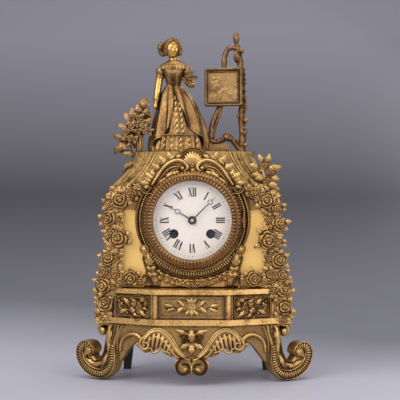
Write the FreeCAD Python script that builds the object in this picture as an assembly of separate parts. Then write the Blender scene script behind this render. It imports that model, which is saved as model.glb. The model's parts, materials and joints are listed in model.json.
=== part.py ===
"""A gilt figural mantel clock: a painter beside an easel stands on a draped mound over a round dial.

Millimetres. +X is the viewer's right, +Y points to the back, +Z is up. The origin is on the surface that
the clock stands on, under the middle of its box. Every piece is written as one STEP file under parts/.
"""
import FreeCAD
import Part
import math
import os

# Overall sizes
TOTAL_WIDTH = 255.4          # over the curls of the front feet
TOTAL_DEPTH = 124.0          # plinth moulding to the knob of the rear door
FRONT_Y = -TOTAL_DEPTH / 2
REAR_Y = TOTAL_DEPTH / 2
OVERRUN = 3.0                # how far a cutting tool runs past what it cuts
RUNNING_CLEARANCE = 0.05     # radial play of a pivot or pipe
DOOR_CLEARANCE = 0.3         # between a closed door and its seat
SEAT_CLEARANCE = 0.3         # around a tube in its hole

# Plinth, a three-faced box on the feet
PLINTH_BOTTOM_Z = 62.0
PLINTH_HEIGHT = 37.0
PLINTH_TOP_Z = PLINTH_BOTTOM_Z + PLINTH_HEIGHT
PLINTH_LEDGE = 2.0
PLINTH_FRONT_Y = FRONT_Y + PLINTH_LEDGE
PLINTH_CENTRE_HALF_WIDTH = 38.0
PLINTH_FACET_END_X = 88.0
PLINTH_CORNER_Y = -35.0
PLINTH_HALF_WIDTH = 101.0
PLINTH_BACK_Y = 52.0
PLINTH_WALL = 4.0
PLINTH_TOP_LEDGE_HEIGHT = 5.0
PLINTH_BOTTOM_LEDGE_HEIGHT = 6.0
PENDULUM_WELL_HALF_WIDTH = 36.0
PENDULUM_WELL_DEPTH = 40.0
FACET_RUN_X = PLINTH_FACET_END_X - PLINTH_CENTRE_HALF_WIDTH
FACET_RUN_Y = PLINTH_CORNER_Y - PLINTH_FRONT_Y
FACET_LENGTH = math.hypot(FACET_RUN_X, FACET_RUN_Y)
FACET_ANGLE = math.degrees(math.atan2(FACET_RUN_Y, FACET_RUN_X))

# Relief plaques let into the three faces of the plinth
PLAQUE_HEIGHT = 22.0
PLAQUE_THICKNESS = 2.2
PLAQUE_RECESS = 1.4
PLAQUE_CENTRE_WIDTH = 68.0
PLAQUE_SIDE_WIDTH = 45.0
PLAQUE_BORDER = 2.0
PLAQUE_FIELD_SINK = 0.7
PLAQUE_MID_Z = PLINTH_BOTTOM_Z + PLINTH_BOTTOM_LEDGE_HEIGHT + (
    PLINTH_HEIGHT - PLINTH_BOTTOM_LEDGE_HEIGHT - PLINTH_TOP_LEDGE_HEIGHT) / 2

# Front feet, S scrolls in the plane of the side faces
FOOT_THICKNESS = 20.0
FOOT_INNER_X = 72.0
FOOT_SPREAD = (TOTAL_WIDTH / 2 - FOOT_INNER_X) / math.cos(math.radians(FACET_ANGLE))
FOOT_HEIGHT = PLINTH_BOTTOM_Z
FOOT_SHARES = (
    (0.16, 1.03), (0.09, 0.75), (0.08, 0.48), (0.13, 0.29), (0.25, 0.12), (0.41, 0.0), (0.60, -0.02),
    (0.79, 0.05), (0.93, 0.18), (1.0, 0.35), (0.95, 0.53), (0.79, 0.62), (0.65, 0.56), (0.56, 0.475),
    (0.45, 0.50), (0.41, 0.63), (0.47, 0.70), (0.59, 0.71), (0.66, 0.83), (0.63, 0.97), (0.52, 1.03))
FOOT_EYE_RADIUS = 5.0
FOOT_EYE_SHARES = ((0.79, 0.42), (0.56, 0.86))
FOOT_EYE_DEPTH = 2.0

# Rear feet, plain tapered straps
REAR_FOOT_TOP_WIDTH = 15.0
REAR_FOOT_BOTTOM_WIDTH = 8.0
REAR_FOOT_OUTER_X = 83.0
REAR_FOOT_THICKNESS = 8.0

# Apron under the plinth
APRON_THICKNESS = 6.0
APRON_DROP = 50.6
APRON_HALF_SHARES = (
    (0.0, 1.0), (0.24, 0.94), (0.40, 0.78), (0.42, 0.63), (0.53, 0.65), (0.74, 0.585), (0.82, 0.49), (1.0, 0.46))
APRON_SIDE_DROP = 40.0
APRON_SIDE_LENGTH = 44.5
APRON_SIDE_SHARES = (
    (0.0, 0.0), (0.0, 0.60), (0.14, 0.70), (0.28, 0.73), (0.42, 0.63), (0.47, 0.47), (0.56, 0.46),
    (0.70, 0.62), (0.84, 0.82), (0.97, 1.0), (1.0, 0.82), (1.0, 0.0))
PENDANT_BOSS_RADIUS = 8.0
PENDANT_BOSS_HEIGHT = 3.0
PENDANT_BOSS_SHARES = ((-0.21, 0.80), (0.21, 0.80))

# Dial axis and the front of the case
DIAL_Z = 170.8
BODY_TOP_Z = 204.0
FACADE_FRONT_Y = -36.0
FACADE_THICKNESS = 6.0
FACADE_BOTTOM_HALF_WIDTH = 88.0
FACADE_TOP_HALF_WIDTH = 84.0
COLLAR_OUTER_RADIUS = 54.0
COLLAR_PROJECTION = 8.0
PANEL_WINDOW_WIDTH = 33.0
PANEL_WINDOW_HEIGHT = 71.0
PANEL_WINDOW_OUTER_X = 77.0
PANEL_WINDOW_BOTTOM_Z = 112.0
PANEL_WINDOW_SHARES = (
    (0.0, 0.0), (0.03, 0.97), (0.23, 1.0), (0.50, 0.985), (0.56, 0.81), (0.62, 0.63), (0.74, 0.46),
    (0.70, 0.36), (0.98, 0.27), (0.86, 0.13), (0.78, 0.0))
PANEL_LAP = 3.0
PANEL_THICKNESS = 1.2

# Shell behind the front
SHELL_WALL = 3.0
SHELL_BACK_Y = 50.0

# Drum, bezel seat, dial and the hinged glass
DRUM_OUTER_RADIUS = 46.0
DRUM_WALL = 1.5
DRUM_FRONT_Y = FACADE_FRONT_Y - COLLAR_PROJECTION
DRUM_BACK_Y = 56.0
ROD_SLOT_HALF_WIDTH = 14.0
SEAT_OUTER_RADIUS = 50.5
SEAT_LIP_RADIUS = 42.0
SEAT_THICKNESS = 3.0
SEAT_LIP_THICKNESS = 1.2
DIAL_RADIUS = 43.5
DIAL_THICKNESS = 1.2
DIAL_EDGE_PLAY = 0.1
DIAL_CENTRE_HOLE_RADIUS = 3.0
WINDING_HOLE_RADIUS = 4.0
DIAL_FOOT_RADIUS = 1.2
DIAL_FOOT_CIRCLE_RADIUS = 36.0
DIAL_FOOT_ANGLES = (60.0, 215.0, 300.0)
BEZEL_OUTER_RADIUS = 51.5
BEZEL_INNER_RADIUS = 41.3
BEZEL_DEPTH = 10.7
BEZEL_CROWN_RADIUS = 46.8
BEZEL_LIP_DEPTH_SHARE = 0.86
BEZEL_RIM_DEPTH_SHARE = 0.26
GLASS_RADIUS = 43.2
GLASS_THICKNESS = 1.5
GLASS_RISE = 3.0
GLASS_BOW_SHARES = ((0.0, 1.0), (0.35, 0.88), (0.70, 0.51), (1.0, 0.0))
GLASS_SETBACK = 3.6          # from the bezel's crown back to the edge of the glass
GLASS_PLAY = 0.1
HINGE_X = 53.6
KNUCKLE_RADIUS = 1.7
KNUCKLE_LENGTH = 5.0
KNUCKLE_GAP = 0.3
HINGE_PIN_RADIUS = 0.8

# Rear bezel and its door
REAR_BEZEL_OUTER_RADIUS = 50.0
REAR_BEZEL_INNER_RADIUS = 42.0
REAR_BEZEL_THICKNESS = 2.0
REAR_DOOR_RADIUS = 49.0
REAR_DOOR_THICKNESS = 1.7
REAR_HINGE_X = -52.2
KNOB_RADIUS = 3.0
STRAP_WIDTH = 6.0
STRAP_THICKNESS = 1.2
STRAP_EDGE_PLAY = 0.5

# Movement plates, arbors and wheels
PLATE_RADIUS = 41.0
PLATE_THICKNESS = 2.0
FRONT_PLATE_Y = -38.0
BACK_PLATE_Y = -6.0
PILLAR_RADIUS = 2.4
PILLAR_CIRCLE_RADIUS = 37.5
PILLAR_ANGLES = (45.0, 8.0, 270.0, 158.0)
PIVOT_RADIUS = 0.6
ARBOR_RADIUS = 0.9
CENTRE_ARBOR_RADIUS = 1.0
WHEEL_THICKNESS = 1.0
PINION_LENGTH = 3.2
HUB_RADIUS_SHARE = 0.22
HUB_LEAST_SHARE = 1.6
RIM_INNER_SHARE = 0.78
SPOKE_HALF_WIDTH_SHARE = 0.07
WHEEL_TOOTH_SHARES = ((-1.35, 0.42), (0.0, 0.42), (0.85, 0.12))
PINION_TOOTH_SHARES = ((-1.45, 0.36), (0.0, 0.34), (0.65, 0.10))
SMALL_PINION_TOOTH_SHARES = ((-1.35, 0.36), (0.0, 0.33), (0.55, 0.10))
WINDING_SPREAD_X = 19.3
WINDING_DROP_Z = 14.3
GREAT_MODULE = 0.42
GREAT_TEETH = 80
SECOND_PINION_TEETH = 10
SECOND_MODULE = 0.35
SECOND_TEETH = 60
CENTRE_PINION_TEETH = 10
CENTRE_MODULE = 0.25
CENTRE_TEETH = 84
SMALL_PINION_TEETH = 7
THIRD_MODULE = 0.22
THIRD_TEETH = 84
ESCAPE_TEETH = 36
ESCAPE_RADIUS = 7.5
ESCAPE_TOOTH_DEPTH = 1.1
ESCAPE_TOOTH_SHARES = ((0.0, 0.0), (0.10, 1.0), (0.80, 1.0))
ESCAPE_RISE_Z = 20.0
PALLET_RISE_Z = 31.0
PIN_MODULE = 0.25
PIN_TEETH = 72
LOCK_MODULE = 0.22
LOCK_TEETH = 64
STRIKE_SECOND_ANGLE = 100.0
PIN_WHEEL_ANGLE = 75.0
LOCK_WHEEL_ANGLE = 60.0
FLY_ANGLE = 150.0
BARREL_RADIUS = 14.8
BARREL_WALL = 1.0
BARREL_FRONT_Y = -33.0
BARREL_LENGTH = 17.5
BARREL_BORE_RADIUS = 2.5
MAINSPRING_INNER_RADIUS = 7.0
MAINSPRING_PLAY = 0.4
GREAT_WHEEL_THICKNESS = 2.0
WINDING_TIP_Y = -45.8
WINDING_SQUARE = 3.4
WINDING_PIVOT_RADIUS = 2.0
RATCHET_RADIUS = 7.0
RATCHET_TEETH = 14
RATCHET_DEPTH = 1.2
RATCHET_THICKNESS = 1.6
RATCHET_FRONT_Y = -41.0
CLICK_LENGTH = 8.0
CLICK_WIDTH = 2.4
CLICK_GAP = 0.35
SECOND_WHEEL_Y = -11.0
SECOND_PINION_Y = -16.2
CENTRE_WHEEL_Y = -35.2
CENTRE_PINION_Y = -12.0
THIRD_PINION_Y = -35.8
THIRD_WHEEL_Y = -28.0
ESCAPE_PINION_Y = -29.1
ESCAPE_WHEEL_Y = -22.0
PIN_WHEEL_Y = -24.0
PIN_PINION_Y = -12.0
LOCK_PINION_Y = -25.1
LOCK_WHEEL_Y = -31.0
FLY_PINION_Y = -32.1
FLY_BLADE_Y = -19.5
FLY_BLADE_LENGTH = 10.0
FLY_HALF_WIDTH = 4.2
FLY_THICKNESS = 0.6
LIFT_PIN_COUNT = 8
LIFT_PIN_CIRCLE_RADIUS = 7.8
LIFT_PIN_RADIUS = 0.45
LIFT_PIN_LENGTH = 3.0
COUNT_WHEEL_RADIUS = 11.0
COUNT_WHEEL_Y = -3.2
COUNT_WHEEL_NOTCHES = 12
COUNT_NOTCH_DEPTH = 1.5
COUNT_NOTCH_WIDTH = 1.1

# Motion work and hands
MOTION_MODULE = 0.45
CANNON_TEETH = 10
MINUTE_WHEEL_TEETH = 30
MINUTE_PINION_TEETH = 8
HOUR_WHEEL_TEETH = 32
CANNON_RADIUS = 1.8
HOUR_PIPE_RADIUS = 2.6
CANNON_PINION_Y = -42.4
HOUR_WHEEL_Y = -44.7
MINUTE_WHEEL_Y = -41.7
HOUR_HAND_Y = -48.9
MINUTE_HAND_Y = -50.6
CANNON_TIP_Y = -50.9
HAND_THICKNESS = 0.5
HAND_WIDTH = 1.5
HOUR_HAND_LENGTH = 32.5
HOUR_MOON_CENTRE = 17.9
MINUTE_HAND_LENGTH = 36.0
MINUTE_MOON_CENTRE = 26.7
MOON_RADIUS = 2.7
MOON_WIDTH = 0.6
HOUR_HUB_RADIUS = 4.5
MINUTE_HUB_RADIUS = 3.6
HOUR_HAND_CLOCK_ANGLE = 301.0
MINUTE_HAND_CLOCK_ANGLE = 45.0

# Escapement, suspension and pendulum
PALLET_CLEAR_RADIUS = 8.6
PALLET_BAND = 1.8
PALLET_HALF_SPAN_ANGLE = 48.0
PALLET_STEM_HALF_WIDTH = 1.2
PALLET_HUB_RADIUS = 1.7
CRUTCH_Y = 5.0
CRUTCH_THICKNESS = 1.4
CRUTCH_HALF_WIDTH = 0.9
CRUTCH_LENGTH = 26.0
CRUTCH_FORK_REACH = 8.5
CRUTCH_PRONG = 1.0
CRUTCH_PLAY = 0.4
PENDULUM_Y = 10.0
ROD_RADIUS = 1.2
SPRING_LENGTH = 6.0
SPRING_WIDTH = 3.0
SPRING_THICKNESS = 0.3
CHOP_LENGTH = 4.0
CHOP_HALF_WIDTH = 1.8
CHOP_DEPTH = 4.0
SUSPENSION_GAP = 0.6
PENDULUM_LENGTH = 113.8      # pivot to the middle of the bob
ROD_TAIL = 20.0
BOB_RADIUS = 15.5
BOB_HALF_THICKNESS = 4.0
BOB_EDGE_HALF_THICKNESS = 1.0
RATING_NUT_RADIUS = 2.6
RATING_NUT_HEIGHT = 2.4
COCK_WIDTH = 12.0
COCK_HEIGHT = 3.0
COCK_RISE = 4.2              # of its underside over the pallet arbor
COCK_REACH_Y = 14.0

# Bell and hammer
BELL_RIM_RADIUS = 34.0
BELL_RIM_Y = 20.0
BELL_DEPTH = 15.0
BELL_WALL = 1.8
BELL_POST_X = 16.0
BELL_POST_DROP = 10.0
BELL_POST_RADIUS = 2.0
BELL_ARM_Y = 26.0
BELL_ARM_THICKNESS = 2.0
BELL_STUD_RADIUS = 1.5
BELL_NUT_RADIUS = 3.5
BELL_NUT_HEIGHT = 2.5
HAMMER_X = -36.0
HAMMER_RISE_Z = 6.0
HAMMER_ARM_LENGTH = 15.9
HAMMER_ARM_HALF_WIDTH = 0.9
HAMMER_HEAD_RADIUS = 3.0
HAMMER_HEAD_LENGTH = 6.0
HAMMER_HEAD_Y = 20.5
HAMMER_TAIL_Y = -22.5
HAMMER_TAIL_THICKNESS = 1.2
HAMMER_TAIL_GAP = 0.5

# Mound over the dial, with its crest
TERRACE_HEIGHT = 39.0
TERRACE_TOP_Z = BODY_TOP_Z + TERRACE_HEIGHT
TERRACE_HALF_WIDTH = 87.0
TERRACE_HALF_DEPTH = 45.0
TERRACE_MID_Y = 2.0
TERRACE_WALL = 4.0
TERRACE_SQUARENESS = 3.2
TERRACE_SHARES = ((0.0, 1.0, 1.0), (0.18, 0.93, 0.99), (0.38, 0.835, 0.975), (0.58, 0.765, 0.96),
                  (0.86, 0.71, 0.94), (1.0, 0.72, 0.94))
CREST_INNER_RADIUS = 54.3
CREST_OUTER_RADIUS = 66.0
CREST_HALF_ANGLE = 50.0
CREST_FRONT_Y = -51.0
CREST_SHIELD_RADIUS = 11.5
CREST_SHIELD_RISE = 64.5     # of its centre over the dial axis
CREST_CURL_RADIUS = 8.5
CREST_CURL_ANGLE = 34.0

# Swag under the dial
SWAG_OUTER_RADIUS = 65.0
SWAG_HALF_ANGLE = 62.0
SWAG_FRONT_Y = -46.0
SWAG_FLOWER_RADIUS = 8.0
SWAG_FLOWER_HEIGHT = 6.0
SWAG_FLOWER_ANGLES = (-58.0, -34.0, -12.0, 12.0, 34.0, 58.0)
VOLUTE_RADIUS = 6.5
VOLUTE_X = 51.0
VOLUTE_DROP_Z = 34.0
BRACKET_X = 47.0
BRACKET_WIDTH = 12.0
BRACKET_HEIGHT = 30.0

# Rose garlands down both sides: places and radii as shares of the half width and height that they follow
GARLAND_STEM_RADIUS = 5.0
GARLAND_WIDTH = 100.0
GARLAND_TOP_Z = 206.0
GARLAND_BOTTOM_Z = 64.0
ROSE_RADIUS = 9.0
ROSE_HEIGHT = 9.0
LEAF_LENGTH = 13.0
LEAF_WIDTH = 7.0
LEAF_THICKNESS = 3.0
GARLAND_STEM_SHARES = (
    (0.72, 0.99), (0.82, 0.91), (0.89, 0.76), (0.83, 0.60), (0.89, 0.45), (0.95, 0.28), (0.97, 0.12), (0.95, 0.0))
GARLAND_ROSE_SHARES = (
    (0.781, 0.888, 0.95), (0.91, 0.76, 0.88), (0.79, 0.603, 1.12), (0.91, 0.45, 0.86), (0.985, 0.268, 0.84),
    (0.975, 0.113, 0.92), (0.66, 0.315, 0.98), (0.66, 0.965, 0.66), (0.54, 1.0, 0.6))
GARLAND_LEAF_SHARES = (
    (0.88, 0.955, 60.0), (0.94, 0.86, 20.0), (0.97, 0.60, -10.0), (0.95, 0.53, 30.0), (0.90, 0.34, 200.0),
    (1.06, 0.19, 10.0), (1.05, 0.03, -20.0), (0.78, 0.27, 180.0))
SPRAY_ROSE_SHARES = ((0.76, 1.165, 0.72), (0.83, 1.115, 0.62), (0.80, 1.06, 0.5))
TIE_RADIUS_SHARE = 0.6

# Painter
FIGURE_X = -16.5
FIGURE_Y = -8.0
SKIRT_HEIGHT = 71.0
SKIRT_HALF_WIDTH = 32.6
SKIRT_HALF_DEPTH = 25.0
SKIRT_WALL = 3.0
SKIRT_FOLDS = 8
SKIRT_FOLD_SHARE = 0.045
WAIST_SHIFT_X = -6.0
SKIRT_SHARES = ((0.0, 1.0, 1.0, 0.0), (0.18, 0.93, 0.92, 0.03), (0.42, 0.83, 0.80, 0.12), (0.70, 0.64, 0.62, 0.35),
                (0.88, 0.47, 0.47, 0.70), (1.0, 0.29, 0.32, 1.0))
BODICE_HEIGHT = 29.0
BODICE_HALF_WIDTH = 15.0
BODICE_HALF_DEPTH = 9.5
BODICE_SHARES = ((0.0, 0.62, 0.78), (0.35, 0.72, 0.90), (0.66, 0.92, 1.0), (0.86, 1.0, 0.86), (1.0, 0.50, 0.60))
NECK_RADIUS = 4.3
NECK_LENGTH = 9.0
HEAD_RADIUS = 8.6
HEAD_HALF_HEIGHT = 11.4
HAIR_RADIUS = 5.6
HAIR_SHIFT_X = -8.0
HAIR_SHIFT_Z = -1.5
HEAD_TOP_Z = TERRACE_TOP_Z + 127.0
SLEEVE_RADIUS = 5.6
HAND_RADIUS = 2.6
SHOULDER_HALF_SPAN = 14.5
SHOULDER_SHARE = 0.80
RIGHT_ARM_LENGTH = 44.0
RIGHT_ARM_SHARES = ((0.0, 0.0, 0.0, 1.0), (-0.09, -0.04, -0.20, 1.0), (-0.12, -0.08, -0.42, 0.62),
                    (-0.11, -0.16, -0.75, 0.52), (-0.09, -0.22, -1.0, 0.46))
LEFT_ARM_LENGTH = 26.0
LEFT_ARM_SHARES = ((0.0, 0.0, 0.0, 1.0), (0.10, -0.08, -0.34, 1.0), (0.10, -0.22, -0.66, 0.60),
                   (-0.06, -0.66, -0.62, 0.52), (-0.12, -0.92, -0.52, 0.46))
PALETTE_HALF_LENGTH = 9.0
PALETTE_HALF_WIDTH = 6.5
PALETTE_THICKNESS = 1.5

# Easel with its picture, and the paint box
EASEL_X = 53.0
EASEL_Y = 6.0
EASEL_HEIGHT = 133.0
EASEL_SPAN = 36.0
EASEL_POST_RADIUS = 3.1
POST_SHARES = ((0.0, 0.0, 1.0), (0.03, 0.15, 0.95), (0.05, 0.32, 0.95), (0.03, 0.50, 0.85), (-0.06, 0.70, 0.8),
               (-0.15, 0.82, 0.75), (-0.19, 0.93, 0.6))
LEG_SHARES = ((-0.16, 0.84, 0.7), (-0.42, 0.87, 0.7), (-0.57, 0.83, 0.7), (-0.62, 0.72, 0.72), (-0.68, 0.40, 0.78),
              (-0.86, 0.24, 0.85), (-1.0, 0.10, 0.85), (-1.0, 0.0, 1.0))
ROOT_SHARES = ((-1.0, 0.11, 0.8), (-0.76, 0.105, 0.8), (-0.50, 0.14, 1.1), (-0.24, 0.075, 0.8), (0.0, 0.02, 0.8))
FINIAL_RADIUS = 3.3
FINIAL_HALF_HEIGHT = 6.5
PICTURE_WIDTH = 42.0
PICTURE_HEIGHT = 41.0
PICTURE_THICKNESS = 3.0
PICTURE_X = 31.5
PICTURE_Y = -4.0
PICTURE_BOTTOM_Z = TERRACE_TOP_Z + 51.0
PICTURE_TURN = -12.0
PICTURE_BORDER = 3.0
PICTURE_SINK = 1.2
SHELF_HEIGHT = 2.5
SHELF_LENGTH = 33.0
SHELF_DEPTH = 11.0
SHELF_X = 38.5
SHELF_Y = -0.5
PAINT_BOX_LENGTH = 22.0
PAINT_BOX_WIDTH = 13.0
PAINT_BOX_HEIGHT = 8.0
PAINT_BOX_X = 27.0
PAINT_BOX_Y = -27.0
PAINT_BOX_TURN = 8.0

# Shrub on the left shoulder of the mound
SHRUB_X = -60.0
SHRUB_Y = -20.0
SHRUB_FOOT_Z = 222.0
SHRUB_SIZE = 78.0
SHRUB_STEM_RADIUS = 2.4
SHRUB_LEAF_LENGTH = 15.0
SHRUB_LEAF_WIDTH = 8.0
SHRUB_TIP_SHARES = ((0.10, 0.0, 0.96, 70.0), (-0.04, -0.08, 0.84, 110.0), (-0.16, 0.05, 0.76, 125.0),
                    (-0.27, -0.05, 0.62, 140.0), (-0.31, 0.06, 0.48, 165.0), (0.05, 0.10, 0.70, 60.0),
                    (-0.26, 0.0, 0.32, 190.0), (0.02, -0.12, 0.58, 85.0))


def vector(x, y, z):
    """A point or direction."""
    return FreeCAD.Vector(x, y, z)


ORIGIN = vector(0, 0, 0)
BACKWARDS = vector(0, 1, 0)
UP = vector(0, 0, 1)


def polar(radius, degrees):
    """The offsets along X and Z of a point at that radius and angle from +X."""
    return radius * math.cos(math.radians(degrees)), radius * math.sin(math.radians(degrees))


def rod(x, z, radius, y_from, y_to):
    """A round bar along Y."""
    return Part.makeCylinder(radius, y_to - y_from, vector(x, y_from, z), BACKWARDS)


def tube(x, z, outer, inner, y_from, y_to):
    """A round tube along Y."""
    hole = rod(x, z, inner, y_from - OVERRUN, y_to + OVERRUN)
    return rod(x, z, outer, y_from, y_to).cut(hole)


def block(x_from, x_to, y_from, y_to, z_from, z_to):
    """A box between two corners."""
    return Part.makeBox(x_to - x_from, y_to - y_from, z_to - z_from, vector(x_from, y_from, z_from))


def slab(points, y_from, y_to):
    """A plate in the XZ plane, with straight edges through the points, between two depths."""
    corners = [vector(x, y_from, z) for x, z in points]
    face = Part.Face(Part.makePolygon(corners + corners[:1]))
    return face.extrude(vector(0, y_to - y_from, 0))


def curved_slab(points, y_from, y_to):
    """A plate in the XZ plane whose edge is one closed smooth curve through the points."""
    curve = Part.BSplineCurve()
    curve.interpolate(Points=[vector(x, y_from, z) for x, z in points], PeriodicFlag=True)
    return Part.Face(Part.Wire(curve.toShape())).extrude(vector(0, y_to - y_from, 0))


def arc_slab(centre_z, inner, outer, mid_degrees, half_degrees, y_from, y_to):
    """A piece of a flat ring round the dial axis's X, at that height, between two depths."""
    ring = tube(0, centre_z, outer, inner, y_from, y_to)
    reach = outer / math.cos(math.radians(half_degrees / 2))
    corners = [(0, 0)]
    for step in (-1, -0.5, 0, 0.5, 1):
        x, z = polar(reach * 1.2, mid_degrees + step * half_degrees)
        corners.append((x, z))
    wedge = slab([(x, centre_z + z) for x, z in corners], y_from - OVERRUN, y_to + OVERRUN)
    return ring.common(wedge)


def joined(shapes):
    """The shapes as one solid casting."""
    whole = shapes[0].multiFuse(shapes[1:]) if len(shapes) > 1 else shapes[0]
    return whole.removeSplitter()


def largest(shape):
    """The biggest solid of the shape."""
    return max(shape.Solids, key=lambda s: s.Volume)


def mirrored(shape):
    """The shape on the other side of the clock's middle."""
    return shape.mirror(ORIGIN, vector(1, 0, 0))


def turned(shape, degrees, x, y):
    """The shape turned about a vertical line through (x, y)."""
    copy = shape.copy()
    copy.rotate(vector(x, y, 0), UP, degrees)
    return copy


def on_facet(shape):
    """A shape modelled along +X from the origin, front at y 0, set on the right-hand face of the plinth."""
    copy = shape.copy()
    copy.rotate(ORIGIN, UP, FACET_ANGLE)
    copy.translate(vector(PLINTH_CENTRE_HALF_WIDTH, PLINTH_FRONT_Y, 0))
    return copy


def closed_wire(points):
    """One closed smooth curve through the points."""
    curve = Part.BSplineCurve()
    curve.interpolate(Points=points, PeriodicFlag=True)
    return Part.Wire(curve.toShape())


def oval_ring(x, y, z, half_width, half_depth, power=2.0, folds=0, fold_share=0.0):
    """A horizontal closed curve: an oval, squarer with a higher power, and waved by a number of folds."""
    points = []
    count = folds * 4 if folds else 24
    for step in range(count):
        a = 2 * math.pi * step / count
        c, s = math.cos(a), math.sin(a)
        wave = 1 + fold_share * math.cos(folds * a)
        px = math.copysign(abs(c) ** (2 / power), c) * half_width * wave
        py = math.copysign(abs(s) ** (2 / power), s) * half_depth * wave
        points.append(vector(x + px, y + py, z))
    return closed_wire(points)


def limb(points, radii):
    """A round tapering branch or arm, lofted through circles that stand square to the way through the points."""
    rings = []
    last = len(points) - 1
    for index, (p, radius) in enumerate(zip(points, radii)):
        way = (points[min(index + 1, last)] - points[max(index - 1, 0)]).normalize()
        side = BACKWARDS.cross(way).normalize()
        ring = Part.Wire(Part.makeCircle(radius))
        ring.Placement = FreeCAD.Placement(p, FreeCAD.Rotation(side, way.cross(side), way, "ZXY"))
        rings.append(ring)
    return Part.makeLoft(rings, True, False)


def egg(centre, radius, half_height):
    """A solid round about a vertical line through the centre, egg-shaped in height."""
    corners = []
    for step in range(13):
        a = math.pi * (step / 12 - 0.5)
        corners.append(centre + vector(radius * math.cos(a), 0, half_height * math.sin(a)))
    corners[0] = centre - vector(0, 0, half_height)
    corners[-1] = centre + vector(0, 0, half_height)
    return Part.Face(Part.makePolygon(corners + corners[:1])).revolve(centre, UP, 360)


def revolved_y(profile, x, z):
    """A closed profile of (radius, y) points turned about a line along Y."""
    corners = [vector(x + r, y, z) for r, y in profile]
    face = Part.Face(Part.makePolygon(corners + corners[:1]))
    return face.revolve(vector(x, 0, z), BACKWARDS, 360)


def rose(x, y, z, radius, height):
    """An open rose seen from the front: rings of petals round a bud, its back at y."""
    profile = ((0, y), (radius, y), (radius, y - height * 0.35), (radius * 0.86, y - height * 0.62),
               (radius * 0.70, y - height * 0.55), (radius * 0.60, y - height * 0.84),
               (radius * 0.42, y - height * 0.76), (radius * 0.30, y - height), (0, y - height * 0.94))
    return revolved_y(profile, x, z)


def leaf(x, y, z, length, width, thickness, degrees):
    """A pointed leaf standing in the XZ plane, its middle at (x, z), its back at y."""
    half = length / 2
    bulge = width / 2
    tip, stem = vector(half, 0, 0), vector(-half, 0, 0)
    edge = Part.Wire([Part.Arc(stem, vector(0, 0, bulge), tip).toShape(),
                      Part.Arc(tip, vector(0, 0, -bulge), stem).toShape()])
    shape = Part.Face(edge).extrude(vector(0, -thickness, 0))
    shape.rotate(ORIGIN, BACKWARDS, -degrees)
    shape.translate(vector(x, y, z))
    return shape


def pitch(teeth, module):
    """The pitch radius of a toothed wheel."""
    return teeth * module / 2


def toothed_wire(teeth, module, shares, y):
    """The closed outline of a toothed wheel, one tooth on +X."""
    pitch_radius = teeth * module / 2
    corners = []
    for index in range(teeth):
        middle = 2 * math.pi * index / teeth
        half = [(pitch_radius + a * module, w * math.pi / teeth) for a, w in shares]
        for radius, angle in half:
            corners.append((radius, middle - angle))
        for radius, angle in reversed(half):
            corners.append((radius, middle + angle))
    points = [vector(r * math.cos(a), y, r * math.sin(a)) for r, a in corners]
    return Part.makePolygon(points + points[:1])


def circle_wire(radius, y):
    """A circle about the Y axis."""
    return Part.Wire(Part.makeCircle(radius, vector(0, y, 0), BACKWARDS))


def window_wires(rim_radius, hub_radius, half_width, y):
    """The four openings between a wheel's spokes."""
    wires = []
    inner = math.asin(half_width / hub_radius)
    outer = math.asin(half_width / rim_radius)
    for quarter in range(4):
        base = quarter * math.pi / 2
        ends = [(hub_radius, base + inner), (rim_radius, base + outer),
                (rim_radius, base + math.pi / 2 - outer), (hub_radius, base + math.pi / 2 - inner)]
        a, b, c, d = [vector(r * math.cos(t), y, r * math.sin(t)) for r, t in ends]
        middle = base + math.pi / 4
        far = vector(rim_radius * math.cos(middle), y, rim_radius * math.sin(middle))
        near = vector(hub_radius * math.cos(middle), y, hub_radius * math.sin(middle))
        wires.append(Part.Wire([Part.LineSegment(a, b).toShape(), Part.Arc(b, far, c).toShape(),
                                Part.LineSegment(c, d).toShape(), Part.Arc(d, near, a).toShape()]))
    return wires


def pierced(outline, holes, thickness, degrees=0.0):
    """A flat piece about the Y axis: an outline with holes, given a thickness and turned."""
    face = Part.makeFace([outline] + holes, "Part::FaceMakerBullseye")
    solid = face.extrude(vector(0, thickness, 0))
    solid.rotate(ORIGIN, BACKWARDS, -degrees)
    return solid


def wheel(teeth, module, bore, y, thickness, degrees, spoked=True):
    """A toothed wheel about the Y axis, one tooth at that angle, with a bore and perhaps spokes."""
    radius = pitch(teeth, module)
    holes = [circle_wire(bore, y)]
    if spoked:
        hub = max(radius * HUB_RADIUS_SHARE, bore * HUB_LEAST_SHARE)
        holes += window_wires(radius * RIM_INNER_SHARE, hub, radius * SPOKE_HALF_WIDTH_SHARE, y)
    return pierced(toothed_wire(teeth, module, WHEEL_TOOTH_SHARES, y), holes, thickness, degrees)


def pinion(teeth, module, y, length, degrees):
    """A pinion about the Y axis, one leaf at that angle."""
    shares = SMALL_PINION_TOOTH_SHARES if teeth < SECOND_PINION_TEETH else PINION_TOOTH_SHARES
    solid = Part.Face(toothed_wire(teeth, module, shares, y)).extrude(vector(0, length, 0))
    solid.rotate(ORIGIN, BACKWARDS, -degrees)
    return solid


def arbor(radius, y_from=FRONT_PLATE_Y + PLATE_THICKNESS, y_to=BACK_PLATE_Y):
    """A steel arbor between the plates, with a thinner pivot in each."""
    end_play = RUNNING_CLEARANCE
    shaft = rod(0, 0, radius, y_from + end_play, y_to - end_play)
    return shaft.fuse(rod(0, 0, PIVOT_RADIUS, y_from - PLATE_THICKNESS, y_to + PLATE_THICKNESS))


def at(shape, place):
    """A movement piece, modelled on the Y axis, set at its place round the dial axis."""
    copy = shape.copy()
    copy.translate(vector(place[0], 0, DIAL_Z + place[1]))
    return copy


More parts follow.
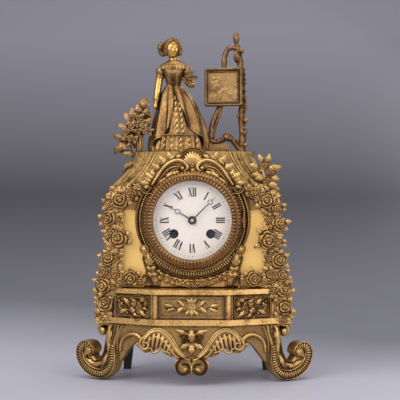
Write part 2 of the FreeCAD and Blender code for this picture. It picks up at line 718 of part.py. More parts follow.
def meeting_point(a, ra, b, rb, side):
    """The point at distance ra from a and rb from b, on the stated side of the line from a to b."""
    dx, dz = b[0] - a[0], b[1] - a[1]
    d = math.hypot(dx, dz)
    along = (ra * ra - rb * rb + d * d) / (2 * d)
    across = math.sqrt(ra * ra - along * along) * side
    return (a[0] + (along * dx - across * dz) / d, a[1] + (along * dz + across * dx) / d)


def bearing(a, b):
    """The angle from +X of the line from a to b, in degrees."""
    return math.degrees(math.atan2(b[1] - a[1], b[0] - a[0]))


def beyond(a, distance, degrees):
    """The point at that distance and angle from a."""
    dx, dz = polar(distance, degrees)
    return (a[0] + dx, a[1] + dz)


# Places of the arbors round the dial axis, worked out from the wheels that mesh
CENTRE = (0.0, 0.0)
GOING_BARREL = (WINDING_SPREAD_X, -WINDING_DROP_Z)
STRIKE_BARREL = (-WINDING_SPREAD_X, -WINDING_DROP_Z)
GREAT_DISTANCE = pitch(GREAT_TEETH, GREAT_MODULE) + pitch(SECOND_PINION_TEETH, GREAT_MODULE)
SECOND_DISTANCE = pitch(SECOND_TEETH, SECOND_MODULE) + pitch(CENTRE_PINION_TEETH, SECOND_MODULE)
SECOND = meeting_point(GOING_BARREL, GREAT_DISTANCE, CENTRE, SECOND_DISTANCE, -1)
THIRD_DISTANCE = pitch(CENTRE_TEETH, CENTRE_MODULE) + pitch(SMALL_PINION_TEETH, CENTRE_MODULE)
ESCAPE_DISTANCE = pitch(THIRD_TEETH, THIRD_MODULE) + pitch(SMALL_PINION_TEETH, THIRD_MODULE)
ESCAPE = (0.0, ESCAPE_RISE_Z)
THIRD = meeting_point(CENTRE, THIRD_DISTANCE, ESCAPE, ESCAPE_DISTANCE, 1)
PALLETS = (0.0, PALLET_RISE_Z)
STRIKE_SECOND = beyond(STRIKE_BARREL, GREAT_DISTANCE, STRIKE_SECOND_ANGLE)
PIN_WHEEL = beyond(STRIKE_SECOND, SECOND_DISTANCE, PIN_WHEEL_ANGLE)
LOCK_WHEEL = beyond(PIN_WHEEL, pitch(PIN_TEETH, PIN_MODULE) + pitch(SMALL_PINION_TEETH, PIN_MODULE), LOCK_WHEEL_ANGLE)
FLY = beyond(LOCK_WHEEL, pitch(LOCK_TEETH, LOCK_MODULE) + pitch(SMALL_PINION_TEETH, LOCK_MODULE), FLY_ANGLE)
HAMMER = (HAMMER_X, HAMMER_RISE_Z)
MINUTE_ARBOR = (0.0, pitch(CANNON_TEETH, MOTION_MODULE) + pitch(MINUTE_WHEEL_TEETH, MOTION_MODULE))
PIVOTED = (SECOND, THIRD, ESCAPE, STRIKE_SECOND, PIN_WHEEL, LOCK_WHEEL, FLY)
PALLET_AXIS_Z = DIAL_Z + PALLET_RISE_Z


def plinth_plan(grow=0.0):
    """The plinth's outline seen from above, grown outwards by that much."""
    corners = [(-PLINTH_CENTRE_HALF_WIDTH, PLINTH_FRONT_Y), (PLINTH_CENTRE_HALF_WIDTH, PLINTH_FRONT_Y),
               (PLINTH_FACET_END_X, PLINTH_CORNER_Y), (PLINTH_HALF_WIDTH, PLINTH_CORNER_Y),
               (PLINTH_HALF_WIDTH, PLINTH_BACK_Y), (-PLINTH_HALF_WIDTH, PLINTH_BACK_Y),
               (-PLINTH_HALF_WIDTH, PLINTH_CORNER_Y), (-PLINTH_FACET_END_X, PLINTH_CORNER_Y)]
    points = [vector(x, y, PLINTH_BOTTOM_Z) for x, y in corners]
    wire = Part.makePolygon(points + points[:1])
    return Part.Face(wire.makeOffset2D(grow, 2)) if grow else Part.Face(wire)


def raised(shape, z):
    """The shape moved up."""
    copy = shape.copy()
    copy.translate(vector(0, 0, z))
    return copy


def plaque_slot(width, height, depth):
    """A block for a plaque or its recess, in the frame of a plinth face: middle at x 0, front at y 0."""
    return block(-width / 2, width / 2, 0, depth, PLAQUE_MID_Z - height / 2, PLAQUE_MID_Z + height / 2)


def placed_on_faces(centre_piece, side_piece):
    """A piece for the front face and one for each side face of the plinth."""
    middle = centre_piece.copy()
    middle.translate(vector(0, PLINTH_FRONT_Y, 0))
    side = side_piece.copy()
    side.translate(vector(FACET_LENGTH / 2, 0, 0))
    right = on_facet(side)
    return [middle, right, mirrored(right)]


def make_plinth():
    """A hollow cast box with a moulding at the top and bottom, open below and inside for the pendulum."""
    body = plinth_plan().extrude(vector(0, 0, PLINTH_HEIGHT))
    lower = plinth_plan(PLINTH_LEDGE).extrude(vector(0, 0, PLINTH_BOTTOM_LEDGE_HEIGHT))
    upper = plinth_plan(PLINTH_LEDGE).extrude(vector(0, 0, PLINTH_TOP_LEDGE_HEIGHT))
    upper = raised(upper, PLINTH_HEIGHT - PLINTH_TOP_LEDGE_HEIGHT)
    hollow = plinth_plan(-PLINTH_WALL).extrude(vector(0, 0, PLINTH_HEIGHT - PLINTH_WALL + OVERRUN))
    hollow = raised(hollow, -OVERRUN)
    well = block(-PENDULUM_WELL_HALF_WIDTH, PENDULUM_WELL_HALF_WIDTH, PENDULUM_Y - PENDULUM_WELL_DEPTH / 2,
                 PENDULUM_Y + PENDULUM_WELL_DEPTH / 2, PLINTH_BOTTOM_Z, PLINTH_TOP_Z + OVERRUN)
    shape = joined([body, lower, upper]).cut(hollow).cut(well)
    centre = plaque_slot(PLAQUE_CENTRE_WIDTH, PLAQUE_HEIGHT, PLAQUE_RECESS)
    side = plaque_slot(PLAQUE_SIDE_WIDTH, PLAQUE_HEIGHT, PLAQUE_RECESS)
    for slot in placed_on_faces(centre, side):
        shape = shape.cut(slot)
    return shape


def make_plaque(width):
    """A plaque with a raised border round a sunk field, in the frame of a plinth face."""
    proud = PLAQUE_THICKNESS - PLAQUE_RECESS
    plate = plaque_slot(width, PLAQUE_HEIGHT, PLAQUE_THICKNESS)
    field = plaque_slot(width - 2 * PLAQUE_BORDER, PLAQUE_HEIGHT - 2 * PLAQUE_BORDER, PLAQUE_FIELD_SINK)
    shape = plate.cut(field)
    shape.translate(vector(0, -proud, 0))
    return shape


def make_plaques():
    """The three relief plaques."""
    return Part.makeCompound(placed_on_faces(make_plaque(PLAQUE_CENTRE_WIDTH), make_plaque(PLAQUE_SIDE_WIDTH)))


def make_foot():
    """The right front foot: a scroll that curls up at its toe, cut flat where it stands."""
    points = [(u * FOOT_SPREAD, z * FOOT_HEIGHT) for u, z in FOOT_SHARES]
    foot = curved_slab(points, 0, FOOT_THICKNESS)
    for u, z in FOOT_EYE_SHARES:
        foot = foot.cut(rod(u * FOOT_SPREAD, z * FOOT_HEIGHT, FOOT_EYE_RADIUS, -OVERRUN, FOOT_EYE_DEPTH))
    offset = (FOOT_INNER_X - PLINTH_CENTRE_HALF_WIDTH) / math.cos(math.radians(FACET_ANGLE))
    foot.translate(vector(offset, 0, 0))
    foot = on_facet(foot)
    reach = TOTAL_WIDTH
    foot = foot.common(block(0, TOTAL_WIDTH / 2, -reach, reach, 0, FOOT_HEIGHT))
    return largest(foot)


def make_rear_feet():
    """The two plain rear feet."""
    outer = REAR_FOOT_OUTER_X
    points = [(outer - REAR_FOOT_TOP_WIDTH, PLINTH_BOTTOM_Z), (outer, PLINTH_BOTTOM_Z), (outer, 0),
              (outer - REAR_FOOT_BOTTOM_WIDTH, 0)]
    right = slab(points, PLINTH_BACK_Y - REAR_FOOT_THICKNESS, PLINTH_BACK_Y)
    wall_reach = block(outer - REAR_FOOT_TOP_WIDTH, outer, PLINTH_BACK_Y - REAR_FOOT_THICKNESS,
                       PLINTH_BACK_Y, 0, PLINTH_BOTTOM_Z)
    right = right.common(wall_reach)
    return Part.makeCompound([right, mirrored(right)])


def make_apron(feet):
    """The pierced rocaille apron: a hanging shield in front, and an arch on each side face."""
    bottom = PLINTH_BOTTOM_Z
    half = [(u * PLINTH_CENTRE_HALF_WIDTH, bottom - d * APRON_DROP) for u, d in APRON_HALF_SHARES]
    other = [(-x, z) for x, z in reversed(half[1:])]
    outline = half + [(PLINTH_CENTRE_HALF_WIDTH, bottom), (-PLINTH_CENTRE_HALF_WIDTH, bottom)] + other
    front = slab(outline, PLINTH_FRONT_Y, PLINTH_FRONT_Y + APRON_THICKNESS)
    bosses = []
    for u, d in PENDANT_BOSS_SHARES:
        bosses.append(rod(u * PLINTH_CENTRE_HALF_WIDTH, bottom - d * APRON_DROP, PENDANT_BOSS_RADIUS,
                          PLINTH_FRONT_Y - PENDANT_BOSS_HEIGHT / 2, PLINTH_FRONT_Y + APRON_THICKNESS))
    side = [(u * APRON_SIDE_LENGTH, bottom - d * APRON_SIDE_DROP) for u, d in APRON_SIDE_SHARES]
    right = on_facet(slab(side, 0, APRON_THICKNESS))
    shape = joined([front] + bosses + [right, mirrored(right)])
    for foot in feet:
        shape = shape.cut(foot)
    return largest(shape)


def make_facade():
    """The front of the case: a plate with a round collar for the drum and a window each side."""
    points = [(-FACADE_BOTTOM_HALF_WIDTH, PLINTH_TOP_Z), (FACADE_BOTTOM_HALF_WIDTH, PLINTH_TOP_Z),
              (FACADE_TOP_HALF_WIDTH, BODY_TOP_Z), (-FACADE_TOP_HALF_WIDTH, BODY_TOP_Z)]
    plate = slab(points, FACADE_FRONT_Y, FACADE_FRONT_Y + FACADE_THICKNESS)
    collar = rod(0, DIAL_Z, COLLAR_OUTER_RADIUS, DRUM_FRONT_Y, FACADE_FRONT_Y + FACADE_THICKNESS)
    hole = rod(0, DIAL_Z, DRUM_OUTER_RADIUS + SEAT_CLEARANCE, DRUM_FRONT_Y - OVERRUN,
               FACADE_FRONT_Y + FACADE_THICKNESS + OVERRUN)
    window = [(-PANEL_WINDOW_OUTER_X + u * PANEL_WINDOW_WIDTH, PANEL_WINDOW_BOTTOM_Z + v * PANEL_WINDOW_HEIGHT)
              for u, v in PANEL_WINDOW_SHARES]
    opening = slab(window, FACADE_FRONT_Y - OVERRUN, FACADE_FRONT_Y + FACADE_THICKNESS + OVERRUN)
    shape = plate.fuse(collar).cut(hole).cut(opening).cut(mirrored(opening))
    return largest(shape)


def make_side_panels():
    """The two plain gilt sheets behind the windows."""
    back = FACADE_FRONT_Y + FACADE_THICKNESS
    left = block(-PANEL_WINDOW_OUTER_X - PANEL_LAP, -PANEL_WINDOW_OUTER_X + PANEL_WINDOW_WIDTH + PANEL_LAP,
                 back, back + PANEL_THICKNESS, PANEL_WINDOW_BOTTOM_Z - PANEL_LAP,
                 PANEL_WINDOW_BOTTOM_Z + PANEL_WINDOW_HEIGHT + PANEL_LAP)
    hole = rod(0, DIAL_Z, DRUM_OUTER_RADIUS + SEAT_CLEARANCE, back - OVERRUN, back + PANEL_THICKNESS + OVERRUN)
    left = left.cut(hole)
    return Part.makeCompound([left, mirrored(left)])


def make_shell():
    """The sides and back of the case, open below and above, with a round hole for the drum."""
    front = FACADE_FRONT_Y + FACADE_THICKNESS

    def outline(inset):
        low, high = FACADE_BOTTOM_HALF_WIDTH - inset, FACADE_TOP_HALF_WIDTH - inset
        return [(-low, PLINTH_TOP_Z), (low, PLINTH_TOP_Z), (high, BODY_TOP_Z), (-high, BODY_TOP_Z)]

    outer = slab(outline(0), front, SHELL_BACK_Y)
    inner = slab(outline(SHELL_WALL), front - OVERRUN, SHELL_BACK_Y - SHELL_WALL)
    cap = block(-FACADE_BOTTOM_HALF_WIDTH, FACADE_BOTTOM_HALF_WIDTH, front - OVERRUN, SHELL_BACK_Y - SHELL_WALL,
                BODY_TOP_Z - SHELL_WALL, BODY_TOP_Z + OVERRUN)
    inner_top = slab(outline(SHELL_WALL), front - OVERRUN, SHELL_BACK_Y - SHELL_WALL).common(cap)
    hole = rod(0, DIAL_Z, DRUM_OUTER_RADIUS + SEAT_CLEARANCE, front - OVERRUN, SHELL_BACK_Y + OVERRUN)
    return largest(outer.cut(inner).cut(inner_top).cut(hole))


def terrace_loft(inset):
    """The mound's smooth form, drawn in by an inset."""
    rings = []
    for up, width, depth in TERRACE_SHARES:
        rings.append(oval_ring(0, TERRACE_MID_Y, BODY_TOP_Z + up * (TERRACE_HEIGHT - inset),
                               TERRACE_HALF_WIDTH * width - inset, TERRACE_HALF_DEPTH * depth - inset,
                               TERRACE_SQUARENESS))
    return Part.makeLoft(rings, True, False)


def make_terrace():
    """The draped mound that carries the painter, hollow below, arched over the drum and its collar."""
    shape = terrace_loft(0).cut(terrace_loft(TERRACE_WALL))
    reach = TERRACE_HALF_DEPTH * 2
    drum_hole = rod(0, DIAL_Z, DRUM_OUTER_RADIUS + SEAT_CLEARANCE, -reach, reach)
    collar_hole = rod(0, DIAL_Z, COLLAR_OUTER_RADIUS, -reach, FACADE_FRONT_Y + FACADE_THICKNESS)
    return largest(shape.cut(drum_hole).cut(collar_hole))


def make_crest(terrace, facade):
    """The rocaille crest over the dial: an arched band, a shield in the middle and a curl each side."""
    back = TERRACE_MID_Y
    parts = [arc_slab(DIAL_Z, CREST_INNER_RADIUS, CREST_OUTER_RADIUS, 90.0, CREST_HALF_ANGLE, CREST_FRONT_Y, back),
             rod(0, DIAL_Z + CREST_SHIELD_RISE, CREST_SHIELD_RADIUS, CREST_FRONT_Y, back)]
    mid_radius = (CREST_INNER_RADIUS + CREST_OUTER_RADIUS) / 2
    for sign in (-1, 1):
        dx, dz = polar(mid_radius + CREST_CURL_RADIUS / 2, 90.0 + sign * CREST_CURL_ANGLE)
        parts.append(rod(dx, DIAL_Z + dz, CREST_CURL_RADIUS, CREST_FRONT_Y, back))
    shape = joined(parts).cut(rod(0, DIAL_Z, CREST_INNER_RADIUS, CREST_FRONT_Y - OVERRUN, back + OVERRUN))
    shape = shape.cut(terrace).cut(facade)
    front_only = block(-TERRACE_HALF_WIDTH, TERRACE_HALF_WIDTH, CREST_FRONT_Y, FACADE_FRONT_Y, BODY_TOP_Z,
                       TERRACE_TOP_Z + CREST_SHIELD_RADIUS)
    return largest(shape.common(front_only))


def make_swag():
    """The swag under the dial: a curved band of flowers between two volutes on leaf brackets."""
    back = FACADE_FRONT_Y
    parts = [arc_slab(DIAL_Z, CREST_INNER_RADIUS, SWAG_OUTER_RADIUS, 270.0, SWAG_HALF_ANGLE, SWAG_FRONT_Y, back)]
    mid_radius = (CREST_INNER_RADIUS + SWAG_OUTER_RADIUS) / 2
    for angle in SWAG_FLOWER_ANGLES:
        dx, dz = polar(mid_radius, 270.0 + angle)
        parts.append(rose(dx, SWAG_FRONT_Y, DIAL_Z + dz, SWAG_FLOWER_RADIUS * 0.8, SWAG_FLOWER_HEIGHT / 2))
    parts.append(rose(0, back, DIAL_Z - mid_radius, SWAG_FLOWER_RADIUS, SWAG_FLOWER_HEIGHT + back - SWAG_FRONT_Y))
    for sign in (-1, 1):
        x = sign * VOLUTE_X
        parts.append(rod(x, DIAL_Z - VOLUTE_DROP_Z, VOLUTE_RADIUS, SWAG_FRONT_Y, back))
        low = DIAL_Z - VOLUTE_DROP_Z - BRACKET_HEIGHT
        parts.append(block(sign * BRACKET_X - BRACKET_WIDTH / 2, sign * BRACKET_X + BRACKET_WIDTH / 2,
                           SWAG_FRONT_Y, back, max(low, PLINTH_TOP_Z), DIAL_Z - VOLUTE_DROP_Z))
    shape = joined(parts)
    shape = shape.cut(rod(0, DIAL_Z, CREST_INNER_RADIUS, SWAG_FRONT_Y - TOTAL_DEPTH, back + OVERRUN))
    above = block(-TOTAL_WIDTH, TOTAL_WIDTH, -TOTAL_DEPTH, TOTAL_DEPTH, PLINTH_TOP_Z, DIAL_Z)
    return largest(shape.common(above))


def garland_point(u, v):
    """A place on the right-hand garland from its shares of width and height."""
    return u * GARLAND_WIDTH, GARLAND_BOTTOM_Z + v * (GARLAND_TOP_Z - GARLAND_BOTTOM_Z)


def garland_vector(u, v):
    """A place on the middle of the right-hand garland's stem, on the front of the case."""
    x, z = garland_point(u, v)
    return vector(x, FACADE_FRONT_Y, z)


def placed_roses(shares, back):
    """Roses on the right-hand garland, their backs at that depth."""
    made = []
    for u, v, size in shares:
        x, z = garland_point(u, v)
        made.append(rose(x, back, z, ROSE_RADIUS * size, ROSE_HEIGHT))
    return made


def make_garlands(carriers):
    """The garlands, left and right: a stem with open roses and leaves, cut to lie on what carries them.

    The right-hand one also carries a spray of roses at the shoulder.
    """
    path = [garland_vector(u, v) for u, v in GARLAND_STEM_SHARES]
    parts = [limb(path, [GARLAND_STEM_RADIUS] * len(path))]
    parts += placed_roses(GARLAND_ROSE_SHARES, FACADE_FRONT_Y)
    for u, v, degrees in GARLAND_LEAF_SHARES:
        place = garland_vector(u, v)
        parts.append(leaf(place.x, place.y, place.z, LEAF_LENGTH, LEAF_WIDTH, LEAF_THICKNESS, degrees))
    behind = block(0, TOTAL_WIDTH, FACADE_FRONT_Y, REAR_Y, 0, TERRACE_TOP_Z)
    base = largest(joined(parts).cut([behind] + carriers))
    high = [garland_vector(u, v) for u, v, _ in SPRAY_ROSE_SHARES] + path[1:2]
    tie = limb(high, [GARLAND_STEM_RADIUS * TIE_RADIUS_SHARE] * len(high))
    spray = joined([tie] + placed_roses(SPRAY_ROSE_SHARES, FACADE_FRONT_Y)).cut([base, behind] + carriers)
    return mirrored(base), Part.makeCompound([base, largest(spray)])


def make_drum():
    """The brass drum round the movement, slotted below for the pendulum rod."""
    drum = tube(0, DIAL_Z, DRUM_OUTER_RADIUS, DRUM_OUTER_RADIUS - DRUM_WALL, DRUM_FRONT_Y, DRUM_BACK_Y)
    half_depth = CHOP_DEPTH + ROD_RADIUS
    slot = block(-ROD_SLOT_HALF_WIDTH, ROD_SLOT_HALF_WIDTH, PENDULUM_Y - half_depth, PENDULUM_Y + half_depth,
                 DIAL_Z - DRUM_OUTER_RADIUS - OVERRUN, DIAL_Z - DRUM_OUTER_RADIUS / 2)
    return drum.cut(slot)


def hinge_parts(x, y, ring_x, fixed_side):
    """The middle knuckle of a door hinge, the two fixed knuckles, and its pin.

    The door and its ring meet at depth y; fixed_side is 1 where the fixed ring is behind the door.
    """
    half = KNUCKLE_LENGTH / 2
    step = KNUCKLE_LENGTH + KNUCKLE_GAP

    def knuckle(z_mid, side):
        z_from = z_mid - half
        body = Part.makeCylinder(KNUCKLE_RADIUS, KNUCKLE_LENGTH, vector(x, y, z_from), UP)
        hole = Part.makeCylinder(HINGE_PIN_RADIUS + RUNNING_CLEARANCE, KNUCKLE_LENGTH, vector(x, y, z_from), UP)
        low, high = sorted((ring_x, x))
        near, far = sorted((y + side * DOOR_CLEARANCE / 2, y + side * KNUCKLE_RADIUS))
        return body, hole, block(low, high, near, far, z_from, z_from + KNUCKLE_LENGTH)

    moving = [knuckle(DIAL_Z, -fixed_side)]
    fixed = [knuckle(DIAL_Z + step, fixed_side), knuckle(DIAL_Z - step, fixed_side)]
    length = 3 * KNUCKLE_LENGTH + 2 * KNUCKLE_GAP
    pin = Part.makeCylinder(HINGE_PIN_RADIUS, length, vector(x, y, DIAL_Z - length / 2), UP)
    return moving, fixed, pin


def with_knuckles(shape, pieces):
    """A ring with hinge knuckles joined on, bored for the pin."""
    for body, hole, lug in pieces:
        shape = shape.fuse(body).fuse(lug.cut(hole)).cut(hole)
    return shape


def make_bezel_seat(fixed_knuckles):
    """The fixed ring that the dial lies in and the glass closes on."""
    y_back = DRUM_FRONT_Y
    lip = tube(0, DIAL_Z, SEAT_OUTER_RADIUS, SEAT_LIP_RADIUS, y_back - SEAT_LIP_THICKNESS, y_back)
    wall = tube(0, DIAL_Z, SEAT_OUTER_RADIUS, DIAL_RADIUS + DIAL_EDGE_PLAY, y_back - SEAT_THICKNESS, y_back)
    ring = lip.fuse(wall).removeSplitter()
    return with_knuckles(ring, fixed_knuckles)


def make_glass_bezel(knuckles):
    """The hinged bezel: a rounded ring grooved for the glass."""
    back = DRUM_FRONT_Y - SEAT_THICKNESS - DOOR_CLEARANCE
    crown = back - BEZEL_DEPTH
    mid = (BEZEL_CROWN_RADIUS + BEZEL_OUTER_RADIUS) / 2
    profile = ((BEZEL_INNER_RADIUS, back), (BEZEL_OUTER_RADIUS, back),
               (BEZEL_OUTER_RADIUS, back - BEZEL_DEPTH * BEZEL_RIM_DEPTH_SHARE),
               (mid, back - BEZEL_DEPTH * (1 + BEZEL_RIM_DEPTH_SHARE) / 1.6),
               (BEZEL_CROWN_RADIUS, crown),
               (BEZEL_INNER_RADIUS + GLASS_PLAY, back - BEZEL_DEPTH * BEZEL_LIP_DEPTH_SHARE))
    ring = revolved_y(profile, 0, DIAL_Z)
    groove_y = crown + GLASS_SETBACK
    groove = rod(0, DIAL_Z, GLASS_RADIUS + GLASS_PLAY, groove_y - GLASS_PLAY, groove_y + GLASS_THICKNESS + GLASS_PLAY)
    return with_knuckles(ring.cut(groove), knuckles)


def make_glass():
    """The bowed dial glass."""
    edge_y = DRUM_FRONT_Y - SEAT_THICKNESS - DOOR_CLEARANCE - BEZEL_DEPTH + GLASS_SETBACK
    flat = BEZEL_INNER_RADIUS - GLASS_THICKNESS
    front = [(r * flat, edge_y - rise * GLASS_RISE) for r, rise in GLASS_BOW_SHARES]
    back = [(r, y + GLASS_THICKNESS) for r, y in reversed(front)]
    rim = [(GLASS_RADIUS, edge_y), (GLASS_RADIUS, edge_y + GLASS_THICKNESS)]
    return revolved_y(front + rim + back, 0, DIAL_Z)


def make_dial():
    """The enamel dial with its three feet, a centre hole and two winding holes."""
    front = DRUM_FRONT_Y - SEAT_LIP_THICKNESS - DIAL_THICKNESS
    back = front + DIAL_THICKNESS
    disc = rod(0, DIAL_Z, DIAL_RADIUS, front, back)
    disc = disc.cut(rod(0, DIAL_Z, DIAL_CENTRE_HOLE_RADIUS, front - OVERRUN, back + OVERRUN))
    for place in (GOING_BARREL, STRIKE_BARREL):
        disc = disc.cut(rod(place[0], DIAL_Z + place[1], WINDING_HOLE_RADIUS, front - OVERRUN, back + OVERRUN))
    for angle in DIAL_FOOT_ANGLES:
        dx, dz = polar(DIAL_FOOT_CIRCLE_RADIUS, angle)
        disc = disc.fuse(rod(dx, DIAL_Z + dz, DIAL_FOOT_RADIUS, back, FRONT_PLATE_Y))
    return disc


def make_rear_bezel(fixed_knuckles):
    """The fixed ring behind the drum, which the straps pull towards the dial."""
    ring = tube(0, DIAL_Z, REAR_BEZEL_OUTER_RADIUS, REAR_BEZEL_INNER_RADIUS, DRUM_BACK_Y,
                DRUM_BACK_Y + REAR_BEZEL_THICKNESS)
    return with_knuckles(ring, fixed_knuckles)


def make_rear_door(knuckles):
    """The rear door, a plain disc with a turned bead and a knob."""
    front = DRUM_BACK_Y + REAR_BEZEL_THICKNESS + DOOR_CLEARANCE
    back = front + REAR_DOOR_THICKNESS
    disc = rod(0, DIAL_Z, REAR_DOOR_RADIUS, front, back)
    knob_x = REAR_DOOR_RADIUS * 0.84
    disc = disc.fuse(rod(knob_x, DIAL_Z, KNOB_RADIUS, back, REAR_Y))
    return with_knuckles(disc, knuckles)


def make_straps():
    """The two brass straps that hold the front and rear bezels together."""
    outer = DRUM_OUTER_RADIUS - DRUM_WALL - STRAP_EDGE_PLAY
    right = block(outer - STRAP_THICKNESS, outer, DRUM_FRONT_Y, DRUM_BACK_Y,
                  DIAL_Z - STRAP_WIDTH / 2, DIAL_Z + STRAP_WIDTH / 2)
    return Part.makeCompound([right, mirrored(right)])


def make_plates():
    """The front and back plates, bored for every pivot."""
    made = []
    for y in (FRONT_PLATE_Y, BACK_PLATE_Y):
        plate = rod(0, DIAL_Z, PLATE_RADIUS, y, y + PLATE_THICKNESS)
        holes = [(place, PIVOT_RADIUS) for place in PIVOTED]
        holes.append((CENTRE, CENTRE_ARBOR_RADIUS if y == FRONT_PLATE_Y else PIVOT_RADIUS))
        holes.append((PALLETS, PIVOT_RADIUS if y == FRONT_PLATE_Y else ARBOR_RADIUS))
        holes.append((HAMMER, PIVOT_RADIUS if y == FRONT_PLATE_Y else ARBOR_RADIUS))
        if y == BACK_PLATE_Y:
            holes.remove((STRIKE_SECOND, PIVOT_RADIUS))
            holes.append((STRIKE_SECOND, ARBOR_RADIUS))
        for barrel in (GOING_BARREL, STRIKE_BARREL):
            radius = BARREL_BORE_RADIUS - RUNNING_CLEARANCE if y == FRONT_PLATE_Y else WINDING_PIVOT_RADIUS
            holes.append((barrel, radius))
        for place, radius in holes:
            plate = plate.cut(rod(place[0], DIAL_Z + place[1], radius + RUNNING_CLEARANCE, y - OVERRUN,
                                  y + PLATE_THICKNESS + OVERRUN))
        made.append(plate)
    stud = rod(MINUTE_ARBOR[0], DIAL_Z + MINUTE_ARBOR[1], PIVOT_RADIUS, HOUR_WHEEL_Y, FRONT_PLATE_Y)
    made[0] = made[0].fuse(stud)
    return made


def make_pillars():
    """The four turned pillars that hold the plates apart."""
    shapes = []
    for angle in PILLAR_ANGLES:
        dx, dz = polar(PILLAR_CIRCLE_RADIUS, angle)
        shapes.append(rod(dx, DIAL_Z + dz, PILLAR_RADIUS, FRONT_PLATE_Y + PLATE_THICKNESS, BACK_PLATE_Y))
    return Part.makeCompound(shapes)


def make_clicks():
    """A click for each ratchet, standing just clear of its teeth."""
    shapes = []
    for place in (GOING_BARREL, STRIKE_BARREL):
        sign = math.copysign(1, place[0])
        inner = RATCHET_RADIUS + CLICK_GAP
        x_from, x_to = sorted((place[0] + sign * inner, place[0] + sign * (inner + CLICK_LENGTH)))
        z = DIAL_Z + place[1]
        shapes.append(block(x_from, x_to, RATCHET_FRONT_Y, FRONT_PLATE_Y, z - CLICK_WIDTH / 2, z + CLICK_WIDTH / 2))
    return Part.makeCompound(shapes)


def make_barrel(degrees):
    """A barrel with its great wheel, and the coiled mainspring in it as a plain ring."""
    front, back = BARREL_FRONT_Y, BARREL_FRONT_Y + BARREL_LENGTH
    inner, bore = BARREL_RADIUS - BARREL_WALL, BARREL_BORE_RADIUS
    profile = ((bore, front), (BARREL_RADIUS, front), (BARREL_RADIUS, back), (bore, back),
               (bore, back - BARREL_WALL), (inner, back - BARREL_WALL), (inner, front + BARREL_WALL),
               (bore, front + BARREL_WALL))
    shell = revolved_y(profile, 0, 0)
    great = wheel(GREAT_TEETH, GREAT_MODULE, bore, back, GREAT_WHEEL_THICKNESS, degrees, spoked=False)
    spring = tube(0, 0, inner - MAINSPRING_PLAY, MAINSPRING_INNER_RADIUS,
                  front + BARREL_WALL + MAINSPRING_PLAY, back - BARREL_WALL - MAINSPRING_PLAY)
    return Part.makeCompound([shell, great, spring])


def make_winding_arbor():
    """A barrel arbor with its ratchet and the square for the key."""
    radius = BARREL_BORE_RADIUS - RUNNING_CLEARANCE
    half = WINDING_SQUARE / 2
    shaft = rod(0, 0, radius, RATCHET_FRONT_Y, BACK_PLATE_Y - RUNNING_CLEARANCE)
    pivot = rod(0, 0, WINDING_PIVOT_RADIUS, BACK_PLATE_Y - RUNNING_CLEARANCE, BACK_PLATE_Y + PLATE_THICKNESS)
    square = block(-half, half, WINDING_TIP_Y, RATCHET_FRONT_Y, -half, half)
    corners = []
    for index in range(RATCHET_TEETH):
        a = 2 * math.pi * index / RATCHET_TEETH
        for share, reach in ((0.0, RATCHET_RADIUS), (0.12, RATCHET_RADIUS - RATCHET_DEPTH)):
            t = a + share * 2 * math.pi / RATCHET_TEETH
            corners.append((reach * math.cos(t), reach * math.sin(t)))
    ratchet = slab(corners, RATCHET_FRONT_Y, RATCHET_FRONT_Y + RATCHET_THICKNESS)
    return joined([shaft, pivot, square, ratchet])


def make_arbor_set(wheels, pinions, shaft):
    """An arbor in one piece with its pinions, and its brass wheels as separate solids."""
    return Part.makeCompound(wheels + [joined([shaft] + pinions)])


def mesh_angle(own_teeth, own_place, other_teeth, other_place, other_angle):
    """The tooth angle that puts a gap of this wheel on a tooth of the other, whose tooth angle is given."""
    to_own = bearing(other_place, own_place)
    phase = (to_own - other_angle) / (360.0 / other_teeth)
    phase -= math.floor(phase)
    to_other = bearing(own_place, other_place)
    return to_other + 180.0 / own_teeth + phase * 360.0 / own_teeth


def make_escape_disc():
    """The escape wheel itself, with pointed teeth and four spokes."""
    corners = []
    for index in range(ESCAPE_TEETH):
        for share, reach in ESCAPE_TOOTH_SHARES:
            a = 2 * math.pi * (index + share) / ESCAPE_TEETH
            radius = ESCAPE_RADIUS - reach * ESCAPE_TOOTH_DEPTH
            corners.append(vector(radius * math.cos(a), ESCAPE_WHEEL_Y, radius * math.sin(a)))
    rim = (ESCAPE_RADIUS - ESCAPE_TOOTH_DEPTH) * RIM_INNER_SHARE
    holes = window_wires(rim, ESCAPE_RADIUS * HUB_RADIUS_SHARE, ESCAPE_RADIUS * SPOKE_HALF_WIDTH_SHARE,
                         ESCAPE_WHEEL_Y)
    holes.append(circle_wire(PIVOT_RADIUS, ESCAPE_WHEEL_Y))
    return pierced(Part.makePolygon(corners + corners[:1]), holes, WHEEL_THICKNESS)


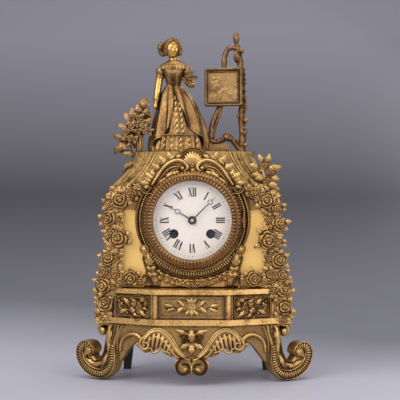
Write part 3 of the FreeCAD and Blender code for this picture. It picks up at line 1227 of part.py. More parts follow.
def make_going_train():
    """The barrel, second, centre, third and escape arbors with their wheels in mesh."""
    great_angle = bearing(GOING_BARREL, SECOND)
    second_pinion_angle = mesh_angle(SECOND_PINION_TEETH, SECOND, GREAT_TEETH, GOING_BARREL, great_angle)
    second_angle = bearing(SECOND, CENTRE)
    centre_pinion_angle = mesh_angle(CENTRE_PINION_TEETH, CENTRE, SECOND_TEETH, SECOND, second_angle)
    centre_angle = bearing(CENTRE, THIRD)
    third_pinion_angle = mesh_angle(SMALL_PINION_TEETH, THIRD, CENTRE_TEETH, CENTRE, centre_angle)
    third_angle = bearing(THIRD, ESCAPE)
    escape_pinion_angle = mesh_angle(SMALL_PINION_TEETH, ESCAPE, THIRD_TEETH, THIRD, third_angle)
    barrel = make_barrel(great_angle)
    second = make_arbor_set(
        [wheel(SECOND_TEETH, SECOND_MODULE, ARBOR_RADIUS, SECOND_WHEEL_Y, WHEEL_THICKNESS, second_angle)],
        [pinion(SECOND_PINION_TEETH, GREAT_MODULE, SECOND_PINION_Y, PINION_LENGTH, second_pinion_angle)],
        arbor(ARBOR_RADIUS))
    centre_shaft = rod(0, 0, CENTRE_ARBOR_RADIUS, CANNON_TIP_Y, BACK_PLATE_Y - RUNNING_CLEARANCE).fuse(
        rod(0, 0, PIVOT_RADIUS, BACK_PLATE_Y - RUNNING_CLEARANCE, BACK_PLATE_Y + PLATE_THICKNESS))
    centre = make_arbor_set(
        [wheel(CENTRE_TEETH, CENTRE_MODULE, CENTRE_ARBOR_RADIUS, CENTRE_WHEEL_Y, WHEEL_THICKNESS, centre_angle)],
        [pinion(CENTRE_PINION_TEETH, SECOND_MODULE, CENTRE_PINION_Y, PINION_LENGTH, centre_pinion_angle)],
        centre_shaft)
    third = make_arbor_set(
        [wheel(THIRD_TEETH, THIRD_MODULE, PIVOT_RADIUS, THIRD_WHEEL_Y, WHEEL_THICKNESS, third_angle)],
        [pinion(SMALL_PINION_TEETH, CENTRE_MODULE, THIRD_PINION_Y, PINION_LENGTH, third_pinion_angle)],
        arbor(PIVOT_RADIUS))
    escape = make_arbor_set(
        [make_escape_disc()],
        [pinion(SMALL_PINION_TEETH, THIRD_MODULE, ESCAPE_PINION_Y, PINION_LENGTH, escape_pinion_angle)],
        arbor(PIVOT_RADIUS))
    return {"going_barrel": at(barrel, GOING_BARREL), "going_second_wheel": at(second, SECOND),
            "centre_wheel": at(centre, CENTRE), "third_wheel": at(third, THIRD),
            "escape_wheel": at(escape, ESCAPE)}


def make_strike_train():
    """The strike barrel, second wheel with the count wheel, pin wheel, locking wheel and fly."""
    great_angle = bearing(STRIKE_BARREL, STRIKE_SECOND)
    second_pinion_angle = mesh_angle(SECOND_PINION_TEETH, STRIKE_SECOND, GREAT_TEETH, STRIKE_BARREL, great_angle)
    second_angle = bearing(STRIKE_SECOND, PIN_WHEEL)
    pin_pinion_angle = mesh_angle(CENTRE_PINION_TEETH, PIN_WHEEL, SECOND_TEETH, STRIKE_SECOND, second_angle)
    pin_angle = bearing(PIN_WHEEL, LOCK_WHEEL)
    lock_pinion_angle = mesh_angle(SMALL_PINION_TEETH, LOCK_WHEEL, PIN_TEETH, PIN_WHEEL, pin_angle)
    lock_angle = bearing(LOCK_WHEEL, FLY)
    fly_pinion_angle = mesh_angle(SMALL_PINION_TEETH, FLY, LOCK_TEETH, LOCK_WHEEL, lock_angle)
    barrel = make_barrel(great_angle)
    count = tube(0, 0, COUNT_WHEEL_RADIUS, ARBOR_RADIUS, COUNT_WHEEL_Y, COUNT_WHEEL_Y + WHEEL_THICKNESS)
    for index in range(COUNT_WHEEL_NOTCHES):
        notch = block(COUNT_WHEEL_RADIUS - COUNT_NOTCH_DEPTH, COUNT_WHEEL_RADIUS + OVERRUN, COUNT_WHEEL_Y - OVERRUN,
                      COUNT_WHEEL_Y + WHEEL_THICKNESS + OVERRUN, -COUNT_NOTCH_WIDTH / 2, COUNT_NOTCH_WIDTH / 2)
        share = index * (index + 3) / (COUNT_WHEEL_NOTCHES * (COUNT_WHEEL_NOTCHES + 3))
        notch.rotate(ORIGIN, BACKWARDS, 360 * share)
        count = count.cut(notch)
    shaft = rod(0, 0, ARBOR_RADIUS, FRONT_PLATE_Y + PLATE_THICKNESS + RUNNING_CLEARANCE,
                COUNT_WHEEL_Y + WHEEL_THICKNESS).fuse(
        rod(0, 0, PIVOT_RADIUS, FRONT_PLATE_Y, FRONT_PLATE_Y + PLATE_THICKNESS + RUNNING_CLEARANCE))
    second = make_arbor_set(
        [wheel(SECOND_TEETH, SECOND_MODULE, ARBOR_RADIUS, SECOND_WHEEL_Y, WHEEL_THICKNESS, second_angle), count],
        [pinion(SECOND_PINION_TEETH, GREAT_MODULE, SECOND_PINION_Y, PINION_LENGTH, second_pinion_angle)], shaft)
    pins = wheel(PIN_TEETH, PIN_MODULE, ARBOR_RADIUS, PIN_WHEEL_Y, WHEEL_THICKNESS, pin_angle)
    for index in range(LIFT_PIN_COUNT):
        dx, dz = polar(LIFT_PIN_CIRCLE_RADIUS, 360 * index / LIFT_PIN_COUNT)
        pins = pins.fuse(rod(dx, dz, LIFT_PIN_RADIUS, PIN_WHEEL_Y, PIN_WHEEL_Y + WHEEL_THICKNESS + LIFT_PIN_LENGTH))
    pin = make_arbor_set(
        [pins], [pinion(CENTRE_PINION_TEETH, SECOND_MODULE, PIN_PINION_Y, PINION_LENGTH, pin_pinion_angle)],
        arbor(ARBOR_RADIUS))
    lock = make_arbor_set(
        [wheel(LOCK_TEETH, LOCK_MODULE, PIVOT_RADIUS, LOCK_WHEEL_Y, WHEEL_THICKNESS, lock_angle)],
        [pinion(SMALL_PINION_TEETH, PIN_MODULE, LOCK_PINION_Y, PINION_LENGTH, lock_pinion_angle)],
        arbor(PIVOT_RADIUS))
    blade = block(-FLY_HALF_WIDTH, FLY_HALF_WIDTH, FLY_BLADE_Y, FLY_BLADE_Y + FLY_BLADE_LENGTH,
                  -FLY_THICKNESS / 2, FLY_THICKNESS / 2)
    fly_arbor = arbor(PIVOT_RADIUS)
    fly = make_arbor_set(
        [blade.cut(fly_arbor)], [pinion(SMALL_PINION_TEETH, LOCK_MODULE, FLY_PINION_Y, PINION_LENGTH, fly_pinion_angle)],
        fly_arbor)
    return {"strike_barrel": at(barrel, STRIKE_BARREL), "strike_second_wheel": at(second, STRIKE_SECOND),
            "pin_wheel": at(pin, PIN_WHEEL), "locking_wheel": at(lock, LOCK_WHEEL), "fly": at(fly, FLY)}


def hand(length, moon_centre, hub_radius, bore, y, clock_degrees):
    """A steel hand with a pierced moon, on a round hub."""
    half = HAND_WIDTH / 2
    near = moon_centre - MOON_RADIUS + MOON_WIDTH / 2
    far = moon_centre + MOON_RADIUS - MOON_WIDTH / 2
    y_to = y + HAND_THICKNESS
    stem = slab([(0, -half), (near, -half * 0.6), (near, half * 0.6), (0, half)], y, y_to)
    tip = slab([(far, -half * 0.6), (length, 0), (far, half * 0.6)], y, y_to)
    moon = tube(moon_centre, 0, MOON_RADIUS, MOON_RADIUS - MOON_WIDTH, y, y_to)
    shape = joined([stem, tip, moon, rod(0, 0, hub_radius, y, y_to)])
    shape = shape.cut(rod(0, 0, bore, y - OVERRUN, y_to + OVERRUN))
    shape.rotate(ORIGIN, BACKWARDS, clock_degrees - 90.0)
    return shape


def make_motion_work():
    """The cannon pinion, minute wheel and hour wheel behind the dial, and the two hands."""
    cannon_bore = CENTRE_ARBOR_RADIUS + RUNNING_CLEARANCE
    cannon_angle = bearing(CENTRE, MINUTE_ARBOR)
    cannon = pinion(CANNON_TEETH, MOTION_MODULE, CANNON_PINION_Y, PINION_LENGTH, cannon_angle)
    cannon = cannon.fuse(rod(0, 0, CANNON_RADIUS - RUNNING_CLEARANCE, CANNON_TIP_Y, CANNON_PINION_Y))
    cannon = cannon.cut(rod(0, 0, cannon_bore, CANNON_TIP_Y - OVERRUN, CANNON_PINION_Y + PINION_LENGTH + OVERRUN))
    minute_angle = mesh_angle(MINUTE_WHEEL_TEETH, MINUTE_ARBOR, CANNON_TEETH, CENTRE, cannon_angle)
    minute = wheel(MINUTE_WHEEL_TEETH, MOTION_MODULE, PIVOT_RADIUS, MINUTE_WHEEL_Y, WHEEL_THICKNESS, minute_angle)
    hour_angle = bearing(CENTRE, MINUTE_ARBOR)
    minute_pinion_angle = mesh_angle(MINUTE_PINION_TEETH, MINUTE_ARBOR, HOUR_WHEEL_TEETH, CENTRE, hour_angle)
    leaves = pinion(MINUTE_PINION_TEETH, MOTION_MODULE, HOUR_WHEEL_Y,
                    MINUTE_WHEEL_Y - HOUR_WHEEL_Y + WHEEL_THICKNESS / 2, minute_pinion_angle)
    minute = minute.fuse(leaves)
    minute = minute.cut(rod(0, 0, PIVOT_RADIUS + RUNNING_CLEARANCE, HOUR_WHEEL_Y - OVERRUN,
                            MINUTE_WHEEL_Y + WHEEL_THICKNESS + OVERRUN))
    pipe = rod(0, 0, HOUR_PIPE_RADIUS, HOUR_HAND_Y, HOUR_WHEEL_Y + WHEEL_THICKNESS / 2)
    hour = wheel(HOUR_WHEEL_TEETH, MOTION_MODULE, CANNON_RADIUS, HOUR_WHEEL_Y, WHEEL_THICKNESS, hour_angle).fuse(pipe)
    hour = hour.cut(rod(0, 0, CANNON_RADIUS, HOUR_HAND_Y - OVERRUN, HOUR_WHEEL_Y + WHEEL_THICKNESS + OVERRUN))
    hour_hand = hand(HOUR_HAND_LENGTH, HOUR_MOON_CENTRE, HOUR_HUB_RADIUS, HOUR_PIPE_RADIUS, HOUR_HAND_Y,
                     HOUR_HAND_CLOCK_ANGLE)
    minute_hand = hand(MINUTE_HAND_LENGTH, MINUTE_MOON_CENTRE, MINUTE_HUB_RADIUS,
                       CANNON_RADIUS - RUNNING_CLEARANCE, MINUTE_HAND_Y, MINUTE_HAND_CLOCK_ANGLE)
    return {"cannon_pinion": at(cannon, CENTRE), "minute_wheel": at(minute, MINUTE_ARBOR),
            "hour_wheel": at(hour, CENTRE), "hour_hand": at(hour_hand, CENTRE),
            "minute_hand": at(minute_hand, CENTRE)}


def make_pallets():
    """The pallet anchor on its arbor, and the crutch with its fork behind the back plate."""
    y_from, y_to = ESCAPE_WHEEL_Y, ESCAPE_WHEEL_Y + WHEEL_THICKNESS
    drop = ESCAPE_RISE_Z - PALLET_RISE_Z
    band = arc_slab(drop, PALLET_CLEAR_RADIUS, PALLET_CLEAR_RADIUS + PALLET_BAND, 90.0, PALLET_HALF_SPAN_ANGLE,
                    y_from, y_to)
    stem = block(-PALLET_STEM_HALF_WIDTH, PALLET_STEM_HALF_WIDTH, y_from, y_to,
                 drop + PALLET_CLEAR_RADIUS + PALLET_BAND / 2, 0)
    hub = rod(0, 0, PALLET_HUB_RADIUS, y_from, y_to)
    front = FRONT_PLATE_Y + PLATE_THICKNESS
    shaft = rod(0, 0, ARBOR_RADIUS, front + RUNNING_CLEARANCE, CRUTCH_Y + CRUTCH_THICKNESS)
    pivot = rod(0, 0, PIVOT_RADIUS, FRONT_PLATE_Y, front + RUNNING_CLEARANCE)
    wire = block(-CRUTCH_HALF_WIDTH, CRUTCH_HALF_WIDTH, CRUTCH_Y, CRUTCH_Y + CRUTCH_THICKNESS, -CRUTCH_LENGTH, 0)
    inner = ROD_RADIUS + CRUTCH_PLAY
    outer = inner + CRUTCH_PRONG
    fork = block(-outer, outer, CRUTCH_Y, CRUTCH_Y + CRUTCH_FORK_REACH, -CRUTCH_LENGTH, -CRUTCH_LENGTH + CRUTCH_PRONG)
    slot = block(-inner, inner, CRUTCH_Y + CRUTCH_THICKNESS, CRUTCH_Y + CRUTCH_FORK_REACH + OVERRUN,
                 -CRUTCH_LENGTH - OVERRUN, -CRUTCH_LENGTH + CRUTCH_PRONG + OVERRUN)
    return at(joined([band, stem, hub, shaft, pivot, wire, fork.cut(slot)]), PALLETS)


def make_suspension_cock():
    """The cock on the back plate, with the fixed chop that the pendulum spring hangs from."""
    under = PALLET_AXIS_Z + COCK_RISE
    plate_back = BACK_PLATE_Y + PLATE_THICKNESS
    arm = block(-COCK_WIDTH / 2, COCK_WIDTH / 2, plate_back, COCK_REACH_Y, under, under + COCK_HEIGHT)
    chop = block(-CHOP_HALF_WIDTH, CHOP_HALF_WIDTH, PENDULUM_Y - CHOP_DEPTH / 2, PENDULUM_Y + CHOP_DEPTH / 2,
                 PALLET_AXIS_Z + SUSPENSION_GAP, under)
    return arm.fuse(chop)


def make_pendulum():
    """The pendulum rod with its spring and lower chop, and the bob with its rating nut."""
    top = PALLET_AXIS_Z
    spring = block(-SPRING_THICKNESS / 2, SPRING_THICKNESS / 2, PENDULUM_Y - SPRING_WIDTH / 2,
                   PENDULUM_Y + SPRING_WIDTH / 2, top - SPRING_LENGTH, top)
    chop = block(-CHOP_HALF_WIDTH, CHOP_HALF_WIDTH, PENDULUM_Y - CHOP_DEPTH / 2, PENDULUM_Y + CHOP_DEPTH / 2,
                 top - SPRING_LENGTH - CHOP_LENGTH, top - SPRING_LENGTH)
    bottom = top - PENDULUM_LENGTH - ROD_TAIL
    length = top - SPRING_LENGTH - CHOP_LENGTH - bottom
    shaft = Part.makeCylinder(ROD_RADIUS, length, vector(0, PENDULUM_Y, bottom), UP)
    whole_rod = joined([spring, chop, shaft])
    centre_z = top - PENDULUM_LENGTH
    profile = ((0, PENDULUM_Y - BOB_HALF_THICKNESS), (BOB_RADIUS * 0.6, PENDULUM_Y - BOB_HALF_THICKNESS * 0.8),
               (BOB_RADIUS, PENDULUM_Y - BOB_EDGE_HALF_THICKNESS), (BOB_RADIUS, PENDULUM_Y + BOB_EDGE_HALF_THICKNESS),
               (BOB_RADIUS * 0.6, PENDULUM_Y + BOB_HALF_THICKNESS * 0.8), (0, PENDULUM_Y + BOB_HALF_THICKNESS))
    bob = revolved_y(profile, 0, centre_z).cut(whole_rod)
    nut = Part.makeCylinder(RATING_NUT_RADIUS, RATING_NUT_HEIGHT,
                            vector(0, PENDULUM_Y, centre_z - BOB_RADIUS - RATING_NUT_HEIGHT), UP).cut(whole_rod)
    return whole_rod, Part.makeCompound(list(bob.Solids) + [nut])


def make_bell_and_stand():
    """The bell, a shallow steel cup on a bent stand that keeps clear of the pendulum."""
    sphere_radius = (BELL_RIM_RADIUS ** 2 + BELL_DEPTH ** 2) / (2 * BELL_DEPTH)
    centre = vector(0, BELL_RIM_Y + BELL_DEPTH - sphere_radius, DIAL_Z)
    shell = Part.makeSphere(sphere_radius, centre).cut(Part.makeSphere(sphere_radius - BELL_WALL, centre))
    keep = block(-BELL_RIM_RADIUS * 2, BELL_RIM_RADIUS * 2, BELL_RIM_Y, BELL_RIM_Y + sphere_radius,
                 DIAL_Z - BELL_RIM_RADIUS * 2, DIAL_Z + BELL_RIM_RADIUS * 2)
    crown = BELL_RIM_Y + BELL_DEPTH
    stud = rod(0, DIAL_Z, BELL_STUD_RADIUS, BELL_ARM_Y, crown + BELL_NUT_HEIGHT)
    bell = shell.common(keep).cut(rod(0, DIAL_Z, BELL_STUD_RADIUS, BELL_ARM_Y, crown + OVERRUN))
    post_z = DIAL_Z - BELL_POST_DROP
    post = rod(BELL_POST_X, post_z, BELL_POST_RADIUS, BACK_PLATE_Y + PLATE_THICKNESS, BELL_ARM_Y + BELL_ARM_THICKNESS)
    length = math.hypot(BELL_POST_X, BELL_POST_DROP)
    arm = block(0, length, BELL_ARM_Y, BELL_ARM_Y + BELL_ARM_THICKNESS, -BELL_POST_RADIUS, BELL_POST_RADIUS)
    arm.rotate(ORIGIN, BACKWARDS, math.degrees(math.atan2(BELL_POST_DROP, BELL_POST_X)))
    arm.translate(vector(0, 0, DIAL_Z))
    collar = rod(0, DIAL_Z, BELL_POST_RADIUS, BELL_ARM_Y, crown - BELL_WALL)
    nut = rod(0, DIAL_Z, BELL_NUT_RADIUS, crown, crown + BELL_NUT_HEIGHT)
    stand = joined([post, arm, collar, stud, nut])
    return bell.cut(stand), stand


def make_hammer():
    """The strike hammer: an arbor outside the bell, a lifting tail at the pins and the head."""
    front = FRONT_PLATE_Y + PLATE_THICKNESS
    shaft = rod(0, 0, ARBOR_RADIUS, front + RUNNING_CLEARANCE, HAMMER_HEAD_Y + HAMMER_HEAD_LENGTH)
    pivot = rod(0, 0, PIVOT_RADIUS, FRONT_PLATE_Y, front + RUNNING_CLEARANCE)
    middle = HAMMER_HEAD_Y + HAMMER_HEAD_LENGTH / 2
    arm = block(-HAMMER_ARM_HALF_WIDTH, HAMMER_ARM_HALF_WIDTH, middle - HAMMER_ARM_HALF_WIDTH,
                middle + HAMMER_ARM_HALF_WIDTH, -HAMMER_ARM_LENGTH, 0)
    head = rod(0, -HAMMER_ARM_LENGTH, HAMMER_HEAD_RADIUS, HAMMER_HEAD_Y, HAMMER_HEAD_Y + HAMMER_HEAD_LENGTH)
    distance = math.hypot(PIN_WHEEL[0] - HAMMER[0], PIN_WHEEL[1] - HAMMER[1])
    length = distance - LIFT_PIN_CIRCLE_RADIUS - LIFT_PIN_RADIUS - HAMMER_TAIL_GAP
    tail = block(0, length, HAMMER_TAIL_Y, HAMMER_TAIL_Y + HAMMER_TAIL_THICKNESS, -ARBOR_RADIUS, ARBOR_RADIUS)
    tail.rotate(ORIGIN, BACKWARDS, -bearing(HAMMER, PIN_WHEEL))
    return at(joined([shaft, pivot, arm, head, tail]), HAMMER)


def make_skirt():
    """The painter's skirt, a folded bell shape, hollow below."""
    def loft(inset, folds):
        rings = []
        for up, width, depth, shift in SKIRT_SHARES:
            rings.append(oval_ring(FIGURE_X + shift * WAIST_SHIFT_X, FIGURE_Y,
                                   TERRACE_TOP_Z + up * (SKIRT_HEIGHT - inset), SKIRT_HALF_WIDTH * width - inset,
                                   SKIRT_HALF_DEPTH * depth - inset, 2.0, folds, SKIRT_FOLD_SHARE * (1 - up)))
        return Part.makeLoft(rings, True, False)

    return largest(loft(0, SKIRT_FOLDS).cut(loft(SKIRT_WALL, 0)))


def figure_axis():
    """The X and Y of the painter's waist."""
    return FIGURE_X + WAIST_SHIFT_X, FIGURE_Y


def make_bodice():
    """The fitted bodice from waist to shoulders."""
    x, y = figure_axis()
    rings = [oval_ring(x, y, TERRACE_TOP_Z + SKIRT_HEIGHT + up * BODICE_HEIGHT, BODICE_HALF_WIDTH * width,
                       BODICE_HALF_DEPTH * depth) for up, width, depth in BODICE_SHARES]
    return Part.makeLoft(rings, True, False)


def make_head(bodice):
    """The neck and head, a plain oval with gathered hair at the back of the cheek."""
    x, y = figure_axis()
    base = TERRACE_TOP_Z + SKIRT_HEIGHT + BODICE_HEIGHT
    neck = Part.makeCylinder(NECK_RADIUS, NECK_LENGTH, vector(x, y, base - NECK_RADIUS / 2), UP)
    centre = vector(x, y, HEAD_TOP_Z - HEAD_HALF_HEIGHT)
    skull = egg(centre, HEAD_RADIUS, HEAD_HALF_HEIGHT)
    bun = egg(centre + vector(HAIR_SHIFT_X, HAIR_RADIUS / 2, HAIR_SHIFT_Z), HAIR_RADIUS, HAIR_RADIUS)
    return largest(neck.fuse(skull).fuse(bun).cut(bodice))


def arm_points(side, length, shares):
    """The points of an arm from its shoulder."""
    x, y = figure_axis()
    z = TERRACE_TOP_Z + SKIRT_HEIGHT + SHOULDER_SHARE * BODICE_HEIGHT
    start = vector(x + side * SHOULDER_HALF_SPAN, y, z)
    return [start + vector(dx * length, dy * length, dz * length) for dx, dy, dz, _ in shares]


def make_arms(bodice, skirt):
    """The right arm, which holds the skirt, and the left arm, bent under its palette."""
    right_points = arm_points(-1, RIGHT_ARM_LENGTH, RIGHT_ARM_SHARES)
    right = limb(right_points, [SLEEVE_RADIUS * s[3] for s in RIGHT_ARM_SHARES])
    left_points = arm_points(1, LEFT_ARM_LENGTH, LEFT_ARM_SHARES)
    left = limb(left_points, [SLEEVE_RADIUS * s[3] for s in LEFT_ARM_SHARES])
    hand_at = left_points[-1]
    centre = hand_at + vector(PALETTE_HALF_WIDTH / 2, 0, HAND_RADIUS)
    rim = oval_ring(centre.x, centre.y, centre.z, PALETTE_HALF_LENGTH, PALETTE_HALF_WIDTH)
    palette = Part.Face(rim).extrude(vector(0, 0, PALETTE_THICKNESS))
    left = joined([left, palette])
    return largest(right.cut(bodice).cut(skirt)), largest(left.cut(bodice).cut(skirt))


def easel_points(shares):
    """Branch points from shares of the easel's span and height."""
    return [vector(EASEL_X + u * EASEL_SPAN, EASEL_Y, TERRACE_TOP_Z + v * EASEL_HEIGHT) for u, v, _ in shares]


def make_easel():
    """The gnarled easel: a tall post with a finial, a leg bent from its head, a root and a shelf."""
    branches = []
    for shares in (POST_SHARES, LEG_SHARES, ROOT_SHARES):
        branches.append(limb(easel_points(shares), [EASEL_POST_RADIUS * s[2] for s in shares]))
    top = easel_points(POST_SHARES)[-1]
    tip_z = TERRACE_TOP_Z + EASEL_HEIGHT
    finial = egg(vector(top.x, top.y, tip_z - FINIAL_HALF_HEIGHT), FINIAL_RADIUS, FINIAL_HALF_HEIGHT)
    shelf = block(SHELF_X - SHELF_LENGTH / 2, SHELF_X + SHELF_LENGTH / 2, SHELF_Y - SHELF_DEPTH / 2,
                  SHELF_Y + SHELF_DEPTH / 2, PICTURE_BOTTOM_Z - SHELF_HEIGHT, PICTURE_BOTTOM_Z)
    shelf = turned(shelf, PICTURE_TURN, SHELF_X, SHELF_Y)
    shape = joined(branches + [finial, shelf])
    below = block(-TOTAL_WIDTH, TOTAL_WIDTH, -TOTAL_DEPTH, TOTAL_DEPTH, 0, TERRACE_TOP_Z)
    return largest(shape.cut(below))


def make_picture(easel):
    """The framed picture on the easel, turned a little towards the painter."""
    x_from, x_to = PICTURE_X - PICTURE_WIDTH / 2, PICTURE_X + PICTURE_WIDTH / 2
    y_from, y_to = PICTURE_Y - PICTURE_THICKNESS / 2, PICTURE_Y + PICTURE_THICKNESS / 2
    z_to = PICTURE_BOTTOM_Z + PICTURE_HEIGHT
    board = block(x_from, x_to, y_from, y_to, PICTURE_BOTTOM_Z, z_to)
    field = block(x_from + PICTURE_BORDER, x_to - PICTURE_BORDER, y_from - OVERRUN, y_from + PICTURE_SINK,
                  PICTURE_BOTTOM_Z + PICTURE_BORDER, z_to - PICTURE_BORDER)
    return largest(turned(board.cut(field), PICTURE_TURN, PICTURE_X, PICTURE_Y).cut(easel))


def make_paint_box():
    """The paint box at the painter's feet."""
    box = block(PAINT_BOX_X - PAINT_BOX_LENGTH / 2, PAINT_BOX_X + PAINT_BOX_LENGTH / 2,
                PAINT_BOX_Y - PAINT_BOX_WIDTH / 2, PAINT_BOX_Y + PAINT_BOX_WIDTH / 2,
                TERRACE_TOP_Z, TERRACE_TOP_Z + PAINT_BOX_HEIGHT)
    return turned(box, PAINT_BOX_TURN, PAINT_BOX_X, PAINT_BOX_Y)


def make_shrub(terrace):
    """The leafy shrub on the left shoulder of the mound."""
    foot = vector(SHRUB_X, SHRUB_Y, SHRUB_FOOT_Z)
    knee = foot + vector(0, 0, SHRUB_SIZE * 0.25)
    parts = [limb([foot, knee], [SHRUB_STEM_RADIUS * 2, SHRUB_STEM_RADIUS * 1.6])]
    for dx, dy, dz, degrees in SHRUB_TIP_SHARES:
        tip = foot + vector(dx * SHRUB_SIZE, dy * SHRUB_SIZE, dz * SHRUB_SIZE)
        parts.append(limb([knee, tip], [SHRUB_STEM_RADIUS, SHRUB_STEM_RADIUS / 2]))
        parts.append(leaf(tip.x, tip.y + LEAF_THICKNESS / 2, tip.z, SHRUB_LEAF_LENGTH, SHRUB_LEAF_WIDTH,
                          LEAF_THICKNESS, degrees))
    return largest(joined(parts).cut(terrace))


def build():
    """Every piece by its node name."""
    pieces = {}
    front_y = DRUM_FRONT_Y - SEAT_THICKNESS - DOOR_CLEARANCE / 2
    front_moving, front_fixed, front_pin = hinge_parts(HINGE_X, front_y, SEAT_OUTER_RADIUS - KNUCKLE_RADIUS, 1)
    rear_y = DRUM_BACK_Y + REAR_BEZEL_THICKNESS + DOOR_CLEARANCE / 2
    rear_moving, rear_fixed, rear_pin = hinge_parts(REAR_HINGE_X, rear_y, KNUCKLE_RADIUS - REAR_DOOR_RADIUS, -1)
    pieces["plinth"] = make_plinth()
    pieces["plinth_plaques"] = make_plaques()
    right_foot = make_foot()
    left_foot = mirrored(right_foot)
    pieces["right_front_foot"] = right_foot
    pieces["left_front_foot"] = left_foot
    pieces["rear_feet"] = make_rear_feet()
    pieces["apron"] = make_apron((right_foot, left_foot))
    pieces["facade"] = make_facade()
    pieces["side_panels"] = make_side_panels()
    pieces["case_shell"] = make_shell()
    pieces["terrace"] = make_terrace()
    pieces["rocaille_crest"] = make_crest(pieces["terrace"], pieces["facade"])
    pieces["dial_swag"] = make_swag()
    garlands = make_garlands([pieces["plinth"], pieces["terrace"]])
    pieces["left_rose_garland"], pieces["right_rose_garland"] = garlands
    pieces["drum"] = make_drum()
    pieces["bezel_seat"] = make_bezel_seat(front_fixed)
    pieces["glass_bezel"] = make_glass_bezel(front_moving)
    pieces["dial_glass"] = make_glass()
    pieces["dial"] = make_dial()
    pieces["rear_bezel"] = make_rear_bezel(rear_fixed)
    pieces["rear_door"] = make_rear_door(rear_moving)
    pieces["hinge_pins"] = Part.makeCompound([front_pin, rear_pin])
    pieces["clamp_straps"] = make_straps()
    pieces["front_plate"], pieces["back_plate"] = make_plates()
    pieces["plate_pillars"] = make_pillars()
    pieces["ratchet_clicks"] = make_clicks()
    pieces["going_winding_arbor"] = at(make_winding_arbor(), GOING_BARREL)
    pieces["strike_winding_arbor"] = at(make_winding_arbor(), STRIKE_BARREL)
    pieces.update(make_going_train())
    pieces.update(make_strike_train())
    pieces.update(make_motion_work())
    pieces["pallets_and_crutch"] = make_pallets()
    pieces["suspension_cock"] = make_suspension_cock()
    pieces["pendulum_rod"], pieces["pendulum_bob"] = make_pendulum()
    pieces["bell"], pieces["bell_stand"] = make_bell_and_stand()
    pieces["strike_hammer"] = make_hammer()
    pieces["figure_skirt"] = make_skirt()
    pieces["figure_bodice"] = make_bodice()
    pieces["figure_head"] = make_head(pieces["figure_bodice"])
    arms = make_arms(pieces["figure_bodice"], pieces["figure_skirt"])
    pieces["figure_right_arm"], pieces["figure_left_arm"] = arms
    pieces["easel"] = make_easel()
    pieces["easel_picture"] = make_picture(pieces["easel"])
    pieces["paint_box"] = make_paint_box().cut(pieces["figure_skirt"])
    pieces["shrub"] = make_shrub(pieces["terrace"]).cut(pieces["figure_skirt"])
    return pieces


def main():
    """Write each piece to its own STEP file."""
    os.makedirs("parts", exist_ok=True)
    for name, shape in build().items():
        if not shape.Solids:
            print("no solid in", name)
        shape.exportStep("parts/" + name + ".step")


main()
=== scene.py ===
"""Dresses the figural mantel clock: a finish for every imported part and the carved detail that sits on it."""
from __future__ import annotations

import json
import logging
import math
import random
from dataclasses import dataclass, field
from enum import Enum
from typing import Any, Callable, Iterable, Sequence

import bmesh
import bpy
from mathutils import Matrix, Vector, noise

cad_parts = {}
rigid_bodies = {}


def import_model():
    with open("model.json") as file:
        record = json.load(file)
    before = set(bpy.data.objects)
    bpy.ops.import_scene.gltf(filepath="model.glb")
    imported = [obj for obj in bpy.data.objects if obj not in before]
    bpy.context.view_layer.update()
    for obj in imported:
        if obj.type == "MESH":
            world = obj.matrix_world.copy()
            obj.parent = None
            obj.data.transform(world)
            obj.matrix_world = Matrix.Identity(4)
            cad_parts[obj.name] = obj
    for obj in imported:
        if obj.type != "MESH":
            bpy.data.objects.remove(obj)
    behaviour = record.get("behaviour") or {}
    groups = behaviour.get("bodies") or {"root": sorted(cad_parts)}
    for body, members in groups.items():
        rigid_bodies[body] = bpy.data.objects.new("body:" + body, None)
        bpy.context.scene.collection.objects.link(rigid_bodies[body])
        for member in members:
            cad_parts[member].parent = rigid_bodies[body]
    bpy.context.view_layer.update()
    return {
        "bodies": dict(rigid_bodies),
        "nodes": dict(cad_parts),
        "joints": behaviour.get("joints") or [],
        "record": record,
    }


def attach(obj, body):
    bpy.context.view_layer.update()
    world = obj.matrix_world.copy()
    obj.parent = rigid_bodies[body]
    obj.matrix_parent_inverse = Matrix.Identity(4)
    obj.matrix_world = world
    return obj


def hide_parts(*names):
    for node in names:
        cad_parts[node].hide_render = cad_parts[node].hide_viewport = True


log = logging.getLogger("clock")

MM = 0.001
DIAL_HEIGHT = 170.8
FACADE_FRONT = -36.0
UP = Vector((0.0, 0.0, 1.0))
FRONT = Vector((0.0, -1.0, 0.0))
Flat = tuple[float, float]
PLINTH_CORNER: Flat = (38.0, -60.0)
PLINTH_END: Flat = (88.0, -35.0)
PLINTH_TIP: Flat = (101.0, -28.5)


# Maths helpers


def smooth(edge_a: float, edge_b: float, value: float) -> float:
    """Gives a soft step from 0 at edge_a to 1 at edge_b."""
    share = min(1.0, max(0.0, (value - edge_a) / (edge_b - edge_a)))
    return share * share * (3.0 - 2.0 * share)


def hump(value: float, centre: float, width: float) -> float:
    """Gives a rounded bump of height 1 at centre."""
    return math.exp(-(((value - centre) / width) ** 2))


def through(points: Sequence[Sequence[float]], steps: int, closed: bool = False) -> list[Vector]:
    """Runs a smooth line through a few given points.

    Args:
        points: The points, all of two or of three numbers.
        steps: New points for each stretch.
        closed: Whether the line comes back to its start.

    Returns:
        The points of the smooth line.
    """
    given = [Vector(p) for p in points]
    count = len(given)
    line = []
    for index in range(count if closed else count - 1):
        if closed:
            a, b, c, d = (given[(index + k) % count] for k in (-1, 0, 1, 2))
        else:
            b, c = given[index], given[index + 1]
            a = given[index - 1] if index else b * 2 - c
            d = given[index + 2] if index + 2 < count else c * 2 - b
        for step in range(steps):
            t = step / steps
            line.append(0.5 * (b * 2 + (c - a) * t + (a * 2 - b * 5 + c * 4 - d) * t * t
                               + (b * 3 - a - c * 3 + d) * t ** 3))
    if not closed:
        line.append(given[-1])
    return line


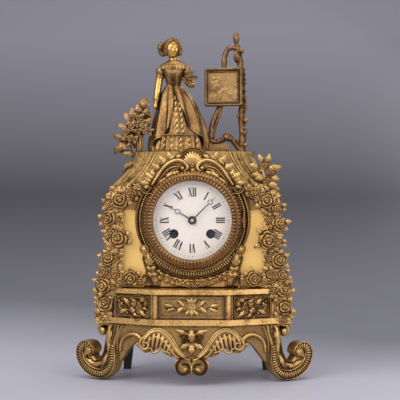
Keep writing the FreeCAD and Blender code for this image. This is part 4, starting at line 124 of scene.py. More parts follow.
def flourish(start: Flat, end: Flat, bends: Sequence[float]) -> list[Vector]:
    """Draws a scroll by turning a line as it goes, then fits its ends to two places.

    Args:
        start: Where the scroll's first eye is.
        end: Where its last eye is.
        bends: How sharply it turns, from its start to its end, in radians over the whole length.

    Returns:
        The scroll's points, each of two numbers.
    """
    heading, place, line = 0.0, Vector((0.0, 0.0)), [Vector((0.0, 0.0))]
    steps = 56
    for step in range(steps):
        share = (step + 0.5) / steps * (len(bends) - 1)
        low = min(int(share), len(bends) - 2)
        bend = bends[low] + (bends[low + 1] - bends[low]) * (share - low)
        heading += bend / steps
        place = place + Vector((math.cos(heading), math.sin(heading))) / steps
        line.append(place.copy())
    span, wanted = line[-1], Vector(end) - Vector(start)
    grow = wanted.length / max(span.length, 1e-6)
    turn = math.atan2(wanted.y, wanted.x) - math.atan2(span.y, span.x)
    spin = Matrix.Rotation(turn, 2)
    return [Vector(start) + (spin @ p) * grow for p in line]


def arc(centre: Flat, radius: float, first: float, last: float, steps: int) -> list[Vector]:
    """Gives the points of an arc, its angles in degrees from the right, counter-clockwise."""
    turns = [math.radians(first + (last - first) * k / steps) for k in range(steps + 1)]
    return [Vector((centre[0] + radius * math.cos(a), centre[1] + radius * math.sin(a))) for a in turns]


def flip(side: int, points: Iterable[Flat]) -> list[Flat]:
    """Turns points over to one side: minus one for the left, one for the right, where they are given."""
    return [(side * x, z) for x, z in points]


@dataclass(frozen=True)
class Wall:
    """A flat face to carve on: a point of it, its way right, its way up and its way out."""

    origin: Vector
    right: Vector
    out: Vector
    up: Vector = UP
    press: float = 1.0

    def at(self, across: float, above: float, proud: float = 0.0) -> Vector:
        """Gives the place of a point on the face, proud of it by the last number."""
        return self.origin + self.right * across + self.up * above + self.out * (proud * self.press)

    def lay(self, line: Iterable[Sequence[float]], proud: float) -> list[Vector]:
        """Lays a flat line on the face."""
        return [self.at(p[0], p[1], proud) for p in line]


def front_wall(depth: float, press: float = 1.0) -> Wall:
    """Gives an upright face that looks to the front, at that depth, its relief pressed by a share."""
    return Wall(Vector((0.0, depth, 0.0)), Vector((1.0, 0.0, 0.0)), FRONT, UP, press)


def facet_wall(side: int) -> Wall:
    """Gives the plinth's slanted face on one side, measured outwards from its inner edge.

    Args:
        side: Minus one for the left, one for the right.

    Returns:
        The face.
    """
    lean = math.atan2(PLINTH_END[1] - PLINTH_CORNER[1], PLINTH_END[0] - PLINTH_CORNER[0])
    right = Vector((side * math.cos(lean), math.sin(lean), 0.0))
    out = Vector((side * math.sin(lean), -math.cos(lean), 0.0))
    return Wall(Vector((side * PLINTH_CORNER[0], PLINTH_CORNER[1], 0.0)), right, out)


# Mesh making


RIDGED = ((-1.0, 0.0), (-0.96, 0.5), (-0.72, 0.92), (-0.45, 0.8), (0.0, 0.5), (0.45, 0.8), (0.72, 0.92),
          (0.96, 0.5), (1.0, 0.0), (0.0, -0.3))
ROUNDED = ((-1.0, 0.0), (-0.85, 0.52), (-0.45, 0.9), (0.0, 1.0), (0.45, 0.9), (0.85, 0.52), (1.0, 0.0),
           (0.0, -0.3))
STEPPED = ((-1.0, -0.2), (-1.0, 0.4), (-0.7, 0.55), (-0.5, 0.5), (-0.4, 0.9), (0.0, 1.05), (0.4, 0.9),
           (0.5, 0.5), (0.7, 0.55), (1.0, 0.4), (1.0, -0.2))
ROUND = tuple((math.cos(k * math.pi / 5), math.sin(k * math.pi / 5)) for k in range(10, 0, -1))


class Shape:
    """Collects the closed shells of one piece, in millimetres, and makes one object of them."""

    def __init__(self, name: str) -> None:
        """Starts an empty piece of that name.

        Args:
            name: The piece's name.
        """
        self.name = name
        self.points: list[Vector] = []
        self.faces: list[tuple[int, ...]] = []

    def add(self, points: Sequence[Vector], faces: Iterable[Sequence[int]]) -> None:
        """Adds a shell given by its points and faces.

        Args:
            points: Its points, in millimetres.
            faces: Each face as the numbers of its points.
        """
        base = len(self.points)
        self.points.extend(points)
        self.faces.extend(tuple(base + k for k in face) for face in faces)

    def rings(self, rings: Sequence[Sequence[Vector]]) -> None:
        """Skins rings of the same count and closes both ends with a middle point.

        Args:
            rings: The rings, from one end to the other.
        """
        count = len(rings[0])
        points = [p for ring in rings for p in ring]
        faces = []
        for row in range(len(rings) - 1):
            for k in range(count):
                a, b = row * count + k, row * count + (k + 1) % count
                faces.append((a, b, b + count, a + count))
        for row in (0, len(rings) - 1):
            middle = len(points)
            points.append(sum(rings[row], Vector()) / count)
            base = row * count
            faces.extend((base + k, base + (k + 1) % count, middle) for k in range(count))
        self.add(points, faces)

    def loops(self, rings: Sequence[Sequence[Vector]]) -> None:
        """Skins rings of the same count, the last one joined back to the first.

        Args:
            rings: The rings, from one end to the other.
        """
        count, rows = len(rings[0]), len(rings)
        points = [p for ring in rings for p in ring]
        faces = []
        for row in range(rows):
            for k in range(count):
                a, b = row * count + k, row * count + (k + 1) % count
                after = ((row + 1) % rows) * count - row * count
                faces.append((a, b, b + after, a + after))
        self.add(points, faces)

    def skin(self, rows: Sequence[Sequence[Vector]], thick: float) -> None:
        """Makes a thin closed shell from a field of points.

        Args:
            rows: The rows of points, all of the same count.
            thick: The shell's thickness, laid behind the field.
        """
        high, wide = len(rows), len(rows[0])
        top, under = [], []
        for r in range(high):
            for c in range(wide):
                along = rows[min(r + 1, high - 1)][c] - rows[max(r - 1, 0)][c]
                aside = rows[r][min(c + 1, wide - 1)] - rows[r][max(c - 1, 0)]
                normal = along.cross(aside)
                normal = normal.normalized() if normal.length > 1e-9 else UP
                top.append(rows[r][c])
                under.append(rows[r][c] - normal * thick)
        faces, shift = [], high * wide
        for r in range(high - 1):
            for c in range(wide - 1):
                a = r * wide + c
                faces.append((a, a + 1, a + wide + 1, a + wide))
                faces.append((a + shift + wide, a + shift + wide + 1, a + shift + 1, a + shift))
        rim = [c for c in range(wide)] + [r * wide + wide - 1 for r in range(1, high)]
        rim += [(high - 1) * wide + c for c in range(wide - 2, -1, -1)] + [r * wide
                                                                           for r in range(high - 2, 0, -1)]
        for k, a in enumerate(rim):
            b = rim[(k + 1) % len(rim)]
            faces.append((b, a, a + shift, b + shift))
        self.add(top + under, faces)

    def sweep(self, line: Sequence[Vector], out: Vector | Callable[[float], Vector],
              across: Callable[[float], float], high: Callable[[float], float],
              section: Sequence[Flat], closed: bool = False) -> None:
        """Draws a section along a line.

        Args:
            line: The line's points.
            out: The way that the section's top looks, or a function of the share along the line.
            across: Half the width, by the share along the line.
            high: The height, by the share along the line.
            section: The section's points, as shares of half the width and of the height.
            closed: Whether the line comes back to its start.
        """
        rings, last = [], len(line) - 1
        for index, place in enumerate(line):
            share = index / last
            before = line[index - 1] if index or closed else line[0]
            after = line[(index + 1) % len(line)] if index < last or closed else line[last]
            way = (after - before).normalized()
            face = out(share) if callable(out) else out
            side = way.cross(face).normalized()
            lift = side.cross(way).normalized()
            rings.append([place + side * (a * across(share)) + lift * (h * high(share)) for a, h in section])
        if closed:
            self.loops(rings)
        else:
            self.rings(rings)

    def blob(self, centre: Vector, size: Sequence[float], rows: int, cols: int,
             change: Callable[[Vector], Vector] | None = None) -> None:
        """Adds an egg shape whose points may be changed by a function of their direction.

        Args:
            centre: Its middle.
            size: Half its size along X, Y and Z.
            rows: Stretches from its top to its foot.
            cols: Points round it.
            change: Gives the way from the middle to a point, where it isn't a plain egg.
        """
        rings = []
        for r in range(1, rows):
            tilt = math.pi * r / rows
            ring = []
            for c in range(cols):
                turn = 2 * math.pi * c / cols
                way = Vector((math.sin(tilt) * math.cos(turn), math.sin(tilt) * math.sin(turn),
                              math.cos(tilt)))
                spot = Vector((way.x * size[0], way.y * size[1], way.z * size[2]))
                ring.append(centre + (change(way) if change else spot))
            rings.append(ring)
        self.rings(rings)

    def lathe(self, centre: Vector, axis: Vector, profile: Sequence[Flat], cols: int) -> None:
        """Turns a profile of (radius, way along the axis) about an axis, as a closed solid.

        Args:
            centre: Where the axis starts.
            axis: The way of the axis.
            profile: The profile, closed at both ends.
            cols: Points round it.
        """
        axis = axis.normalized()
        side = axis.cross(UP if abs(axis.z) < 0.9 else FRONT).normalized()
        other = axis.cross(side)
        turns = [2 * math.pi * c / cols for c in range(cols)]
        self.rings([[centre + axis * d + (side * math.cos(t) + other * math.sin(t)) * r for t in turns]
                    for r, d in profile])

    def stroke(self, wall: Wall, line: Sequence[Sequence[float]], width: float, height: float,
               section: Sequence[Flat] = RIDGED, ends: float = 0.3, sunk: float = 0.3) -> None:
        """Lays a carved stroke on a wall, thinner towards both ends.

        Args:
            wall: The face that carries it.
            line: Its flat line.
            width: Half its width at the middle.
            height: How far it stands proud at the middle.
            section: The section's shares.
            ends: The share of the width left at both ends.
            sunk: How far its base is let into the face.
        """
        def swell(share: float) -> float:
            """Gives the share of the width at a share of the way."""
            return ends + (1.0 - ends) * math.sin(math.pi * min(1.0, max(0.0, share))) ** 0.6
        self.sweep(wall.lay(line, -sunk), wall.out, lambda s: width * swell(s),
                   lambda s: sunk + height * (0.5 + 0.5 * swell(s)), section)

    def scroll(self, wall: Wall, start: Flat, end: Flat, bends: Sequence[float], width: float, height: float,
               side: int = 1) -> None:
        """Lays a scroll with round eyes at its ends on a wall.

        Args:
            wall: The face that carries it.
            start: The place of its first eye.
            end: The place of its last eye.
            bends: How sharply it turns along the way, in radians over its length.
            width: Half its width at the middle.
            height: How far it stands proud.
            side: Minus one turns the scroll over to the left.
        """
        line = flourish((side * start[0], start[1]), (side * end[0], end[1]), [side * k for k in bends])
        self.stroke(wall, line, width, height)
        for place in (line[0], line[-1]):
            self.boss(wall, (place.x, place.y), width * 0.95, height * 1.15)

    def boss(self, wall: Wall, place: Flat, radius: float, height: float) -> None:
        """Lays a round button on a wall.

        Args:
            wall: The face that carries it.
            place: Its place on the face.
            radius: Its radius.
            height: How far it stands proud.
        """
        height *= wall.press
        profile = ((radius, -0.4), (radius, 0.35 * height), (radius * 0.82, 0.72 * height),
                   (radius * 0.45, 0.95 * height), (radius * 0.05, height))
        self.lathe(wall.at(place[0], place[1]), wall.out, profile, 12)

    def leaf(self, foot: Vector, tip: Vector, out: Vector, half: float, lift: float, lobes: int,
             curl: float = 0.15, thick: float = 0.5, rows: int = 13, cols: int = 7) -> None:
        """Adds a veined leaf with cut edges.

        Args:
            foot: Where it springs from.
            tip: Where it ends.
            out: The way that its upper side looks.
            half: Half its greatest width.
            lift: How far its middle stands up, as a share of its length.
            lobes: The number of lobes on each side.
            curl: How far its tip bends back, as a share of its length.
            thick: Its thickness.
            rows: Points along it.
            cols: Points across it.
        """
        way = tip - foot
        length = way.length
        side = way.cross(out).normalized()
        face = side.cross(way).normalized()
        field_rows = []
        for r in range(rows):
            t = r / (rows - 1)
            body = math.sin(math.pi * min(1.0, 0.06 + 0.94 * t) ** 0.8) ** 0.75
            cut = 1.0 - 0.34 * (0.5 + 0.5 * math.cos(2 * math.pi * lobes * t)) if lobes else 1.0
            width = max(0.06, body * cut) * half
            arch = lift * math.sin(math.pi * t) * length + curl * length * (t * t) * (1 - 1.6 * t)
            row = []
            for c in range(cols):
                s = 2 * c / (cols - 1) - 1
                cup = -0.28 * width * s * s + 0.12 * half * (1 - abs(s)) ** 2
                lobe = 0.07 * half * math.cos(2 * math.pi * lobes * t + abs(s) * 4) * (0.3 + abs(s))
                rib = lobe if lobes else 0
                row.append(foot + way * t + side * (s * width) + face * (arch + cup + rib))
            field_rows.append(row)
        self.skin(field_rows, thick)

    def leaves(self, wall: Wall, spots: Iterable[tuple[Flat, Flat, float]], rises: Flat, lift: float,
               lobes: int = 3, side: int = 1, above: float = 0.0) -> None:
        """Adds leaves that lie on a wall.

        Args:
            wall: The face that carries them.
            spots: The place of each leaf's foot, the place of its tip and half its width.
            rises: How far the feet and the tips stand proud.
            lift: How far their middles stand up, as a share of their length.
            lobes: The number of lobes on each side.
            side: Minus one turns their places over to the left.
            above: The height that their places are measured from.
        """
        for a, b, half in spots:
            foot = wall.at(side * a[0], above + a[1], rises[0])
            tip = wall.at(side * b[0], above + b[1], rises[1])
            self.leaf(foot, tip, wall.out, half, lift, lobes)

    def frame(self, wall: Wall, low: Flat, high: Flat, width: float, height: float, sunk: float) -> None:
        """Lays a stepped fillet round a panel.

        Args:
            wall: The face that carries it.
            low: The panel's lower left corner.
            high: Its upper right corner.
            width: Half the fillet's width.
            height: The whole height of its section.
            sunk: How far its base is let into the face.
        """
        corners = [Vector(p) for p in (low, (high[0], low[1]), high, (low[0], high[1]))]
        for k, a in enumerate(corners):
            run = [a.lerp(corners[(k + 1) % 4], step / 4) for step in range(5)]
            self.sweep(wall.lay(run, -sunk), wall.out, lambda s: width, lambda s: height, STEPPED)

    def rose(self, centre: Vector, out: Vector, radius: float, depth: float, seed: int) -> None:
        """Adds a full round rose: three rings of cupped petals round a bud.

        Args:
            centre: The middle of its back.
            out: The way that it looks.
            radius: Its radius over the open petals.
            depth: How far it stands proud.
            seed: What its small differences are drawn from.
        """
        dice = random.Random(seed)
        out = out.normalized()
        side = out.cross(UP if abs(out.z) < 0.9 else FRONT).normalized()
        other = out.cross(side)
        large = radius > 5.0
        steps, cols = (18, 40) if large else (11, 24)
        petals = (((0.34, 3, 0.90), (0.68, 4, 0.68), (1.0, 5, 0.36)) if large
                  else ((0.45, 3, 0.86), (1.0, 5, 0.46)))
        starts = [dice.uniform(0.0, math.tau) for _ in petals]
        slip = (dice.uniform(-0.07, 0.07), dice.uniform(-0.07, 0.07))
        angles = [math.tau * c / cols for c in range(cols)]
        rings = [[centre - out * depth * 0.12 + (side * math.cos(a) + other * math.sin(a)) * radius * 0.8
                  for a in angles]]
        for step in range(steps, 0, -1):
            share = step / steps
            ring = []
            for angle in angles:
                low, rise, rim = 0.0, 0.0, 1.0
                for (reach, count, level), start in zip(petals, starts):
                    fan = abs(math.cos(count * (angle + start) / 2))
                    edge = reach * (0.80 + 0.20 * fan ** 0.55)
                    if reach == 1.0:
                        rim, edge = edge, 1.0
                    if share <= edge or reach == 1.0:
                        way = min(1.0, max(0.0, (share - low) / (edge - low)))
                        lip = math.sin(math.pi * min(1.0, 0.10 + 0.90 * way) ** 1.7)
                        rise = level + 0.26 * lip * (0.2 + 0.8 * fan ** 0.5) - 0.10 * way * way
                        break
                    low = edge
                spot = (side * (math.cos(angle) * rim * share + slip[0] * (1 - share))
                        + other * (math.sin(angle) * rim * share + slip[1] * (1 - share)))
                ring.append(centre + out * (depth * 0.86 * rise) + spot * radius)
            rings.append(ring)
        self.rings(rings)

    def plate(self, wall: Wall, outline: Sequence[Sequence[float]], thick: float, proud: float,
              bevel: float = 0.0) -> None:
        """Lays a plate of any outline on a wall, its rim broken by a bevel.

        Args:
            wall: The face that carries it.
            outline: Its outline on the face.
            thick: Its thickness.
            proud: How far its top stands off the face.
            bevel: The width of the bevel.
        """
        ring = [Vector((p[0], p[1])) for p in outline]
        count = len(ring)
        inner = []
        for k in range(count):
            way = ring[(k + 1) % count] - ring[k - 1]
            normal = Vector((-way.y, way.x)).normalized()
            inner.append(ring[k] + normal * bevel)
        area = sum(ring[k - 1].x * ring[k].y - ring[k].x * ring[k - 1].y for k in range(count))
        if area < 0:
            inner = [ring[k] * 2 - inner[k] for k in range(count)]
        levels = [(ring, proud - thick), (ring, proud - bevel), (inner if bevel else ring, proud)]
        if not bevel:
            levels = levels[::2]
        points = [wall.at(p.x, p.y, level) for line, level in levels for p in line]
        faces: list[tuple[int, ...]] = []
        for row in range(len(levels) - 1):
            for k in range(count):
                a, b = row * count + k, row * count + (k + 1) % count
                faces.append((a, b, b + count, a + count))
        faces.append(tuple(range(count)))
        faces.append(tuple((len(levels) - 1) * count + k for k in range(count)))
        self.add(points, faces)

    def mesh(self, sharp: float = 45.0) -> bpy.types.Mesh:
        """Makes the mesh in metres, with doubles merged, faces outwards and soft shading below an angle.

        Args:
            sharp: The angle in degrees above which an edge stays crisp.

        Returns:
            The mesh.
        """
        mesh = bpy.data.meshes.new(self.name)
        mesh.from_pydata([p * MM for p in self.points], [], self.faces)
        work = bmesh.new()
        work.from_mesh(mesh)
        bmesh.ops.remove_doubles(work, verts=work.verts, dist=1e-6)
        bmesh.ops.recalc_face_normals(work, faces=work.faces)
        big = [f for f in work.faces if len(f.verts) > 4]
        bmesh.ops.triangulate(work, faces=big)
        work.to_mesh(mesh)
        work.free()
        mesh.shade_smooth()
        mesh.set_sharp_from_angle(angle=math.radians(sharp))
        return mesh

    def place(self, material: bpy.types.Material, slot: str = "gilt_bronze",
              stands_for: Sequence[str] = (), sharp: float = 45.0) -> bpy.types.Object:
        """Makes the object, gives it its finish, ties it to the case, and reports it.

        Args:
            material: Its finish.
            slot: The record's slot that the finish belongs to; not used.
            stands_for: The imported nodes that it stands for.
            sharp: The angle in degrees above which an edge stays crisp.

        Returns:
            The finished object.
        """
        mesh = self.mesh(sharp)
        mesh.materials.append(material)
        return settle(bpy.data.objects.new(self.name, mesh), "case", stands_for)


def settle(piece: bpy.types.Object, body: str, stands_for: Sequence[str] = ()) -> bpy.types.Object:
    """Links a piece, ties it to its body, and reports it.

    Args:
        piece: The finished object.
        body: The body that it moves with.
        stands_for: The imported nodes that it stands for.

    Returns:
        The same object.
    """
    if piece.name not in bpy.context.scene.collection.objects:
        bpy.context.scene.collection.objects.link(piece)
    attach(piece, body)
    if stands_for:
        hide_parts(*stands_for)
    log.info("%s: %d faces on %s", piece.name, len(piece.data.polygons), body)
    return piece


# Geometry Nodes


class Tree:
    """Builds a Geometry Nodes tree in script and bakes its result into a plain mesh."""

    def __init__(self, name: str, inputs: Sequence[tuple[str, str]]) -> None:
        """Starts a tree with a geometry input, the named inputs and a geometry output.

        Args:
            name: The tree's name.
            inputs: The label and socket type of each input.
        """
        self.group = bpy.data.node_groups.new(name, "GeometryNodeTree")
        face = self.group.interface
        face.new_socket("Geometry", in_out="INPUT", socket_type="NodeSocketGeometry")
        self.keys: dict[str, str] = {}
        for label, kind in inputs:
            self.keys[label] = face.new_socket(label, in_out="INPUT", socket_type=kind).identifier
        face.new_socket("Geometry", in_out="OUTPUT", socket_type="NodeSocketGeometry")
        self.entry = self.group.nodes.new("NodeGroupInput")
        self.exit = self.group.nodes.new("NodeGroupOutput")

    def node(self, kind: str, settings: dict[str, Any] | None = None,
             links: dict[str | int, Any] | None = None) -> bpy.types.Node:
        """Adds a node: its settings first, then the values or links of its sockets.

        Args:
            kind: The node's type.
            settings: Its settings.
            links: The values of its inputs, or the sockets that feed them.

        Returns:
            The node.
        """
        node = self.group.nodes.new(kind)
        for key, value in (settings or {}).items():
            setattr(node, key, value)
        for key, value in (links or {}).items():
            if isinstance(value, bpy.types.NodeSocket):
                self.group.links.new(value, node.inputs[key])
            else:
                node.inputs[key].default_value = value
        return node

    def close(self, geometry: bpy.types.NodeSocket, finish: bpy.types.NodeSocket) -> None:
        """Ends the tree in Realize Instances and Set Material.

        Args:
            geometry: What the tree has made.
            finish: The socket that holds the material.
        """
        real = self.node("GeometryNodeRealizeInstances", links={0: geometry})
        dressed = self.node("GeometryNodeSetMaterial",
                            links={"Geometry": real.outputs[0], "Material": finish})
        self.group.links.new(dressed.outputs[0], self.exit.inputs[0])

    def bake(self, name: str, host: bpy.types.Mesh, piece: Shape, values: dict[str, Any]) -> bpy.types.Object:
        """Runs the tree on a host mesh and keeps the result as a plain object.

        Args:
            name: The new object's name.
            host: The mesh that the tree works on.
            piece: The small shape that the tree repeats.
            values: What each other named input gets.

        Returns:
            The plain object.
        """
        master = bpy.data.objects.new(name + "_small", piece.mesh())
        bpy.context.scene.collection.objects.link(master)
        carrier = bpy.data.objects.new(name + "_host", host)
        bpy.context.scene.collection.objects.link(carrier)
        modifier = carrier.modifiers.new("nodes", "NODES")
        modifier.node_group = self.group
        for label, value in {"Piece": master, **values}.items():
            modifier[self.keys[label]] = value
        graph = bpy.context.evaluated_depsgraph_get()
        mesh = bpy.data.meshes.new_from_object(carrier.evaluated_get(graph))
        carrier.modifiers.remove(modifier)
        bpy.data.objects.remove(carrier)
        bpy.data.objects.remove(master)
        mesh.name = name
        mesh.shade_smooth()
        mesh.set_sharp_from_angle(angle=math.radians(45.0))
        return bpy.data.objects.new(name, mesh)


class Row(Tree):
    """Repeats one small shape along a line, such as pearls, ribs or fringe."""

    def __init__(self) -> None:
        """Builds the tree."""
        super().__init__("repeat_along_line", (("Piece", "NodeSocketObject"), ("Count", "NodeSocketInt"),
                                               ("Size", "NodeSocketFloat"), ("Out", "NodeSocketVector"),
                                               ("Finish", "NodeSocketMaterial")))
        given = self.entry.outputs
        curve = self.node("GeometryNodeMeshToCurve", links={0: given["Geometry"]})
        even = self.node("GeometryNodeResampleCurve",
                         links={"Curve": curve.outputs[0], "Count": given["Count"]})
        way = self.node("GeometryNodeInputTangent")
        up = self.node("FunctionNodeAlignRotationToVector", {"axis": "Z"}, {"Vector": given["Out"]})
        turn = self.node("FunctionNodeAlignRotationToVector", {"axis": "X", "pivot_axis": "Z"},
                         {"Rotation": up.outputs[0], "Vector": way.outputs[0]})
        shape = self.node("GeometryNodeObjectInfo", links={"Object": given["Piece"]})
        spots = self.node("GeometryNodeInstanceOnPoints",
                          links={"Points": even.outputs[0], "Instance": shape.outputs["Geometry"],
                                 "Rotation": turn.outputs[0], "Scale": given["Size"]})
        self.close(spots.outputs[0], given["Finish"])

    def run(self, name: str, lines: Sequence[Sequence[Vector]], piece: Shape, count: int,
            finish: bpy.types.Material, out: Vector = FRONT, size: float = 1.0, body: str = "case",
            slot: str = "gilt_bronze", closed: bool = False) -> bpy.types.Object:
        """Repeats a shape along lines.

        Args:
            name: The new piece's name.
            lines: The lines, in millimetres, each with its own copies.
            piece: The small shape, its foot at the origin and its top along Z.
            count: How many copies each line gets.
            finish: The material.
            out: The way that the shape's top looks.
            size: What the small shape's size is multiplied by.
            body: The body that the copies move with.
            slot: The record's slot of the finish; not used.
            closed: Whether each line comes back to its start.

        Returns:
            The finished object.
        """
        points, edges = [], []
        for line in lines:
            base = len(points)
            points += [p * MM for p in line]
            edges += [(base + k, base + k + 1) for k in range(len(line) - 1)]
            if closed:
                edges.append((base + len(line) - 1, base))
        host = bpy.data.meshes.new(name + "_line")
        host.from_pydata(points, edges, [])
        made = self.bake(name, host, piece, {"Count": count, "Size": size, "Out": tuple(out),
                                             "Finish": finish})
        return settle(made, body)


class Scatter(Tree):
    """Strews one small shape over a surface by a fixed seed."""

    seed = 4

    def __init__(self) -> None:
        """Builds the tree."""
        super().__init__("strew_over_surface", (("Piece", "NodeSocketObject"), ("Spacing", "NodeSocketFloat"),
                                                ("Density", "NodeSocketFloat"),
                                                ("Finish", "NodeSocketMaterial")))
        given = self.entry.outputs
        spots = self.node("GeometryNodeDistributePointsOnFaces", {"distribute_method": "POISSON"},
                          {"Mesh": given["Geometry"], "Distance Min": given["Spacing"],
                           "Density Max": given["Density"], "Seed": self.seed})
        shape = self.node("GeometryNodeObjectInfo", links={"Object": given["Piece"]})
        grow = self.node("FunctionNodeRandomValue", {"data_type": "FLOAT"},
                         {"Min": 0.7, "Max": 1.25, "Seed": self.seed})
        placed = self.node("GeometryNodeInstanceOnPoints",
                           links={"Points": spots.outputs["Points"], "Instance": shape.outputs["Geometry"],
                                  "Rotation": spots.outputs["Rotation"], "Scale": grow.outputs[1]})
        self.close(placed.outputs[0], given["Finish"])

    def run(self, name: str, ground: Shape, piece: Shape, spacing: float,
            finish: bpy.types.Material) -> bpy.types.Object:
        """Strews a shape over a ground that is itself not kept.

        Args:
            name: The new piece's name.
            ground: The surface to cover.
            piece: The small shape, its foot at the origin and its top along Z.
            spacing: The least distance between copies, in millimetres.
            finish: The material.

        Returns:
            The finished object, tied to the case.
        """
        thick = 1.0 / (spacing * MM) ** 2
        made = self.bake(name, ground.mesh(), piece, {"Spacing": spacing * MM, "Density": thick,
                                                      "Finish": finish})
        return settle(made, "case")


# Finishes


class Wire:
    """A number on its way through a material, with Python's own signs for its maths."""

    def __init__(self, board: "Board", socket: bpy.types.NodeSocket) -> None:
        """Wraps a socket of a board."""
        self.board = board
        self.socket = socket

    def _with(self, operation: str, first: Any, second: Any) -> "Wire":
        """Adds a Math node."""
        return self.board.add("ShaderNodeMath", {"operation": operation}, {0: first, 1: second})

    def __add__(self, other: Any) -> "Wire":
        """Adds."""
        return self._with("ADD", self, other)

    __radd__ = __add__

    def __sub__(self, other: Any) -> "Wire":
        """Takes the other away."""
        return self._with("SUBTRACT", self, other)

    def __rsub__(self, other: Any) -> "Wire":
        """Is taken away from the other."""
        return self._with("SUBTRACT", other, self)

    def __mul__(self, other: Any) -> "Wire":
        """Multiplies."""
        return self._with("MULTIPLY", self, other)

    __rmul__ = __mul__

    def __truediv__(self, other: Any) -> "Wire":
        """Divides."""
        return self._with("DIVIDE", self, other)

    def __pow__(self, other: Any) -> "Wire":
        """Raises to a power."""
        return self._with("POWER", self, other)

    def sine(self) -> "Wire":
        """Gives the sine."""
        return self._with("SINE", self, 0.0)

    def top(self, other: Any) -> "Wire":
        """Gives the larger of the two."""
        return self._with("MAXIMUM", self, other)

    def least(self, other: Any) -> "Wire":
        """Gives the smaller of the two."""
        return self._with("MINIMUM", self, other)

    def within(self) -> "Wire":
        """Holds the number between 0 and 1."""
        return self.top(0.0).least(1.0)


class Board:
    """The node board of one material."""

    def __init__(self, name: str) -> None:
        """Starts a material with an empty board.

        Args:
            name: The material's name.
        """
        self.material = bpy.data.materials.new(name)
        self.material.use_nodes = True
        self.nodes = self.material.node_tree.nodes
        self.links = self.material.node_tree.links
        self.nodes.clear()

    def add(self, kind: str, settings: dict[str, Any] | None = None, sockets: dict[Any, Any] | None = None,
            output: int | str = 0) -> Wire:
        """Adds any node.

        Args:
            kind: The node's type.
            settings: Its settings, set first; "stops" gives a ramp's places and colours.
            sockets: The values or wires of its inputs.
            output: Which output to give back.

        Returns:
            The chosen output.
        """
        node = self.nodes.new(kind)
        for key, value in (settings or {}).items():
            if key == "stops":
                ramp = node.color_ramp
                while len(ramp.elements) < len(value):
                    ramp.elements.new(0.5)
                for element, (place, colour) in zip(ramp.elements, value):
                    element.position = place
                    element.color = colour
            else:
                setattr(node, key, value)
        for key, value in (sockets or {}).items():
            if isinstance(value, Wire):
                self.links.new(value.socket, node.inputs[key])
            else:
                node.inputs[key].default_value = value
        return Wire(self, node.outputs[output]) if node.outputs else Wire(self, node.inputs[0])

    def split(self, vector: Wire) -> tuple[Wire, Wire, Wire]:
        """Parts a vector into its three numbers.

        Args:
            vector: The vector.

        Returns:
            Its X, Y and Z.
        """
        node = self.nodes.new("ShaderNodeSeparateXYZ")
        self.links.new(vector.socket, node.inputs[0])
        return tuple(Wire(self, out) for out in node.outputs)

    def place(self) -> Wire:
        """Gives the place on the object, in metres."""
        return self.add("ShaderNodeTexCoord", output="Object")

    def cloud(self, scale: float, detail: float = 3.0, rough: float = 0.55,
              where: Wire | None = None) -> Wire:
        """Gives a soft noise between about 0 and 1.

        Args:
            scale: How fine it is.
            detail: How many finer layers it has.
            rough: How strong they are.
            where: The place that it is read at, or None for the place on the object.

        Returns:
            The noise.
        """
        return self.add("ShaderNodeTexNoise", {"noise_dimensions": "3D"},
                        {"Vector": where or self.place(), "Scale": scale, "Detail": detail,
                         "Roughness": rough})

    def blend(self, share: Any, first: Any, second: Any) -> Wire:
        """Mixes two colours by a share."""
        return self.add("ShaderNodeMix", {"data_type": "RGBA"}, {0: share, 6: first, 7: second}, output=2)

    def bump(self, height: Wire, distance: float, strength: float, over: Wire | None = None) -> Wire:
        """Turns a height into a bumped normal.

        Args:
            height: The height, between 0 and 1.
            distance: How high 1 stands, in metres.
            strength: How much of it shows.
            over: The normal that it adds to.

        Returns:
            The normal.
        """
        sockets: dict[Any, Any] = {"Height": height, "Distance": distance, "Strength": strength}
        if over:
            sockets["Normal"] = over
        return self.add("ShaderNodeBump", {}, sockets)

    def finish(self, sockets: dict[str, Any]) -> bpy.types.Material:
        """Ends the board in one Principled shader.

        Args:
            sockets: The values and wires of the shader's inputs.

        Returns:
            The material.
        """
        shader = self.add("ShaderNodeBsdfPrincipled", {}, sockets)
        self.add("ShaderNodeOutputMaterial", {}, {"Surface": shader})
        return self.material


class Grain(Enum):
    """The small surface patterns that a gilt casting shows."""

    CAST = "cast"
    STIPPLE = "stipple"
    HATCH = "hatch"
    SATIN = "satin"
    CLOTH = "cloth"
    LACE = "lace"
    BARK = "bark"


Colour = tuple[float, float, float, float]


